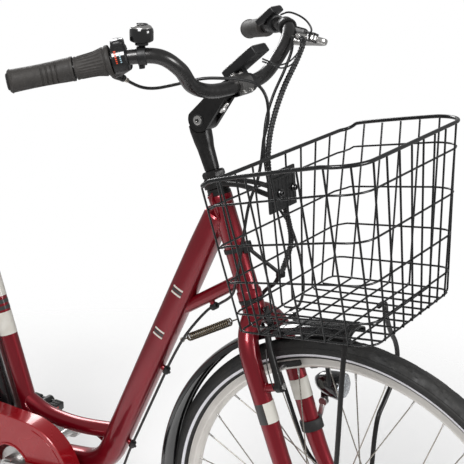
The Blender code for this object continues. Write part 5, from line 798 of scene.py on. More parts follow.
    cream = Piece("frame_bands_light", CREAM, "frame")
    grey = Piece("frame_bands_dark", DECAL_GREY, "frame")
    for low, high, band in ((0.522, 0.565, cream), (0.5695, 0.5765, grey), (0.5815, 0.5885, grey),
                            (0.595, 0.638, cream)):
        low, high = (seat((z - BRACKET_HEIGHT) / sin(SEAT_ANGLE), 0) for z in (low, high))
        band.sleeve(low, high, SEAT_TUBE_RADIUS + 0.00035)
    for first in (0.1552, 0.2497):
        for k, band, half in ((0, cream, 0.0016), (1, grey, 0.0025), (2, cream, 0.0016)):
            place = first + 0.006 * k
            for level in (-LEFT, LEFT):
                band.patch(route, place - half, place + half, DOWN_TUBE_DRAWN, -0.42, 0.42, level, section=2.5)


def build_fork():
    red = Piece("fork_tubes", PAINT, "steering", "fork")
    cream = Piece("fork_bands_light", CREAM, "steering")
    grey = Piece("fork_bands_dark", DECAL_GREY, "steering")
    pins = Piece("fork_pins", SILVER, "steering")
    beads = Piece("fork_welds", PAINT, "steering")
    red.rod(steer(0, 0, CROWN_HEIGHT - 0.012), steer(0, 0, HEAD_TOP), STEERER_RADIUS, sides=40)
    knots = [(-0.0005, 0.000, CROWN_HEIGHT - 0.001), (0.0030, 0.014, CROWN_HEIGHT - 0.003),
             (0.0045, 0.033, CROWN_HEIGHT - 0.016), (0.0052, 0.0455, 0.365), (LEG_FORWARD, 0.0522, 0.340)]
    knots += [(x, FORK_SPREAD, z) for x, z in (
        (LEG_FORWARD, 0.300), (LEG_FORWARD + 0.0002, 0.230), (LEG_FORWARD + 0.0005, 0.160), (0.0120, 0.100),
        (0.0270, 0.052), (0.0365, 0.030))]
    shares = [1.02, 1.0, 0.99, 0.99, 0.985, 0.97, 0.93, 0.89, 0.78, 0.64, 0.54]
    for side in BOTH:
        route, radii = flow([steer(x, side * y, z) for x, y, z in knots], 0.006, shares)
        red.sweep(route, CROWN_RADIUS, radii=radii, sides=44)
        tip = hull_outline(FRONT_AXLE, 0.013, steer(0.0350, 0, 0.0340), 0.0075, 14)
        red.plate(tip, side * (FORK_SPREAD - 0.003), side * (FORK_SPREAD + 0.003), bevel=0.0008)
        red.rod(boss(0.014, side), boss(0.0395, side), BOSS_RADIUS)
        pins.rod(boss(0.0395, side), boss(0.0525, side), 0.0038)
        pins.rod(boss(0.0518, side), boss(0.0555, side), 0.0056, sides=6)
        beads.weld(boss(LEG_FORWARD, side), STEER_UP, 0.0162, STEER_FORWARD, BOSS_RADIUS, 0.0012, 24)
        start, stop = (steer(LEG_FORWARD + 0.0004, side * FORK_SPREAD, u) for u in (0.230, 0.2645))
        leg = [start, start.lerp(stop, 0.5), stop]
        bands = ((cream, -2.3, 2.4, 40), (grey, 2.42, 3.95, 16))
        if side < 0:
            bands = ((cream, 0.46, 3.05, 26), (grey, -2.7, 0.44, 26))
        for band, first, last, sides in bands:
            band.patch(leg, 0.0, (stop - start).length, CROWN_RADIUS * 0.942, first, last, -LEFT, sides=sides)
    red.rod(steer(-0.010, 0, 0.3975), steer(-0.0235, 0, 0.3975), 0.0044)
    red.turned([(16.5, -12), (17.8, -9), (19.5, 6), (19.5, 17), (18.8, 18.2)], steer(0, 0, 0), STEER_UP, 56,
               height=CROWN_HEIGHT)

    nut = Piece("headset_nuts", SATIN, "steering", "headset_locknut", smooth=25)
    nut.lathe(mm([(14.9, 0), (18.8, 0), (18.8, 5.5), (17.6, 6.2), (17.6, 7.6), (18.8, 8.3), (18.8, 14.5), (16.5, 17.5),
                  (14.9, 17.5)], height=RING_TOP + GAP), steer(0, 0, 0), STEER_UP, 8)


# Wheels


def build_wheel(name, look, middle, flange_radius, flange_half, hub):
    rim = Piece(name + "_rim", RIM_ALLOY, name, name, smooth=30)
    half = 0.5 * RIM_WIDTH
    profile = mm([(-12, -6), (-10.5, -10.6), (-0.6, -10.6), (0, -11.1), (0, -11.9), (-0.5, -12.5)], RIM_OUTER)
    for k in range(9):
        radius = RIM_OUTER - 0.0016 - 0.0010 * k
        profile += [(radius + 0.00025, -half), (radius, 0.00022 - half)]
    profile += mm([(-11.2, -12.5), (-12.8, -11.9)], RIM_OUTER)
    profile += mm([(2.8, -7.2), (1, -5), (0, -2.8), (-0.2, 0)], RIM_INNER)
    rim.lathe(both_ways(profile), middle, LEFT, 160)

    spokes = Piece(name + "_spokes", STEEL, name)
    nipples = Piece(name + "_nipples", SILVER, name)
    for side in BOTH:
        for index in range(SPOKES_PER_SIDE):
            lean = 1 if index % 2 else -1
            hub_angle = (index + 0.25 * (side - 1)) * 2 * pi / SPOKES_PER_SIDE
            start = middle + flange_radius * ray(hub_angle) + side * (flange_half + 0.0022 * lean) * LEFT
            end = middle + (RIM_INNER + 0.0025) * ray(hub_angle + lean * SPOKE_LEAD) + side * 0.003 * LEFT
            heading = (end - start).normalized()
            inward = -side * lean * LEFT
            through = start + 0.0045 * inward
            spokes.sweep([through, start + 0.0008 * inward, start + heading * 0.0012, start + heading * 0.004,
                          end], 0.00105, sides=8, chamfer=0.0)
            spokes.turned([(0, 0), (1.6, 0.2), (1.9, 0.8), (1.2, 1.4)], through, inward, 10)
            nipples.sweep([end - heading * t for t in (0.0150, 0.0142, 0.004, 0)], 0.0019,
                          radii=[0.62, 0.85, 1.0, 1.15], sides=10, chamfer=0.0)

    shell = Piece(name + "_hub", look, name, smooth=32)
    shell.turned(hub, middle, LEFT, 84)

    valve = Piece(name + "_valve", PLASTIC, name)
    out = ray(radians(100))
    foot = middle + (RIM_INNER + 0.001) * out
    valve.rod(foot, foot - out * 0.018, 0.0034, 0.0028)
    valve.rod(foot - out * 0.018, foot - out * 0.032, 0.0040, 0.0036, sides=18)


def build_tyre(name, body, middle):
    """Rubber with its tread and side walls, and the bright line set into each side."""
    outline = mm([(0, 0), (0, 1.6), (-1.2, 2.2), (-1.2, 3), (-0.2, 3.6), (-0.8, 6.6), (-2.2, 9.6), (-4.4, 12.4),
                  (-7.4, 15), (-10.5, 17), (-11.6, 17.8), (-12.8, 18), (-14, 19.4), (-16, 20.2)], WHEEL_RADIUS)
    outline += mm([(12.5, 20.5), (9.6, 20.3), (9, 19.7), (7.2, 18.9), (6.6, 19), (3.8, 16.8), (2.2, 14.6),
                   (1.2, 12.8), (0.3, 10.3), (-10.2, 10.3)], RIM_OUTER)
    loop = both_ways(outline)
    count = len(outline)

    def ripple(k, j):
        side, index = (1, j) if j < count else (-1, len(loop) - j)
        if 5 <= index <= 9:
            beat = (k + 2.4 * index * side + (6 if side < 0 else 0)) % 12
            if index < 8:
                return -0.0016 if beat < 2.6 else 0.0
            return -0.0015 if beat < 3.0 else 0.0
        return 0.0

    rubber = Piece(name + "_rubber", TYRE, body, name, smooth=24)
    rubber.lathe(loop, middle, LEFT, 480, ripple=ripple)
    line = Piece(name + "_line", STRIPE, body, smooth=30)
    for side in BOTH:
        pairs = [(9.2, 20.1), (7.4, 19.6), (5, 18.3), (4.8, 17.2), (7, 18), (9.2, 18.6)]
        line.lathe(mm([(r, side * h) for r, h in pairs], RIM_OUTER), middle, LEFT, 240)


def build_wheels():
    front_hub = both_ways([
        (0, -50), (15, -50), (18, -47), (30, -45), (42, -42), (56, -39.2), (58, -38.5), (59.2, -36), (64, -34.5),
        (66.8, -32.2), (67.5, -30), (66.8, -26.2), (63.5, -24.5), (60.2, -22.5), (59.6, 0)])
    rear_hub = [
        (15, -56), (16, -55), (16, -38), (30, -37.5), (36.2, -35), (37, -32.5), (36.2, -29.2), (32.5, -26.2),
        (31.2, 0), (32.5, 26.2), (36.2, 29.2), (37, 32.5), (36.2, 35), (30, 44), (28, 53.5), (26, 55), (17, 56)]
    build_wheel("front_wheel", BRUSHED, FRONT_AXLE, 0.0630, 0.0283, front_hub)
    build_wheel("rear_wheel", SILVER, REAR_AXLE, 0.0342, 0.0295, rear_hub)
    build_tyre("front_tyre", "front_wheel", FRONT_AXLE)
    build_tyre("rear_tyre", "rear_wheel", REAR_AXLE)


def build_mudguard(name, body, middle, start, end, steps):
    outer, inner = [], []
    for k in range(25):
        angle = pi * (k / 24 - 0.5)
        height = sin(angle) * MUDGUARD_HALF_WIDTH
        rise = (MUDGUARD_RADIUS + 0.0007) + MUDGUARD_RISE * max(cos(angle), 0.0) ** 0.8
        outer.append((rise + MUDGUARD_WALL, height))
        inner.append((rise, height * 0.965))
    lip = mm([(-0.6, 0.4), (-1.2, -0.6), (-0.4, -1.4)], MUDGUARD_RADIUS, MUDGUARD_HALF_WIDTH)
    loop = outer + lip + inner[::-1] + [(r, -h) for r, h in reversed(lip)]
    guard = Piece(name + "_strip", GLOSS, body, name, smooth=40, slot="black_plastic")
    guard.lathe(loop, middle, -LEFT, steps, sweep=end - start, spin=start)
    return guard


def build_guards():
    front = build_mudguard("front_mudguard", "steering", FRONT_AXLE, radians(90), radians(205), 110)
    front.box(steer(CROWN_RADIUS + 0.0045 + GAP + 0.0012, 0, 0.388), (0.0024, 0.016, 0.034),
              tilt(0.5 * pi - HEAD_ANGLE))
    back = build_mudguard("rear_mudguard", "frame", REAR_AXLE, radians(-8), radians(200), 200)
    back.box(rear(MUDGUARD_RADIUS + 0.0115, radians(120)), (0.012, 0.012, 0.003), tilt(radians(-30)))


# Basket


def basket_loop(back, front, half_back, half_front, corner, round_front, height):
    """One level of the basket as four stretches, from the back left corner's middle."""
    corners = [(back + corner, half_back - corner, 0.75 * pi, corner),
               (front - round_front, half_front - round_front, 0.25 * pi, round_front)]
    corners += [(x, -y, -angle, radius) for x, y, angle, radius in corners[::-1]]
    stretches = []
    for here, there in zip(corners, corners[1:] + corners[:1]):
        points = []
        for (x, y, middle, radius), base in ((here, 0), (there, 1)):
            for step in range(13):
                angle = middle + 0.25 * pi * (base - step / 12)
                ahead = x + radius * cos(angle)
                points.append(at(ahead, y + radius * sin(angle), height(ahead)))
        stretches.append(points)
    return stretches


def rim_height(x):
    if x < RIM_SIDE_START:
        share = max(0.0, (x - RIM_BACK) / (RIM_SIDE_START - RIM_BACK))
        share = share * share * (3 - 2 * share)
        return RIM_BACK_HEIGHT + share * (RIM_SIDE_HEIGHT - RIM_BACK_HEIGHT)
    share = (x - RIM_SIDE_START) / (RIM_FRONT - RIM_SIDE_START)
    return RIM_SIDE_HEIGHT + share * (RIM_FRONT_HEIGHT - RIM_SIDE_HEIGHT)


def floor_height(x):
    share = (x - FLOOR_BACK) / (FLOOR_FRONT - FLOOR_BACK)
    return FLOOR_BACK_HEIGHT + share * (FLOOR_FRONT_HEIGHT - FLOOR_BACK_HEIGHT)


def build_basket():
    rim = basket_loop(RIM_BACK, RIM_FRONT, half_back=0.2160, half_front=0.1860, corner=0.020, round_front=0.050,
                      height=rim_height)
    foot = basket_loop(FLOOR_BACK, FLOOR_FRONT, half_back=0.1430, half_front=0.1340, corner=0.012,
                       round_front=0.022, height=floor_height)
    top_wire = Piece("basket_rim_wire", WIRE_BLACK, "steering", "basket_rim")
    loop = [point for stretch in rim for point in stretch[:-1]]
    top_wire.sweep(flow(loop, 0.006, cyclic=True), RIM_WIRE_RADIUS, sides=18, cyclic=True)

    wire = 0.5 * BASKET_WIRE
    hoops = Piece("basket_hoops", WIRE_BLACK, "steering", "basket_front", "basket_back", "basket_left",
                  "basket_right")
    for level in HOOP_LEVELS:
        ring = []
        for upper, lower in zip(rim, foot):
            ring += [a.lerp(b, level) for a, b in zip(shares_of(upper, 24), shares_of(lower, 24))]
        hoops.sweep(flow(ring, 0.012, cyclic=True), wire, sides=12, cyclic=True)

    uprights = Piece("basket_uprights", WIRE_BLACK, "steering", "basket_floor")
    centre = at(0.5 * (FLOOR_BACK + FLOOR_FRONT), 0, 0.75)
    columns = []
    for upper, lower, cells in zip(rim, foot, BASKET_CELLS):
        columns.append(shares_of(lower, cells))
        for top, low in zip(shares_of(upper, cells), columns[-1]):
            shift = Vector((centre.x - low.x, centre.y - low.y, 0)).normalized() * (-2 * wire * 0.9)
            start = top + shift * 0.4 - UP * (RIM_WIRE_RADIUS - 0.0004)
            uprights.sweep([start, start.lerp(low + shift, 0.5), low + shift + UP * 0.004,
                            low + shift * 0.8 - UP * 0.0006], wire, sides=10)
    left, front, right, back = columns
    for first, second, drop in ((left, right, -0.0007), (front, back, -0.0007 - 2 * wire * 0.8)):
        for a, b in zip(first[1:], second[:0:-1]):
            ends = (b - a).normalized()
            uprights.sweep([a + UP * 0.003 - ends * 0.0010, a + UP * drop + ends * 0.0025,
                            a.lerp(b, 0.5) + UP * drop, b + UP * drop - ends * 0.0025,
                            b + UP * 0.003 + ends * 0.0010], wire, sides=10)


def build_basket_mount():
    plate = Piece("basket_bracket_plate", PLASTIC, "steering")
    black = Piece("basket_bracket_arms", SATIN, "steering", "basket_bracket")
    ring_middle = 0.5 * (RING_TOP + RING_BOTTOM)
    black.collar(steer(0, 0, ring_middle), STEER_UP, STEERER_RADIUS + 0.0006, 0.0210, RING_TOP - ring_middle,
                 edge=0.0005, steps=56)
    drop = RIM_BACK_HEIGHT - FLOOR_BACK_HEIGHT
    turn = tilt(atan2(FLOOR_BACK - RIM_BACK, drop))
    across, rise = turn.col[0], turn.col[2]
    wall_x = RIM_BACK + (RIM_BACK_HEIGHT - PLATE_LEVEL) / drop * (FLOOR_BACK - RIM_BACK)
    face = at(wall_x, 0.010, PLATE_LEVEL) - across * (0.5 * BASKET_WIRE + GAP + 0.002)
    plate.box(face, (0.004, 0.080, 0.064), turn, bevel=0.0015)
    for k in range(-3, 4):
        plate.box(face + LEFT * (k * 0.0105) + across * 0.0019, (0.0016, 0.0018, 0.054), turn, bevel=0.0004)
    for z in (-0.024, 0.0, 0.024):
        plate.box(face + rise * z + across * 0.0019, (0.0016, 0.070, 0.0018), turn, bevel=0.0004)
    for base_y, end_y in ((-0.013, -0.022), (0.011, 0.014)):
        base = steer(0.014, base_y, ring_middle)
        black.sweep(smooth_route([base, base + Vector((0.045, 0.3 * (end_y - base_y), 0.006)),
                                  at(wall_x - 0.004, end_y, PLATE_LEVEL - 0.004)], 8), 0.0042)
    bolts = Piece("basket_bolts", GLOSS, "steering")
    for y in (0.0, 0.0405):
        bolts.turned([(6, 0), (6.8, 0.6), (6.8, 1.2), (4.6, 2.2), (4.6, 4.6), (3.8, 5.2), (2.4, 5.2), (2.2, 3.2)],
                     at(wall_x, y, PLATE_LEVEL - 0.0040) - across * 0.0002, across, 24)

    struts = Piece("basket_strut_wires", SATIN, "steering", "basket_strut_left", "basket_strut_right")
    for side, top_x in ((1, 0.012), (-1, 0.020)):
        under = floor_height(top_x) - 0.5 * BASKET_WIRE - GAP - 0.0042
        if side < 0:
            points = [(top_x, 0.066, under), (0.0195, 0.0745, under - 0.004), (0.0190, 0.0790, under - 0.014),
                      (0.011, 0.0745, 0.540), (0.0045, 0.0670, 0.420)]
        else:
            points = [(top_x, 0.058, under), (0.0105, 0.068, under - 0.006), (0.008, 0.078, under - 0.026),
                      (0.005, 0.104, 0.683), (0.005, 0.128, 0.652), (0.005, 0.1375, 0.625), (0.005, 0.129, 0.590),
                      (0.005, 0.100, 0.560), (0.005, 0.078, 0.540), (0.005, 0.069, 0.510), (0.004, 0.066, 0.450)]
        points = [(top_x, 0.040, under)] + points + [(0.002, 0.0640, 0.366)]
        struts.sweep(flow([at(x, side * y, z) for x, y, z in points], 0.004), 0.0040, sides=22)
        struts.rod(FRONT_AXLE + side * 0.0575 * LEFT, FRONT_AXLE + side * 0.0607 * LEFT, 0.0115)
        struts.box(FRONT_AXLE + Vector((0, side * 0.0591, 0.0160)), (0.010, 0.0031, 0.024))


# Stem, handlebar and controls


def half_ring(centre, radius, bore, middle):
    """Half a ring in the side view, on both sides of an angle."""
    ends = (middle - 0.5 * pi, middle + 0.5 * pi)
    return arc(centre, radius, *ends, 24) + arc(centre, bore, *ends[::-1], 24)


def build_stem():
    neck = Piece("stem_post_top", SATIN, "steering")
    post = Piece("stem_post_neck", SATIN, "steering", "stem_post")
    base = RING_TOP + LOCKNUT_HEIGHT
    post.rod(steer(0, 0, 0.512), steer(0, 0, base + 0.006), QUILL_RADIUS, sides=40)
    post.plate(arc(STEM_PIVOT, STEM_PIVOT_RADIUS, 0, 2 * pi - 0.1, 46), -STEM_BOSS_HALF, STEM_BOSS_HALF,
               bevel=0.0008)
    knots = [steer(0, 0, base + 0.001), steer(0, 0, RING_TOP + 0.035), steer(0, 0, RING_TOP + 0.055),
             steer(0.0004, 0, STEM_PIVOT_HEIGHT - 0.034), steer(0.0010, 0, STEM_PIVOT_HEIGHT - 0.016),
             steer(0.0010, 0, STEM_PIVOT_HEIGHT - 0.004)]
    route, radii = flow(knots, 0.003, [1.0, 1.06, 1.14, 1.30, 1.44, 1.40])
    neck.sweep(route, 0.0118, radii=radii, section=squared(2.2, 48), up=LEFT)
    for side in BOTH:
        room = Piece("cheek_room", SATIN, "steering", listed=False)
        room.rod(STEM_PIVOT + side * (STEM_BOSS_HALF + 0.0001) * LEFT, STEM_PIVOT + side * 0.03 * LEFT,
                 STEM_PIVOT_RADIUS + 0.0014, sides=72)
        neck.rooms.append(room)

    def from_pivot(x, z):
        return STEM_PIVOT + Vector((x, 0, z))

    def from_clamp(x, z):
        return CLAMP_CENTRE + Vector((x, 0, z))

    arm = Piece("stem_arm_body", SATIN, "stem", "stem_arm", smooth=30)
    half = STEM_HALF_WIDTH
    outline = [from_pivot(0.0490, 0.0420)]
    outline += arc(CLAMP_CENTRE, CLAMP_RADIUS - 0.0003, radians(-60), radians(-47), 2)
    outline += [from_clamp(0.0085, -0.0090) - 0.0003 * STEM_REACH, from_clamp(-0.0100, 0.0108)]
    outline += arc(CLAMP_CENTRE, CLAMP_RADIUS - 0.0003, radians(134), radians(150), 3)
    outline += [from_pivot(0.0310, 0.0590), from_pivot(0.0108, 0.0370)]
    outline += arc(STEM_PIVOT, STEM_PIVOT_RADIUS, radians(150), radians(328), 26)
    for side in BOTH:
        arm.plate(outline, side * (STEM_BOSS_HALF + 0.0006), side * half, bevel=0.0022, segments=4)
    web = [from_pivot(0.0500, 0.0430), from_clamp(0.0060, -0.0130), from_clamp(-0.0120, 0.0070),
           from_pivot(0.0310, 0.0570), from_pivot(0.0125, 0.0360), from_pivot(0.0240, 0.0180)]
    arm.plate(web, -STEM_BOSS_HALF - 0.001, STEM_BOSS_HALF + 0.001, bevel=0.001)
    arm.plate(half_ring(CLAMP_CENTRE, CLAMP_RADIUS, BAR_RADIUS + 0.0002, STEM_ANGLE + pi), -half, half,
              bevel=0.0006)

    bright = Piece("stem_bolts", SILVER, "stem", "stem_bolt")
    dark = Piece("stem_bolt_rings", GLOSS, "stem")
    for side in BOTH:
        near, out = STEM_PIVOT + side * (half - 0.0004) * LEFT, side * LEFT
        dark.lathe(mm([(8.3, 0), (10.8, 0), (10.6, 1.2), (8.5, 1.2)]), near, out, 40)
        bright.turned([(7.8, 0), (8, 2.2), (7.2, 3.4), (5.2, 4), (3.6, 3.6), (3.4, 1.4)], near, out, 36)
        dark.turned([(3.3, 1.5), (3.1, 1.8)], near, out, 6)
    seat_line = from_pivot(0.0305, 0.0155)
    reach = (from_pivot(0.0500, 0.0380) - seat_line).normalized()
    bright.rod(seat_line, seat_line + reach * 0.022, 0.0040)
    bright.turned([(6.2, 0), (6.2, 4.5), (4.6, 6)], seat_line + reach * 0.006, reach, 24)

    cap = Piece("stem_cap", CAST, "stem", "stem_faceplate")
    screws = Piece("stem_cap_screws", SILVER, "stem")
    turn = tilt(STEM_ANGLE)
    cap.plate(half_ring(CLAMP_CENTRE + 0.0004 * STEM_REACH, CLAMP_RADIUS, BAR_BORE, STEM_ANGLE), 0.001 - half,
              half - 0.001, bevel=0.0006)
    for side in BOTH:
        edge = CLAMP_CENTRE + turn.col[2] * side * 0.0152
        cap.box(edge + STEM_REACH * 0.0040, (0.0064, 2 * half - 0.003, 0.0056), turn, bevel=0.0010)
        for y in (-0.0095, 0.0095):
            screws.turned([(3.6, 0), (3.8, 2.6), (3, 3.4), (1.8, 3.4), (1.7, 1.2)],
                          edge + LEFT * y + STEM_REACH * 0.0066, STEM_REACH, 20)


def build_grip(side, word, end):
    grip = Piece("grip_" + word + "_rubber", GRIP, "stem", "grip_" + word, smooth=50)
    count, sides = 110, 64
    places = [bar_place(-0.0045 + (end + 0.0045) * k / count, side, FINE_BAR)[0] for k in range(count + 1)]
    rows = []
    for k, point in enumerate(places):
        heading = (places[min(k + 1, count)] - places[max(k - 1, 0)]).normalized()
        normal = (UP - heading * UP.dot(heading)).normalized()
        across = heading.cross(normal)
        t = k / count
        body = 1.03 - 0.05 * sin(pi * min(t * 1.2, 1.0)) + 0.035 * max(0.0, t - 0.75) / 0.25
        if t < 0.05:
            body = 0.80 + 0.30 * sqrt(t / 0.05)
        if t > 0.955:
            body += 0.03
        groove = 0.0
        for place in (0.50, 0.58, 0.66, 0.74):
            near = abs(t - place) / 0.014
            if near < 1:
                groove = 0.0016 * (1 - near ** 4)
        row = []
        for s in range(sides):
            angle = 2 * pi * s / sides
            cut = groove if -side * sin(angle) > 0.55 else 0.0
            top = max(0.0, cos(angle)) ** 3
            fine = 0.00035 * top * sin(k * 1.9) * sin(s * 1.9) if 0.10 < t < 0.90 else 0.0
            reach = GRIP_RADIUS * body - cut + fine
            row.append(point + reach * (cos(angle) * normal + sin(angle) * across))
        rows.append(row)
    grip.grid(rows)
    cap = Piece("grip_cap_" + word, RUBBER, "stem")
    cap.turned([(0, 0), (11.8, 0), (12.2, -0.8), (11.2, -2), (9.5, -2.4), (9, -1.6), (0, -1.4)],
               *bar_place(-0.0045, side, FINE_BAR), 40)


def build_bar():
    bar = Piece("handlebar_tube", BAR, "stem", "handlebar")
    bar.sweep(FINE_BAR, BAR_RADIUS, sides=36)
    build_grip(-1, "right", 0.0895)
    build_grip(1, "left", 0.116)


def build_shifter():
    def ribs(k, j):
        return 0.00065 * max(0.0, sin(0.5 * pi * k)) if 5 <= j <= 10 else 0.0

    twist = Piece("twist_grip_rubber", GRIP, "twist_grip", "twist_grip", smooth=44)
    twist.lathe(mm([
        (13.4, -26.2), (16, -26.2), (16.7, -25.5), (16.7, -23.6), (16, -22.8), (16.1, -19), (16.4, -12), (16.8, -4),
        (17.5, 4), (19, 11), (20.4, 16), (20.6, 17.2), (19.9, 18), (20, 19), (21.8, 20), (22.2, 21.5), (22.2, 23.8),
        (21.4, 25.6), (20, 26.2), (13.4, 26.2)]), *bar_place(0.1180, -1), 112, ripple=ribs)

    middle, inward = bar_place(0.156, -1)
    turn = inward.to_track_quat("X", "Z").to_matrix()
    up, side = turn.col[2].copy(), turn.col[1].copy()
    body = Piece("shifter_body", PLASTIC, "stem", "shifter_housing", smooth=34)
    wall = mm([(19.8, -9.5), (20.6, -8.6), (20.8, -4), (20.8, 6), (19.8, 10), (17.6, 11.8)])
    body.lathe([(BAR_BORE, -0.0095)] + wall + [(BAR_BORE, 0.0122)], middle, inward, 60)
    body.box(middle + up * 0.008 + inward * 0.0015, (0.0180, 0.030, 0.040), turn, bevel=0.0055, segments=5)
    nose = at(*GEAR_POINTS[0])
    lead = (at(*GEAR_POINTS[1]) - nose).normalized()
    root = middle + (nose - middle) * 0.35 + inward * 0.0090
    bend, tip = nose - lead * 0.018, nose - lead * 0.0062
    route, radii = flow([root, root.lerp(bend, 0.6), bend, tip], 0.0016, [1.32, 1.15, 0.98, 0.80])
    body.sweep(route, 0.0068, radii=radii, sides=32)
    screw = Piece("shifter_adjuster", PLASTIC, "stem")
    screw.turned([(4.6, 0), (5, 0.6), (5, 5.2), (4.4, 5.8)], tip, lead, 40, ripple=knurl(0.0004))
    end = Piece("shifter_cable_end", STEEL, "stem")
    end.turned([(3.4, -0.8), (3.6, 1), (3.4, 6.2), (3, 6.8)], nose, lead, 24)
    facet = Piece("shifter_window", FACET, "stem")
    facet.box(middle + up * 0.0262 - inward * 0.0008 - side * 0.0005, (0.0105, 0.0235, 0.0040), turn,
              bevel=0.0018, segments=4)

    def reach(angle):
        return 0.0213 + (0.0066 * cos(angle) ** 2 if angle < radians(40) else 0.0)

    def spoke(angle):
        return cos(angle) * up - sin(angle) * side

    band = Piece("shifter_band", GLOSS, "stem", smooth=40)
    rows = []
    for k in range(29):
        angle = radians(-38 + 5 * k)
        rows.append([middle + inward * x + spoke(angle) * (reach(angle) - depth)
                     for x, depth in ((-0.0075, 0), (0.0095, 0), (0.0095, 0.004), (-0.0075, 0.004))])
    band.grid(rows)
    for word, look, shift, start, count, wide, narrower in (
            ("red", MARK_RED, -0.0035, 52, 7, 0.0034, 0.0002), ("blue", MARK_BLUE, 0.0030, 66, 5, 0.0020, 0.0)):
        marks = Piece("shifter_marks_" + word, look, "stem")
        for k in range(count):
            angle = radians(start + 7.5 * k)
            marks.box(middle + inward * (shift + 0.0002 * k) + spoke(angle) * (reach(angle) + 0.0002),
                      (wide - narrower * k, 0.0017, 0.0004),
                      turned_to(inward, spoke(angle + 0.5 * pi), spoke(angle)), bevel=0.0001, segments=1)


def knurl(depth):
    """Ridges round the second and third ring of a turned profile."""
    return lambda k, j: depth * (k % 4 < 2) if 2 <= j <= 3 else 0.0


def build_bell():
    middle, inward = bar_place(0.1877, -1)
    clamp = Piece("bell_clamp", PLASTIC, "stem", "bell")
    clamp.collar(middle, inward, BAR_BORE, 0.0138, 0.006)
    clamp.rod(middle + UP * 0.011, middle + UP * 0.0212, 0.0032)
    clamp.box(middle - UP * 0.0150, (0.008, 0.009, 0.006), inward.to_track_quat("X", "Z").to_matrix(), bevel=0.001)
    clamp.turned([(12.5, 19.3), (15, 20.5), (15, 22.5)], middle, UP, 44)
    dome = Piece("bell_dome", GLOSS, "stem")
    dome.turned([(15, 20.5), (16.2, 21.2), (16.9, 23.2), (17, 33), (16.8, 36.2), (15.8, 38.8), (15.2, 39.4)],
                middle, UP, 72)
    top = Piece("bell_top", SILVER, "stem")
    top.turned([(15, 39), (14.7, 40.2), (13.2, 42), (10, 43.6), (0, 44.6)], middle, UP)
    ring = Piece("bell_ring_mark", GLOSS, "stem")
    ring.lathe(mm([(7.2, 44), (9.2, 43.4), (9.3, 44.4), (8.4, 45), (7.2, 45)]), middle, UP, 48)
    lever = Piece("bell_lever_arm", GLOSS, "bell_lever", "bell_lever")
    level = middle + UP * 0.0172
    lever.lathe(mm([(3.8, -2.2), (9, -2.2), (9.5, -1.6), (9.5, 1.4), (9, 2), (3.8, 2)]), level, UP, 40)
    out = Vector((-0.80, 0.60, 0.0)).normalized()
    tip = level + out * 0.0235
    lever.sweep(flow([level + out * 0.0060, level + out * 0.015, tip - UP * 0.0004], 0.002), 0.0021, sides=16)
    lever.rod(tip - UP * 0.002, tip + UP * 0.007, 0.0038, edge=0.001)


def build_lever():
    knots = [at(x, y, z) for x, y, z in (
        (-0.2050, 0.1900, 1.1250), (-0.1915, 0.2040, 1.1180), (-0.2110, 0.2340, 1.1110),
        (-0.2560, 0.2790, 1.1010), (-0.2980, 0.3160, 1.0920), (-0.3220, 0.3300, 1.0890))]
    pivot, tip = knots[0], knots[-1]
    axis = (tip - pivot).cross(bar_place(0.035, 1)[0] - pivot).normalized()
    middle, inward = bar_place(0.205, 1)
    perch = Piece("brake_perch_body", SATIN, "stem", "brake_perch")
    perch.collar(middle, inward, BAR_BORE, 0.0150, 0.009, rise=0.0008, steps=48)
    toward = pivot - middle
    flat = (toward - axis * toward.dot(axis)).normalized()
    turn = turned_to(flat, axis.cross(flat), axis)
    perch.box(middle.lerp(pivot, 0.5) - flat * 0.0065, (toward.length - 0.012, 0.017, 0.0150), turn, bevel=0.0035,
              segments=4)
    for side in BOTH:
        ear = pivot + axis * side * 0.0061
        perch.pin(ear, axis, 0.0016, 0.0082)
        perch.box(ear - flat * 0.0085, (0.017, 0.0150, 0.0032), turn, bevel=0.0008)
    bright = Piece("brake_perch_bolts", SILVER, "stem")
    bright.pin(pivot, axis, 0.0086, 0.0034)
    cable_out = at(-0.2180, 0.1560, 1.1300)
    start = pivot.lerp(cable_out, 0.25) - flat * 0.006
    heading = (cable_out - start).normalized()
    bright.sweep([start, start.lerp(cable_out, 0.5), cable_out - heading * 0.007], 0.0048, sides=28)
    bright.turned([(5.2, 0), (5.6, 0.8), (5.6, 5), (4.6, 6.2)], cable_out - heading * 0.0085, heading, 36,
                  ripple=knurl(0.0005))

    blade = Piece("brake_lever_blade", SILVER, "brake_lever", "brake_lever")
    blade.pin(pivot, axis, 0.0041, 0.0075)
    route, radii = flow(knots, 0.003, [0.75, 0.9, 1.0, 0.98, 0.93, 1.0])
    blade.sweep(route, 0.0058, radii=radii, section=[(0.72 * a, b) for a, b in squared(2.6, 32)], up=axis)
    blade.pin(tip, axis, 0.0034, 0.0068, edge=0.0016)


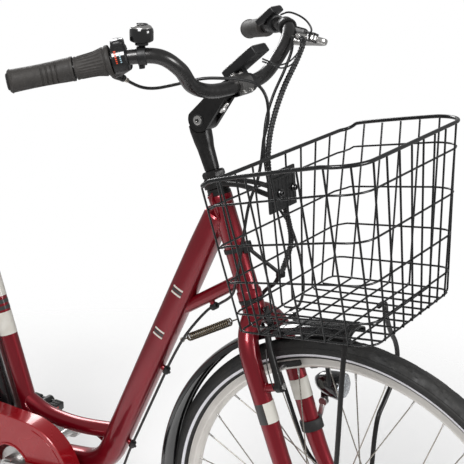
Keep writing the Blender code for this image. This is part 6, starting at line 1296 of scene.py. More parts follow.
def build_display():
    turn = tilt(radians(41))
    normal, ahead = turn.col[2].copy(), turn.col[0].copy()

    def bezel(name, centre, half_x, half_y, rise, shares, radius):
        corners = [centre + ahead * (x * half_x) + LEFT * (y * half_y) + normal * rise
                   for x, y in ((-1, -1), (1, -1), (1, 1), (-1, 1))]
        edge = Piece(name, BRUSHED, "stem")
        edge.sweep([a.lerp(b, t) for a, b in zip(corners, corners[1:] + corners[:1]) for t in shares], radius,
                   sides=8, cyclic=True)
        return edge

    centre = CLAMP_CENTRE + normal * 0.0288 + ahead * 0.0165 + LEFT * 0.025
    case = Piece("display_case", PLASTIC, "stem", "display")
    case.box(centre, (0.073, 0.041, 0.0145), turn, bevel=0.0022, segments=4)
    ring = CLAMP_CENTRE + LEFT * 0.0232
    case.collar(ring, LEFT, BAR_BORE, 0.0150, 0.0055, rise=0.0007)
    case.box(ring + normal * 0.0165, (0.016, 0.0110, 0.016), turn, bevel=0.001)
    for k in range(5):
        case.box(centre + ahead * 0.0362 + normal * (-0.0045 + 0.00225 * k), (0.0016, 0.036, 0.0009), turn,
                 bevel=0.0003, segments=1)
    bezel("display_edge", centre, 0.0350, 0.0190, 0.0070, (0.06, 0.30, 0.5, 0.70, 0.94), 0.0008)
    screen = Piece("display_screen_face", SCREEN, "stem")
    screen.box(centre + ahead * 0.006 + normal * 0.0070, (0.044, 0.031, 0.0010), turn, bevel=0.0004)
    keys = Piece("display_keys", RUBBER, "stem")
    for y in (-0.010, 0.0, 0.010):
        keys.box(centre - ahead * 0.0245 + LEFT * y + normal * 0.0074, (0.0075, 0.0070, 0.0014), turn)

    middle, inward = bar_place(0.160, 1)
    centre = middle + Vector((-0.006, 0.004, 0)) + normal * 0.0162
    unit = Piece("control_case", PLASTIC, "stem", "control_unit")
    unit.box(centre, (0.042, 0.034, 0.0110), turn, bevel=0.0024, segments=4)
    unit.collar(middle, inward, BAR_BORE, 0.0148, 0.007, rise=0.0008)
    unit.box(middle + normal * 0.0115, (0.016, 0.012, 0.008), turn)
    edge = bezel("control_edge", centre, 0.0198, 0.0158, 0.0053, (0.08, 0.35, 0.5, 0.65, 0.92), 0.0007)
    seat_point = centre + ahead * 0.009 + normal * 0.0055
    edge.lathe(mm([(6.9, -0.4), (7.9, -0.4), (7.9, 0.4), (7.4, 0.8), (6.9, 0.4)]), seat_point, normal, 40)
    button = Piece("control_button_cap", RUBBER, "control_button", "control_button")
    button.turned([(6.4, -2.4), (6.4, 0.4), (5.8, 1.2), (4, 1), (0, 0.8)], seat_point, normal, 40)
    rocker = Piece("control_rocker", RUBBER, "stem")
    rocker.box(centre - ahead * 0.0095 + normal * 0.0056, (0.011, 0.022, 0.0016), turn, bevel=0.0007)


# Cables and spring


BUNDLE_RADIUS = 0.0047
BUNDLE_POINTS = [
    (-0.2030, 0.1480, 1.1300), (-0.1918, 0.1350, 1.1231), (-0.1951, 0.1200, 1.0958), (-0.1996, 0.0950, 1.0619),
    (-0.2001, 0.0700, 1.0256), (-0.1981, 0.0500, 0.9889), (-0.1946, 0.0400, 0.9506), (-0.1900, 0.0430, 0.9199),
    (-0.1720, 0.0500, 0.8850), (-0.1710, 0.0800, 0.8080), (-0.1670, 0.0420, 0.7620)]
LEAD_POINTS = [
    (0.0250, 0.0400, 0.4320), (0.0020, 0.0375, 0.4220), (-0.0160, 0.0355, 0.4020), (-0.0190, 0.0350, 0.3750),
    (-0.0175, 0.0370, 0.3300), (-0.0150, 0.0385, 0.2600), (-0.0140, 0.0400, 0.1900), (-0.0125, 0.0430, 0.1400),
    (-0.0070, 0.0580, 0.0980), (0.0100, 0.0690, 0.0550), (0.0320, 0.0800, 0.0220), (0.0470, 0.0860, 0.0030),
    (0.0500, 0.0830, 0.0), (0.0500, 0.0750, 0.0)]
BRAKE_POINTS = [
    (-0.2200, 0.1480, 1.1300), (-0.2110, 0.1330, 1.1130), (-0.2110, 0.1120, 1.0830), (-0.2150, 0.0850, 1.0450),
    (-0.2140, 0.0620, 1.0050), (-0.2100, 0.0530, 0.9600), (-0.2050, 0.0590, 0.9100), (-0.1960, 0.0760, 0.8650),
    (-0.1820, 0.1000, 0.8200), (-0.1600, 0.0980, 0.7620), (-0.1430, 0.0760, 0.7250), (-0.1400, 0.0580, 0.7080),
    (-0.1400, 0.0420, 0.7085), (-0.1400, 0.0, 0.7085), (-0.1400, -0.0400, 0.7085)]
GEAR_POINTS = [
    (-0.3180, -0.1650, 1.0985), (-0.3090, -0.1400, 1.0840), (-0.2890, -0.1250, 1.0820), (-0.2560, -0.1000, 1.0905),
    (-0.2330, -0.0850, 1.0965), (-0.2090, -0.0690, 1.0970), (-0.1850, -0.0540, 1.0950), (-0.1640, -0.0430, 1.0880),
    (-0.1520, -0.0370, 1.0680), (-0.1510, -0.0330, 1.0350), (-0.1600, -0.0300, 1.0035), (-0.1625, -0.0310, 0.9722),
    (-0.1690, -0.0320, 0.9363), (-0.1840, -0.0320, 0.8930), (-0.2020, -0.0300, 0.7900), (-0.2220, -0.0160, 0.7330)]
GEAR_TAIL = [
    (-0.5000, 0.0020, 0.2820), (-0.5950, 0.0120, 0.2600), (-0.6800, 0.0330, 0.2610), (-0.7400, 0.0480, 0.2700),
    (-0.7950, 0.0510, 0.2790), (-0.8500, 0.0560, 0.2910), (-0.9500, 0.0640, 0.3060), (-1.0500, 0.0730, 0.3200),
    (-1.1200, 0.0850, 0.3350), (-1.1700, 0.0980, 0.3460), (-1.1890, 0.1000, 0.3490), (-1.1900, 0.0915, 0.3490)]


def gear_route():
    points = smooth_route([at(*p) for p in GEAR_POINTS], 2)
    points += [STRUT_CLIP + STRUT * 0.012, STRUT_CLIP - STRUT * 0.012, at(-0.3150, -0.0130, 0.6400)]
    for share in CLIP_SHARES:
        middle = HEAD_JOINT.lerp(DOWN_CORNER, share) + OUTWARD * CLIP_REACH
        points += [middle - DOWN * 0.012, middle + DOWN * 0.012]
    return points + [at(*p) for p in GEAR_TAIL]


def build_cables():
    steering_bend = (("steering", "stem"), (0.40, 0, 0.98), (0.39, 0, 1.10))
    route = flow(gear_route(), 0.005)
    parting = at(-0.1625, -0.0310, 0.9722)
    middle = min(range(len(route)), key=lambda k: (route[k] - parting).length)
    for name, part, bend in (
            ("gear_cable_upper", route[:middle + 1], (("steering", "stem"), (0.43, 0, 0.985), (0.43, 0, 1.075))),
            ("gear_cable_sheath", route[middle:], (("frame", "steering"), (0.36, 0, 0.74), (0.36, 0, 0.955)))):
        gear = Piece(name, CABLE, "frame", "gear_cable")
        gear.sweep(part, 0.0024, sides=14, chamfer=0.0)
        gear.bend, gear.cord = bend, (part, 0.0048, "stiff")

    brake = Piece("brake_cable_sheath", CABLE, "steering", "brake_cable")
    route = flow([at(*p) for p in BRAKE_POINTS], 0.004)
    totals = lengths_along(route)
    radii = [1.0 if totals[-1] - t > 0.070 else 0.42 for t in totals]
    brake.sweep(route, 0.0024, radii=radii, sides=14, chamfer=0.0)
    brake.bend, brake.cord = steering_bend, (route, 0.0048, "stiff")

    upper = smooth_route([at(*p) for p in BUNDLE_POINTS], 2)
    route, radii = flow(upper + [steer(*p) for p in LEAD_POINTS], 0.0035,
                        [1.0] * len(upper) + [0.70] * len(LEAD_POINTS))
    totals = lengths_along(route)
    wrap_end = lengths_along(flow(upper, 0.0035))[-1]
    bundle = Piece("wire_bundle_core", WRAP, "steering", "wire_bundle")
    core = [r * (0.90 if t < wrap_end else 1.0) for r, t in zip(radii, totals)]
    bundle.sweep(route, BUNDLE_RADIUS, radii=core, sides=16, chamfer=0.0)
    pitch, per_turn = 0.0052, 12
    helix = []
    normal = before = None
    for step in range(int((wrap_end - 0.012) / pitch) * per_turn):
        point, heading = point_along(route, 0.004 + pitch * step / per_turn, totals)
        normal = before.rotation_difference(heading) @ normal if before else heading.orthogonal().normalized()
        normal = (normal - heading * normal.dot(heading)).normalized()
        before = heading
        angle = 2 * pi * step / per_turn
        helix.append(point + 0.0039 * (cos(angle) * normal + sin(angle) * heading.cross(normal)))
    bundle.sweep(helix, 0.0012, sides=6, chamfer=0.0)
    high, low = (point_along(route, wrap_end * share, totals)[0] for share in (0.55, 0.62))
    bundle.sweep([high, high.lerp(low, 0.5), low], 0.0056, sides=24)
    bundle.bend, bundle.cord = steering_bend, (route, 2 * BUNDLE_RADIUS, "medium")

    wires = []
    for name, lag in (("display_wire", 0.0), ("brake_switch_wire", 0.0042)):
        wires.append((name, 0.0013, 0.004, [
            (-0.2030, 0.030, 1.1130 - lag), (-0.1930 + lag, 0.037, 1.1080 - lag),
            (-0.1885 + lag, 0.055, 1.1010 - lag), (-0.1870 + lag, 0.088, 1.1030 - lag),
            (-0.1885, 0.118, 1.1150 - 0.7 * lag), (-0.1935, 0.138, 1.1230 - 0.7 * lag)]))
    wires.append(("control_wire", 0.0016, 0.003, [
        (-0.2440, 0.150, 1.1640), (-0.2300, 0.150, 1.1690), (-0.2130, 0.150, 1.1665),
        (-0.1930, 0.147, 1.1580), (-0.1820, 0.144, 1.1450), (-0.1860, 0.142, 1.1350)]))
    for name, radius, spacing, points in wires:
        route = flow([at(*p) for p in points], spacing)
        wire = Piece(name, CABLE, "stem")
        wire.sweep(route, radius, sides=12, chamfer=0.0)
        wire.cord = (route, 2 * radius, "medium")


def build_spring():
    """One unbroken wire from its hook on the frame to its hook on the fork."""
    start, end = at(-0.3305, 0, 0.6195), at(-0.2270, 0, 0.6805)
    axis = (end - start).normalized()
    rise = axis.cross(LEFT)
    turns, per_turn, hook = 23, 18, 0.008
    count = turns * per_turn
    points = [start - axis * 0.004, start + axis * 0.002]
    for step in range(count + 1):
        share = step / count
        angle = 2 * pi * step / per_turn
        reach = 0.0060 * max(0.12, min(1.0, share * turns / 0.8, (1 - share) * turns / 0.8))
        points.append(start + axis * (hook + ((end - start).length - 2 * hook) * share)
                      + reach * (cos(angle) * LEFT + sin(angle) * rise))
    points += [end - axis * 0.002, end + axis * 0.004]
    spring = Piece("steering_spring_coil", SPRING_STEEL, "frame", "steering_spring", smooth=60)
    spring.sweep(points, 0.00125, sides=9, chamfer=0.0)
    spring.bend = (("frame", "steering"), tuple(start), tuple(end))
    eyes = Piece("spring_eyes", STEEL, "frame")
    eyes.lathe(mm([(2.6, -1.2), (4.4, -1.2), (4.4, 1.2), (2.6, 1.2)]), start - axis * 0.0052, LEFT, 24)


def build_cable_guide():
    guide = Piece("cable_guide_arm", PLASTIC, "frame", "cable_guide")
    guide.box(steer(HEAD_RADIUS + 0.0045, 0, 0.507), (0.0098, 0.016, 0.018), tilt(0.5 * pi - HEAD_ANGLE),
              bevel=0.0014)
    guide.lathe(mm([(0.4, -3.5), (1.8, -3.5), (1.8, 3.5), (0.4, 3.5)], HEAD_RADIUS), steer(0, 0, 0.507), STEER_UP,
                56)
    ring, base = at(*BUNDLE_POINTS[-1]), steer(HEAD_RADIUS + 0.0060, 0, 0.504)
    guide.rod(base, ring - (ring - base).normalized() * 0.0065, 0.0032)
    guide.collar(ring, UP, 0.0053, 0.0078, 0.004, edge=0.0004, rise=0.0005, steps=40)


# Brakes, axles and headlight


def build_brake_arms():
    radial = (steer(0.0455, 0, 0.3105) - FRONT_AXLE).normalized()
    place = FRONT_AXLE + (RIM_OUTER - 0.0065) * radial
    tangent = LEFT.cross(radial)
    turn = turned_to(tangent, LEFT, radial)
    near = 0.5 * RIM_WIDTH + 0.0018
    for side, word in SIDES:
        body = "brake_arm_" + word
        arm = Piece("front_brake_arm_" + word + "_lever", SATIN, body, "front_brake_arm_" + word)
        arm.rod(boss(0.0400, side), boss(0.0510, side), 0.0095, edge=0.001)
        knots = [boss(0.0460, side), steer(0.0458, side * 0.0530, 0.310), steer(0.0445, side * 0.0490, 0.345),
                 steer(0.0425, side * 0.0400, 0.378)]
        route, radii = flow(knots, 0.004, [1.25, 1.05, 0.95, 0.80])
        arm.sweep(route, 0.0054, radii=radii, section=squared(3.0, 28), up=STEER_FORWARD)
        arm.sweep(flow([steer(0.0385, side * (FORK_SPREAD + 0.008), 0.284),
                        steer(0.0385, side * (FORK_SPREAD + 0.0075), 0.320),
                        steer(0.0400, side * 0.0540, 0.350)], 0.005), 0.0010, sides=8)
        pad = Piece("front_brake_pad_" + word, RUBBER, body)
        pad.box(place + side * (near + 0.0040) * LEFT, (0.052, 0.0078, 0.0090), turn, bevel=0.0016)
        for k in (-1, 0, 1):
            pad.box(place + side * (near + 0.0008) * LEFT + tangent * k * 0.013, (0.0105, 0.0016, 0.0088), turn,
                    bevel=0.0005)
        pad.box(place + side * (near + 0.0088) * LEFT, (0.046, 0.0022, 0.0074), turn, bevel=0.0008)
        bits = Piece("front_brake_bolts_" + word, SILVER, body)
        bits.rod(place + side * (near + 0.008) * LEFT, place + side * 0.056 * LEFT, 0.0034)
        bits.turned([(6.2, 0), (6.2, 3), (5.4, 3.8)], place + side * 0.0535 * LEFT, side * LEFT, 6)
        bits.turned([(4.8, 0), (5, 1.8), (4, 3)], steer(0.0420, side * 0.0400, 0.374), STEER_FORWARD, 24)


def hex_nut(piece, place, axis, height=0.0095, reach=0.0092):
    profile = [(0.0, 0.0), (reach * 0.96, 0.0), (reach, 0.0005), (reach, height - 0.0008),
               (reach * 0.93, height), (0.0, height)]
    piece.lathe(profile, place, axis, 6, closed=False)


def build_axles():
    for word, body, middle, half, spread in (
            ("front", "steering", FRONT_AXLE, 0.0740, FORK_SPREAD + 0.003),
            ("rear", "frame", REAR_AXLE, 0.0900, REAR_DROPOUT_INNER + DROPOUT_PLATE)):
        axle = Piece(word + "_axle_rod", STEEL, body, word + "_axle", smooth=25, slot="silver")
        axle.pin(middle, LEFT, half, AXLE_RADIUS, edge=0.0008)
        for side in BOTH:
            near = middle + side * (spread + 0.0038) * LEFT
            hex_nut(axle, near, side * LEFT)
            axle.rod(near - side * 0.0004 * LEFT, near + side * 0.0012 * LEFT, 0.0105)
        if word == "rear":
            coaster_end = REAR_AXLE + Vector((0.135, 0, -0.072))
            axle.plate(hull_outline(REAR_AXLE, 0.0120, coaster_end, 0.0065, 18), 0.0563, 0.0583)


def build_headlight():
    pivot = at(-0.0990, 0.0, 0.5350)
    bracket = Piece("headlight_bracket_band", RUBBER, "steering", "headlight_bracket", slot="black_plastic")
    bracket.collar(steer(LEG_FORWARD + 0.0004, FORK_SPREAD, 0.181), STEER_UP, 0.0164, 0.0194, 0.009,
                   edge=0.0004, steps=56)
    ear = pivot + 0.0790 * LEFT
    start = steer(LEG_FORWARD + 0.005, FORK_SPREAD + 0.0155, 0.181)
    stop = ear - (ear - start).normalized() * 0.0045
    strap = Piece("headlight_bracket_strap", BRUSHED, "steering")
    strap.sweep([start, start.lerp(stop, 0.5) + 0.001 * LEFT, stop], 0.0030,
                section=[(0.45 * a, 1.6 * b) for a, b in squared(4.0, 24)], up=FORWARD)
    strap.pin(ear, LEFT, 0.0020, 0.0078)
    strap.rod(ear, ear + 0.0095 * LEFT, 0.0025)
    hex_nut(strap, ear + 0.0078 * LEFT, LEFT, height=0.0030, reach=0.0050)

    lens = at(-0.0660, 0.0850, 0.5690)
    aim = Vector((1.0, 0.0, -0.05)).normalized()
    shell = Piece("headlight_shell", GLOSS, "headlight", "headlight")
    shell.turned([(0, -52), (6, -51.2), (12, -46), (16.5, -39.5), (20, -30), (22.4, -19), (23.3, -12), (23.7, -6),
                  (23.7, -0.8), (23.1, 0.4), (21.9, 0.4), (21.5, -1), (21.4, -4), (20.5, -6), (19.5, -24),
                  (0, -26)], lens, aim, 72)
    low = pivot + 0.0838 * LEFT
    shell.pin(low, LEFT, 0.0025, 0.0075)
    shell.box(low + 0.010 * UP, (0.013, 0.0050, 0.020), bevel=0.001)
    for k in range(5):
        shell.box(lens - aim * (0.030 + 0.0028 * k) + UP * (0.0185 - 0.0013 * k), (0.0012, 0.012, 0.0022),
                  bevel=0.0004, segments=1)
    cup = Piece("headlight_reflector", REFLECTOR, "headlight")
    bowl = [(0.0204 * sqrt(k / 10), -0.0225 + 0.00165 * k) for k in range(11)]
    cup.lathe(bowl + [(r + 0.0006, h - 0.0006) for r, h in bowl[:0:-1]] + [(0.0, -0.0235)], lens, aim, 48,
              closed=False, ripple=lambda k, j: 0.00035 * (k % 4 < 2) if 2 < j < 10 else 0.0)
    cup.turned([(4, -22.5), (4, -12), (2.6, -9), (0, -8.4)], lens, aim, 24)
    glass = Piece("headlight_lens", LENS, "headlight")
    glass.turned([(0, 10), (8, 9.2), (15, 6.6), (19.5, 3), (22.2, 0.8), (22.2, -0.6), (19.5, -1.2), (15, 4.4),
                  (8, 7), (0, 7.8)], lens, aim, 72)
    for k in range(-4, 5):
        height = 0.0040 * k
        reach = sqrt(0.0185 ** 2 - height ** 2)
        dome = 0.0060 * (1 - (height / 0.0205) ** 2)
        glass.sweep([lens + aim * (0.0036 + dome * (1 - t * t)) + UP * height + LEFT * (reach * t)
                     for t in (-1, -0.75, -0.5, -0.25, 0, 0.25, 0.5, 0.75, 1)], 0.0007, sides=6)


# Drive, battery, seat and rear


def toothed(piece, centre, pitch, teeth, bore):
    rim = (0.0026, 0.0016, -0.0010, -0.0032, -0.0038, -0.0032, -0.0010, 0.0016)
    rays = [ray(2 * pi * k / (8 * teeth)) for k in range(8 * teeth)]
    piece.ring_plate([centre + (pitch + rim[k % 8]) * out for k, out in enumerate(rays)],
                     [centre + bore * out for out in rays], -CHAIN_LINE - 0.001, -CHAIN_LINE + 0.001)


def build_drive():
    for side, word in SIDES:
        end = BRACKET + side * CRANK_LENGTH * ray(pi + CRANK_TILT)
        arm = Piece("crank_arm_" + word, BRUSHED, "cranks", "crank_" + word)
        arm.plate(hull_outline(BRACKET, 0.0165, end, 0.0125, 28), side * 0.0885, side * 0.1015, bevel=0.0030,
                  segments=4)
        if side < 0:
            arm.rod(BRACKET - 0.1000 * LEFT, BRACKET + 0.0975 * LEFT, 0.0085)
            arm.turned([(19.5, 96), (20, 95), (20, 74), (35.5, 73.5), (36, 72.8), (36, 70.5), (35, 69.8), (20, 69),
                        (20, 44)], BRACKET, -LEFT, 72)
            toothed(arm, BRACKET, CHAINRING_PITCH, 40, 0.0195)
            for k in range(5):
                out = ray(2 * pi * k / 5 + 0.3)
                arm.sweep([BRACKET + out * reach - CHAIN_LINE * LEFT for reach in (0.015, 0.04, 0.0645)], 0.0045,
                          section=[(0.3 * a, b) for a, b in squared(3.0, 20)], up=out.cross(LEFT))
        arm.rod(end + side * 0.095 * LEFT, end + side * 0.200 * LEFT, 0.0055)
        cap = Piece("crank_cap_" + word, PLASTIC, "cranks")
        cap.turned([(10, 0), (10.4, 1.2), (8, 2.4), (0, 2.6)], BRACKET + side * 0.1013 * LEFT, side * LEFT, 36)

        name = "pedal_" + word
        near, far = (end + side * y * LEFT for y in (0.1105, 0.2065))
        middle = near.lerp(far, 0.5)
        pedal = Piece(name + "_body", PLASTIC, name, name)
        pedal.rod(near, far, 0.0115, edge=0.0012)
        for across in (-0.040, 0.0, 0.040):
            pedal.box(middle + across * LEFT, (0.050, 0.005, 0.012), bevel=0.0008)
        grips = Piece(name + "_treads", RUBBER, name)
        reflect = Piece(name + "_reflectors", LENS_RED, name)
        for ahead in BOTH:
            block = middle + ahead * 0.030 * FORWARD
            pedal.box(block, (0.022, 0.088, 0.0170), bevel=0.0025)
            for k in range(9):
                grips.box(block + (0.0095 * k - 0.038) * LEFT, (0.019, 0.0052, 0.0200), bevel=0.0009, segments=2)
            reflect.box(middle + ahead * 0.0408 * FORWARD, (0.0010, 0.052, 0.009), bevel=0.0003, segments=1)

    chain = Piece("chain_links", CHAIN_STEEL, "frame", "chain", smooth=30)
    route = hull_outline(REAR_AXLE, SPROCKET_PITCH, BRACKET, CHAINRING_PITCH, 40)
    route.append(route[0])
    totals = lengths_along(route)
    links = 2 * round(totals[-1] / 0.0254)
    pins = [point_along(route, totals[-1] * k / links, totals)[0] for k in range(links)]
    for k, place in enumerate(pins):
        outline = hull_outline(place, 0.0041, pins[(k + 1) % links], 0.0041001, 5)
        offset = 0.0028 if k % 2 else 0.0019
        for side in BOTH:
            chain.plate(outline, side * offset - CHAIN_LINE, side * (offset + 0.0007) - CHAIN_LINE, bevel=0.0)
        for half, radius, sides in ((0.0034, 0.0018, 8), (0.0016, 0.0037, 12)):
            chain.pin(place - CHAIN_LINE * LEFT, LEFT, half, radius, sides=sides)
    sprocket = Piece("rear_sprocket_ring", CHAIN_STEEL, "rear_sprocket", "rear_sprocket")
    toothed(sprocket, REAR_AXLE, SPROCKET_PITCH, 18, 0.0178)
    sprocket.lathe(mm([(17.5, 0.8), (17.5, 5), (22.5, 5), (23, 4.4), (23, 0.8)], height=CHAIN_LINE), REAR_AXLE,
                   -LEFT, 60)


CASE_CENTRE = BRACKET + Vector((0.040, 0, -0.005))


def case_outline(shrink):
    end_x = REAR_AXLE.x + 0.080
    top_end = Vector((end_x, 0, REAR_AXLE.z + 0.051 - shrink))
    low_end = Vector((end_x, 0, REAR_AXLE.z - 0.052 + shrink))
    top = BRACKET + Vector((-0.040, 0, 0.106 - shrink))
    low = BRACKET + Vector((-0.020, 0, -0.115 + shrink))
    return ([top_end.lerp(top, t) for t in (0, 0.2, 0.4, 0.6, 0.8)] + [top]
            + arc(CASE_CENTRE, CASE_RADIUS - shrink, radians(92), radians(-92), 60)
            + [low] + [low.lerp(low_end, t) for t in (0.2, 0.4, 0.6, 0.8, 1.0)])


def build_chain_case():
    case = Piece("chain_case_shell", CASE_RED, "frame", "chain_case")
    outer, inner, soft = (case_outline(shrink) for shrink in (0.0, CASE_WALL, 0.0012))
    case.grid([[Vector((p.x, y, p.z)) for p, y in (
        (s, -CASE_OUTER), (a, 0.0012 - CASE_OUTER), (a, -CASE_INNER), (b, -CASE_INNER), (b, 0.0005 - CASE_OUTER))]
        for a, s, b in zip(outer, soft, inner)])
    soft += [soft[-1].lerp(soft[0], t) for t in (0.15, 0.3, 0.45, 0.6, 0.75, 0.9)]
    opening = [BRACKET + CASE_OPENING * (p - BRACKET).normalized() for p in soft]
    case.ring_plate(soft, opening, -CASE_OUTER, 0.0019 - CASE_OUTER)
    case.lathe(mm([(44.8, -3), (48, -1), (48.6, 1.2), (47, 1.8), (45, 1.6)], height=CASE_OUTER), BRACKET, -LEFT, 96)
    case.lathe(mm([(9.5, 0.3), (24, 0.3), (24, 2.8), (9.5, 2.8)], height=BRACKET_SHELL_HALF), BRACKET, -LEFT, 48)
    for degrees in (80, 15, -60):
        wall = CASE_CENTRE + (CASE_RADIUS - 0.5 * CASE_WALL) * ray(radians(degrees))
        heading = (wall - BRACKET).normalized()
        foot = BRACKET - (BRACKET_SHELL_HALF + 0.0016) * LEFT
        case.sweep([foot + heading * 0.016, foot + heading * 0.092,
                    wall - heading * 0.002 - (CASE_INNER + 0.003) * LEFT, wall - (CASE_INNER + 0.005) * LEFT],
                   0.0012, sides=10)
    rib = arc(CASE_CENTRE - CASE_OUTER * LEFT, 0.90 * CASE_RADIUS, radians(80), radians(-80), 40)
    case.sweep(rib, 0.0011, sides=10)


def build_battery():
    turn = turned_to(-SEAT_UP.cross(LEFT), LEFT, SEAT_UP)
    near = SEAT_TUBE_RADIUS + GAP
    rail_far = near + RAIL_DEPTH
    first = rail_far + GAP
    centre, top = BATTERY_START + 0.5 * BATTERY_LENGTH, BATTERY_START + BATTERY_LENGTH
    rail = Piece("battery_rail_bar", BRUSHED, "frame", "battery_rail")
    rail.box(seat(centre, near + 0.5 * RAIL_DEPTH), (RAIL_DEPTH, 0.036, BATTERY_LENGTH - 0.012), turn, bevel=0.001)
    rail.box(seat(centre, rail_far + 0.002), (0.0070, 0.016, BATTERY_LENGTH - 0.020), turn)
    for k in (-1, 0, 1):
        for y in (-0.0125, 0.0125):
            rail.rod(*(seat(centre + 0.11 * k, rail_far + out, y) for out in (-0.001, 0.0002)), 0.0030)
    pack = Piece("battery_case", BATTERY, "battery", "battery")
    for low, high in ((0.0, 0.040), (0.0412, BATTERY_LENGTH - 0.0512), (BATTERY_LENGTH - 0.050, BATTERY_LENGTH)):
        pack.box(seat(BATTERY_START + 0.5 * (low + high), first + 0.5 * BATTERY_DEPTH),
                 (BATTERY_DEPTH, 2 * BATTERY_HALF_WIDTH, high - low), turn, bevel=0.0085, segments=6)
    pack.box(seat(centre, first + 0.5 * BATTERY_DEPTH),
             (BATTERY_DEPTH - 0.012, 2 * BATTERY_HALF_WIDTH - 0.003, BATTERY_LENGTH - 0.02), turn, bevel=0.008)
    trim = Piece("battery_trim", PLASTIC, "battery")
    for side in BOTH:
        for k in range(6):
            trim.box(seat(BATTERY_START + 0.075 + 0.010 * k, first + 0.034, side * (BATTERY_HALF_WIDTH - 0.0004)),
                     (0.040, 0.0016, 0.0040), turn)
    handle = [seat(top + up, first + back) for up, back in (
        (-0.002, 0.016), (0.002, 0.022), (0.002, 0.048), (-0.002, 0.054))]
    trim.sweep(flow(handle, 0.004), 0.0042)
    lock = Piece("battery_lock", SILVER, "battery")
    lock.turned([(9.5, 0), (9.5, 1), (8, 1.8), (6.2, 1.2), (0, 1.2)],
                seat(top - 0.026, first + 0.030, BATTERY_HALF_WIDTH - 0.0006), LEFT, 40)


def build_seat():
    clamp = Piece("seat_clamp_band", SATIN, "frame", "seat_clamp")
    base = SEAT_TUBE_LENGTH + GAP
    clamp.collar(seat(base + 0.0058, 0), SEAT_UP, SEATPOST_RADIUS + 0.0005, 0.0215, 0.0058, edge=0.0005,
                 rise=0.0008, steps=64)
    bolt = Piece("seat_clamp_bolt", STEEL, "frame")
    bolt.pin(seat(base + 0.006, 0.0200), LEFT, 0.011, 0.0032)
    post = Piece("seatpost_tube", SATIN, "seatpost", "seatpost")
    post.rod(seat(0.300, 0), seat(SEATPOST_TOP, 0), SEATPOST_RADIUS, sides=48)
    head = seat(SEATPOST_TOP + 0.004, 0)
    post.pin(head, LEFT, 0.030, 0.0150, edge=0.0014)
    marks = Piece("seatpost_lines", CREAM, "seatpost", slot="silver")
    for k in range(6):
        marks.sleeve(seat(0.520 + 0.010 * k, 0), seat(0.5206 + 0.010 * k, 0), SEATPOST_RADIUS + 0.0002)
    rails = Piece("saddle_rails", SILVER, "seatpost")
    base = head + 0.004 * UP
    for side in BOTH:
        knots = [base + Vector((x, side * y, z)) for x, y, z in (
            (0.100, 0.010, 0.052), (0.078, 0.020, 0.006), (0.0, 0.0220, 0.0), (-0.060, 0.030, 0.004),
            (-0.096, 0.045, 0.056))]
        rails.sweep(flow(knots, 0.005), 0.0034)
    build_saddle(base + Vector((-0.012, 0, 0.034)))


def build_saddle(middle):
    """Padded cover over a moulded base, with a sewn line round each side."""
    stations = [(-0.132, 0.056, 0.026, 0.012), (-0.122, 0.086, 0.042, 0.006), (-0.090, 0.102, 0.053, 0.0),
                (-0.040, 0.092, 0.053, 0.0), (0.020, 0.056, 0.047, 0.0), (0.080, 0.034, 0.043, 0.0),
                (0.116, 0.027, 0.039, 0.001), (0.132, 0.016, 0.028, 0.006)]
    curves = [flow([(s[0], s[index], 0) for s in stations], 0.003) for index in (1, 2, 3)]

    def sample(x):
        values = []
        for curve in curves:
            found = [a.y + (b.y - a.y) * (x - a.x) / max(b.x - a.x, 1e-9)
                     for a, b in zip(curve, curve[1:]) if a.x <= x <= b.x]
            values.append(found[0] if found else curve[-1].y)
        return values

    def point(x, y, z):
        return middle + Vector((x, y, z))

    spine = [(p.x, *sample(p.x)) for p in flow([(s[0], 0, 0) for s in stations], 0.005)]
    ring = [(p.x, p.y) for p in flow([
        (0.0, 0.04, 0), (0.45, 0.02, 0), (0.80, 0.03, 0), (0.97, 0.18, 0), (1.0, 0.40, 0), (0.93, 0.66, 0),
        (0.72, 0.90, 0), (0.38, 0.985, 0), (0.12, 0.955, 0), (0.0, 0.935, 0)], 0.06)]
    ring += [(-a, b) for a, b in reversed(ring[1:-1])]
    cover = Piece("saddle_padding", SADDLE, "seatpost", "saddle", smooth=180)
    cover.fill = 0.85
    rows = []
    for x, half, height, lift in spine:
        row = []
        for a, b in ring:
            groove = 0.0030 * exp(-(a * half / 0.010) ** 2) if b > 0.8 and -0.09 < x < 0.06 else 0.0
            puff = 0.0016 * exp(-((abs(a) * half - 0.052) / 0.022) ** 2) if x < -0.02 and b > 0.7 else 0.0
            row.append(point(x, a * half, lift + b * height - groove + puff))
        rows.append(row)
    cover.grid(rows)
    seam = Piece("saddle_seams", THREAD, "seatpost")
    for side in BOTH:
        line = [point(x, side * 0.936 * half, lift + 0.665 * height) for x, half, height, lift in spine[2:-2]]
        totals = lengths_along(line)
        for k in range(int(totals[-1] / 0.0046)):
            a, b = (point_along(line, 0.0046 * k + ahead, totals)[0] for ahead in (0.0, 0.0032))
            seam.sweep([a, a.lerp(b, 0.5) + Vector((0, side * 0.0003, 0.0003)), b], 0.00045, sides=6, chamfer=0.0)
    base = Piece("saddle_base", PLASTIC, "seatpost")
    base.grid([[point(x, a * half * 0.90, lift - 0.0010 + b) for a, b in (
        (-1, 0.006), (-0.98, 0.0), (-0.6, -0.0015), (0.0, -0.002), (0.6, -0.0015), (0.98, 0.0), (1, 0.006))]
        for x, half, height, lift in spine[2:-2]])


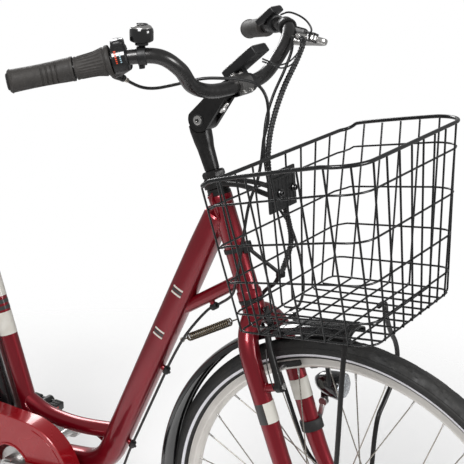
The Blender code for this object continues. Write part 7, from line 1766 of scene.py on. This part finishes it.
def build_stand():
    stand = Piece("centre_stand_legs", SATIN, "centre_stand", "centre_stand")
    stand.pin(STAND_PIVOT, LEFT, 0.036, 0.006)
    feet = Piece("centre_stand_feet", RUBBER, "centre_stand")
    pivot_x, foot_x = STAND_PIVOT.x, STAND_PIVOT.x + STAND_REACH
    for side in BOTH:
        points = [(pivot_x, 0.0320, STAND_PIVOT_HEIGHT), (pivot_x + 0.0110, 0.0325, 0.175),
                  (pivot_x + 0.0160, 0.0410, 0.140), (foot_x - 0.004, 0.1020, 0.036),
                  (foot_x, STAND_FOOT_SPREAD - 0.002, 0.010)]
        stand.sweep(flow([(x, side * y, z) for x, y, z in points], 0.006), 0.008, sides=28)
        feet.box((foot_x, side * STAND_FOOT_SPREAD, 0.008), (0.044, 0.026, 0.016), bevel=0.003)
        for k in range(5):
            feet.box((foot_x - 0.016 + 0.008 * k, side * STAND_FOOT_SPREAD, 0.0012), (0.004, 0.024, 0.0024),
                     segments=1)
        stand.pin(STAND_PIVOT + side * 0.0270 * LEFT, LEFT, 0.0120, 0.0105, edge=0.001)


def build_rack():
    height, half = 0.775, 0.055
    front_x, back_x = -0.958, -1.330
    rack = Piece("rear_rack_tubes", SATIN, "frame", "rear_rack")
    loop = [at(front_x, half, height), at(back_x + 0.05, half, height)]
    loop += [at(back_x + 0.025 + 0.025 * cos(a), half - 0.025 + 0.025 * sin(a), height)
             for a in map(radians, (90, 120, 150, 180))]
    rack.sweep(flow(loop + mirrored(loop[::-1]), 0.008), 0.0050, sides=24)
    for x, radius in ((front_x, 0.0048), (-1.05, 0.0035), (-1.14, 0.0035), (-1.23, 0.0035)):
        rack.rod(at(x, -half, height), at(x, half, height), radius)
    for side in BOTH:
        out = side * LEFT
        eye = at(STAY_EYE[0], side * (STAY_EYE[1] + STAY_RADIUS + 0.0012), STAY_EYE[2])
        rack.rod(eye, eye + 0.003 * out, 0.0080)
        rack.sweep(flow([eye + 0.0040 * out, at(-0.935, side * 0.0660, 0.720),
                         at(front_x - 0.004, side * half, height)], 0.01), 0.0038)
        foot = REAR_AXLE + (REAR_DROPOUT_INNER + DROPOUT_PLATE + GAP) * out
        rack.rod(foot, foot + 0.003 * out, 0.0120)
        rack.sweep(flow([foot + 0.0040 * out + Vector((-0.0005, 0, 0.0135)), at(-1.200, side * 0.0745, 0.470),
                         at(-1.215, side * half, height)], 0.01), 0.0040)
        rack.box(foot + 0.0015 * out + 0.014 * UP, (0.010, 0.003, 0.020))
    rack.box(at(back_x - 0.004, 0, height - 0.008), (0.003, 0.080, 0.026))
    light = Piece("rear_light_lens", LENS_RED, "frame", "rear_light")
    middle = at(back_x - 0.0055 - GAP - 0.011, 0, height - 0.008)
    light.box(middle - 0.004 * FORWARD, (0.014, 0.092, 0.030), bevel=0.004, segments=5)
    for k in range(-7, 8):
        light.box(middle + Vector((-0.0108, 0.0056 * k, 0)), (0.0010, 0.0036, 0.024), bevel=0.0004, segments=1)
    back = Piece("rear_light_base", PLASTIC, "frame")
    back.box(middle + 0.006 * FORWARD, (0.010, 0.096, 0.034), bevel=0.003, segments=4)


# Studio


def build_studio():
    reach = 6.0
    mesh = bpy.data.meshes.new("studio_floor")
    mesh.from_pydata([(-reach, -reach, 0), (reach, -reach, 0), (reach, reach, 0), (-reach, reach, 0)], [],
                     [(0, 1, 2, 3)])
    floor = bpy.data.objects.new("studio_floor", mesh)
    floor.location.z = -0.0005
    scene.collection.objects.link(floor)
    look = bpy.data.materials.new("studio_floor")
    look.use_nodes = True
    tree = look.node_tree
    tree.nodes.clear()
    place = node(tree, "ShaderNodeTexCoord", {})
    length = node(tree, "ShaderNodeVectorMath", {0: place.outputs["Object"]}, operation="LENGTH")
    ramp = node(tree, "ShaderNodeMapRange", {"From Min": 0.85, "From Max": 1.75, "Value": length.outputs["Value"]},
                interpolation_type="SMOOTHSTEP")
    cover = node(tree, "ShaderNodeBsdfDiffuse", {"Color": (0.96, 0.96, 0.96, 1)})
    clear = node(tree, "ShaderNodeBsdfTransparent", {})
    fade = node(tree, "ShaderNodeMixShader", {0: ramp.outputs["Result"], 1: cover.outputs[0], 2: clear.outputs[0]})
    node(tree, "ShaderNodeOutputMaterial", {"Surface": fade.outputs[0]})
    mesh.materials.append(look)

    # White to the camera and through the lens, dimmer as a light
    scene.world = bpy.data.worlds.new("studio")
    scene.world.use_nodes = True
    tree = scene.world.node_tree
    tree.nodes.clear()
    rays = node(tree, "ShaderNodeLightPath", {}).outputs
    seen = node(tree, "ShaderNodeMath", {0: rays["Is Camera Ray"], 1: rays["Is Transmission Ray"]},
                operation="MAXIMUM")
    level = node(tree, "ShaderNodeMapRange", {"To Min": 0.30, "To Max": 1.0, "Value": seen.outputs[0]})
    glow = node(tree, "ShaderNodeBackground", {"Color": (1, 1, 1, 1), "Strength": level.outputs["Result"]})
    node(tree, "ShaderNodeOutputWorld", {"Surface": glow.outputs[0]})

    for name, place, power, size in (("key", (0.9, -2.6, 3.2), 92.0, 1.3), ("rim", (-2.4, 1.8, 2.4), 60.0, 1.5),
                                     ("fill", (3.0, 0.4, 1.6), 36.0, 1.0)):
        lamp = bpy.data.lights.new(name, "AREA")
        lamp.shape, lamp.energy, lamp.size = "SQUARE", power, size
        item = bpy.data.objects.new(name, lamp)
        item.location = place
        item.rotation_mode = "QUATERNION"
        item.rotation_quaternion = (Vector((0.25, 0, 0.65)) - Vector(place)).to_track_quat("-Z", "Y")
        scene.collection.objects.link(item)


def build_camera():
    camera = bpy.data.cameras.new("camera")
    camera.lens, camera.sensor_width = 87.16, 36
    camera.shift_x, camera.shift_y = 0.0297, -0.0051
    camera.clip_start, camera.clip_end = 0.05, 60
    item = bpy.data.objects.new("camera", camera)
    forward, up = Vector((-0.5325, 0.7843, -0.3183)), Vector((-0.1849, 0.2592, 0.9480))
    item.matrix_world = Matrix.Translation((1.3191, -1.4358, 1.4141)) @ turned_to(
        forward.cross(up).normalized(), up, -forward).to_4x4()
    scene.collection.objects.link(item)
    scene.camera = item


build_camera()
build_cables()
build_spring()
build_cable_guide()
build_frame()
build_fork()
build_wheels()
build_guards()
build_basket()
build_basket_mount()
build_stem()
build_bar()
build_shifter()
build_bell()
build_lever()
build_display()
build_brake_arms()
build_axles()
build_headlight()
build_drive()
build_chain_case()
build_battery()
build_seat()
build_stand()
build_rack()
for piece in PIECES:
    piece.done()
build_studio()
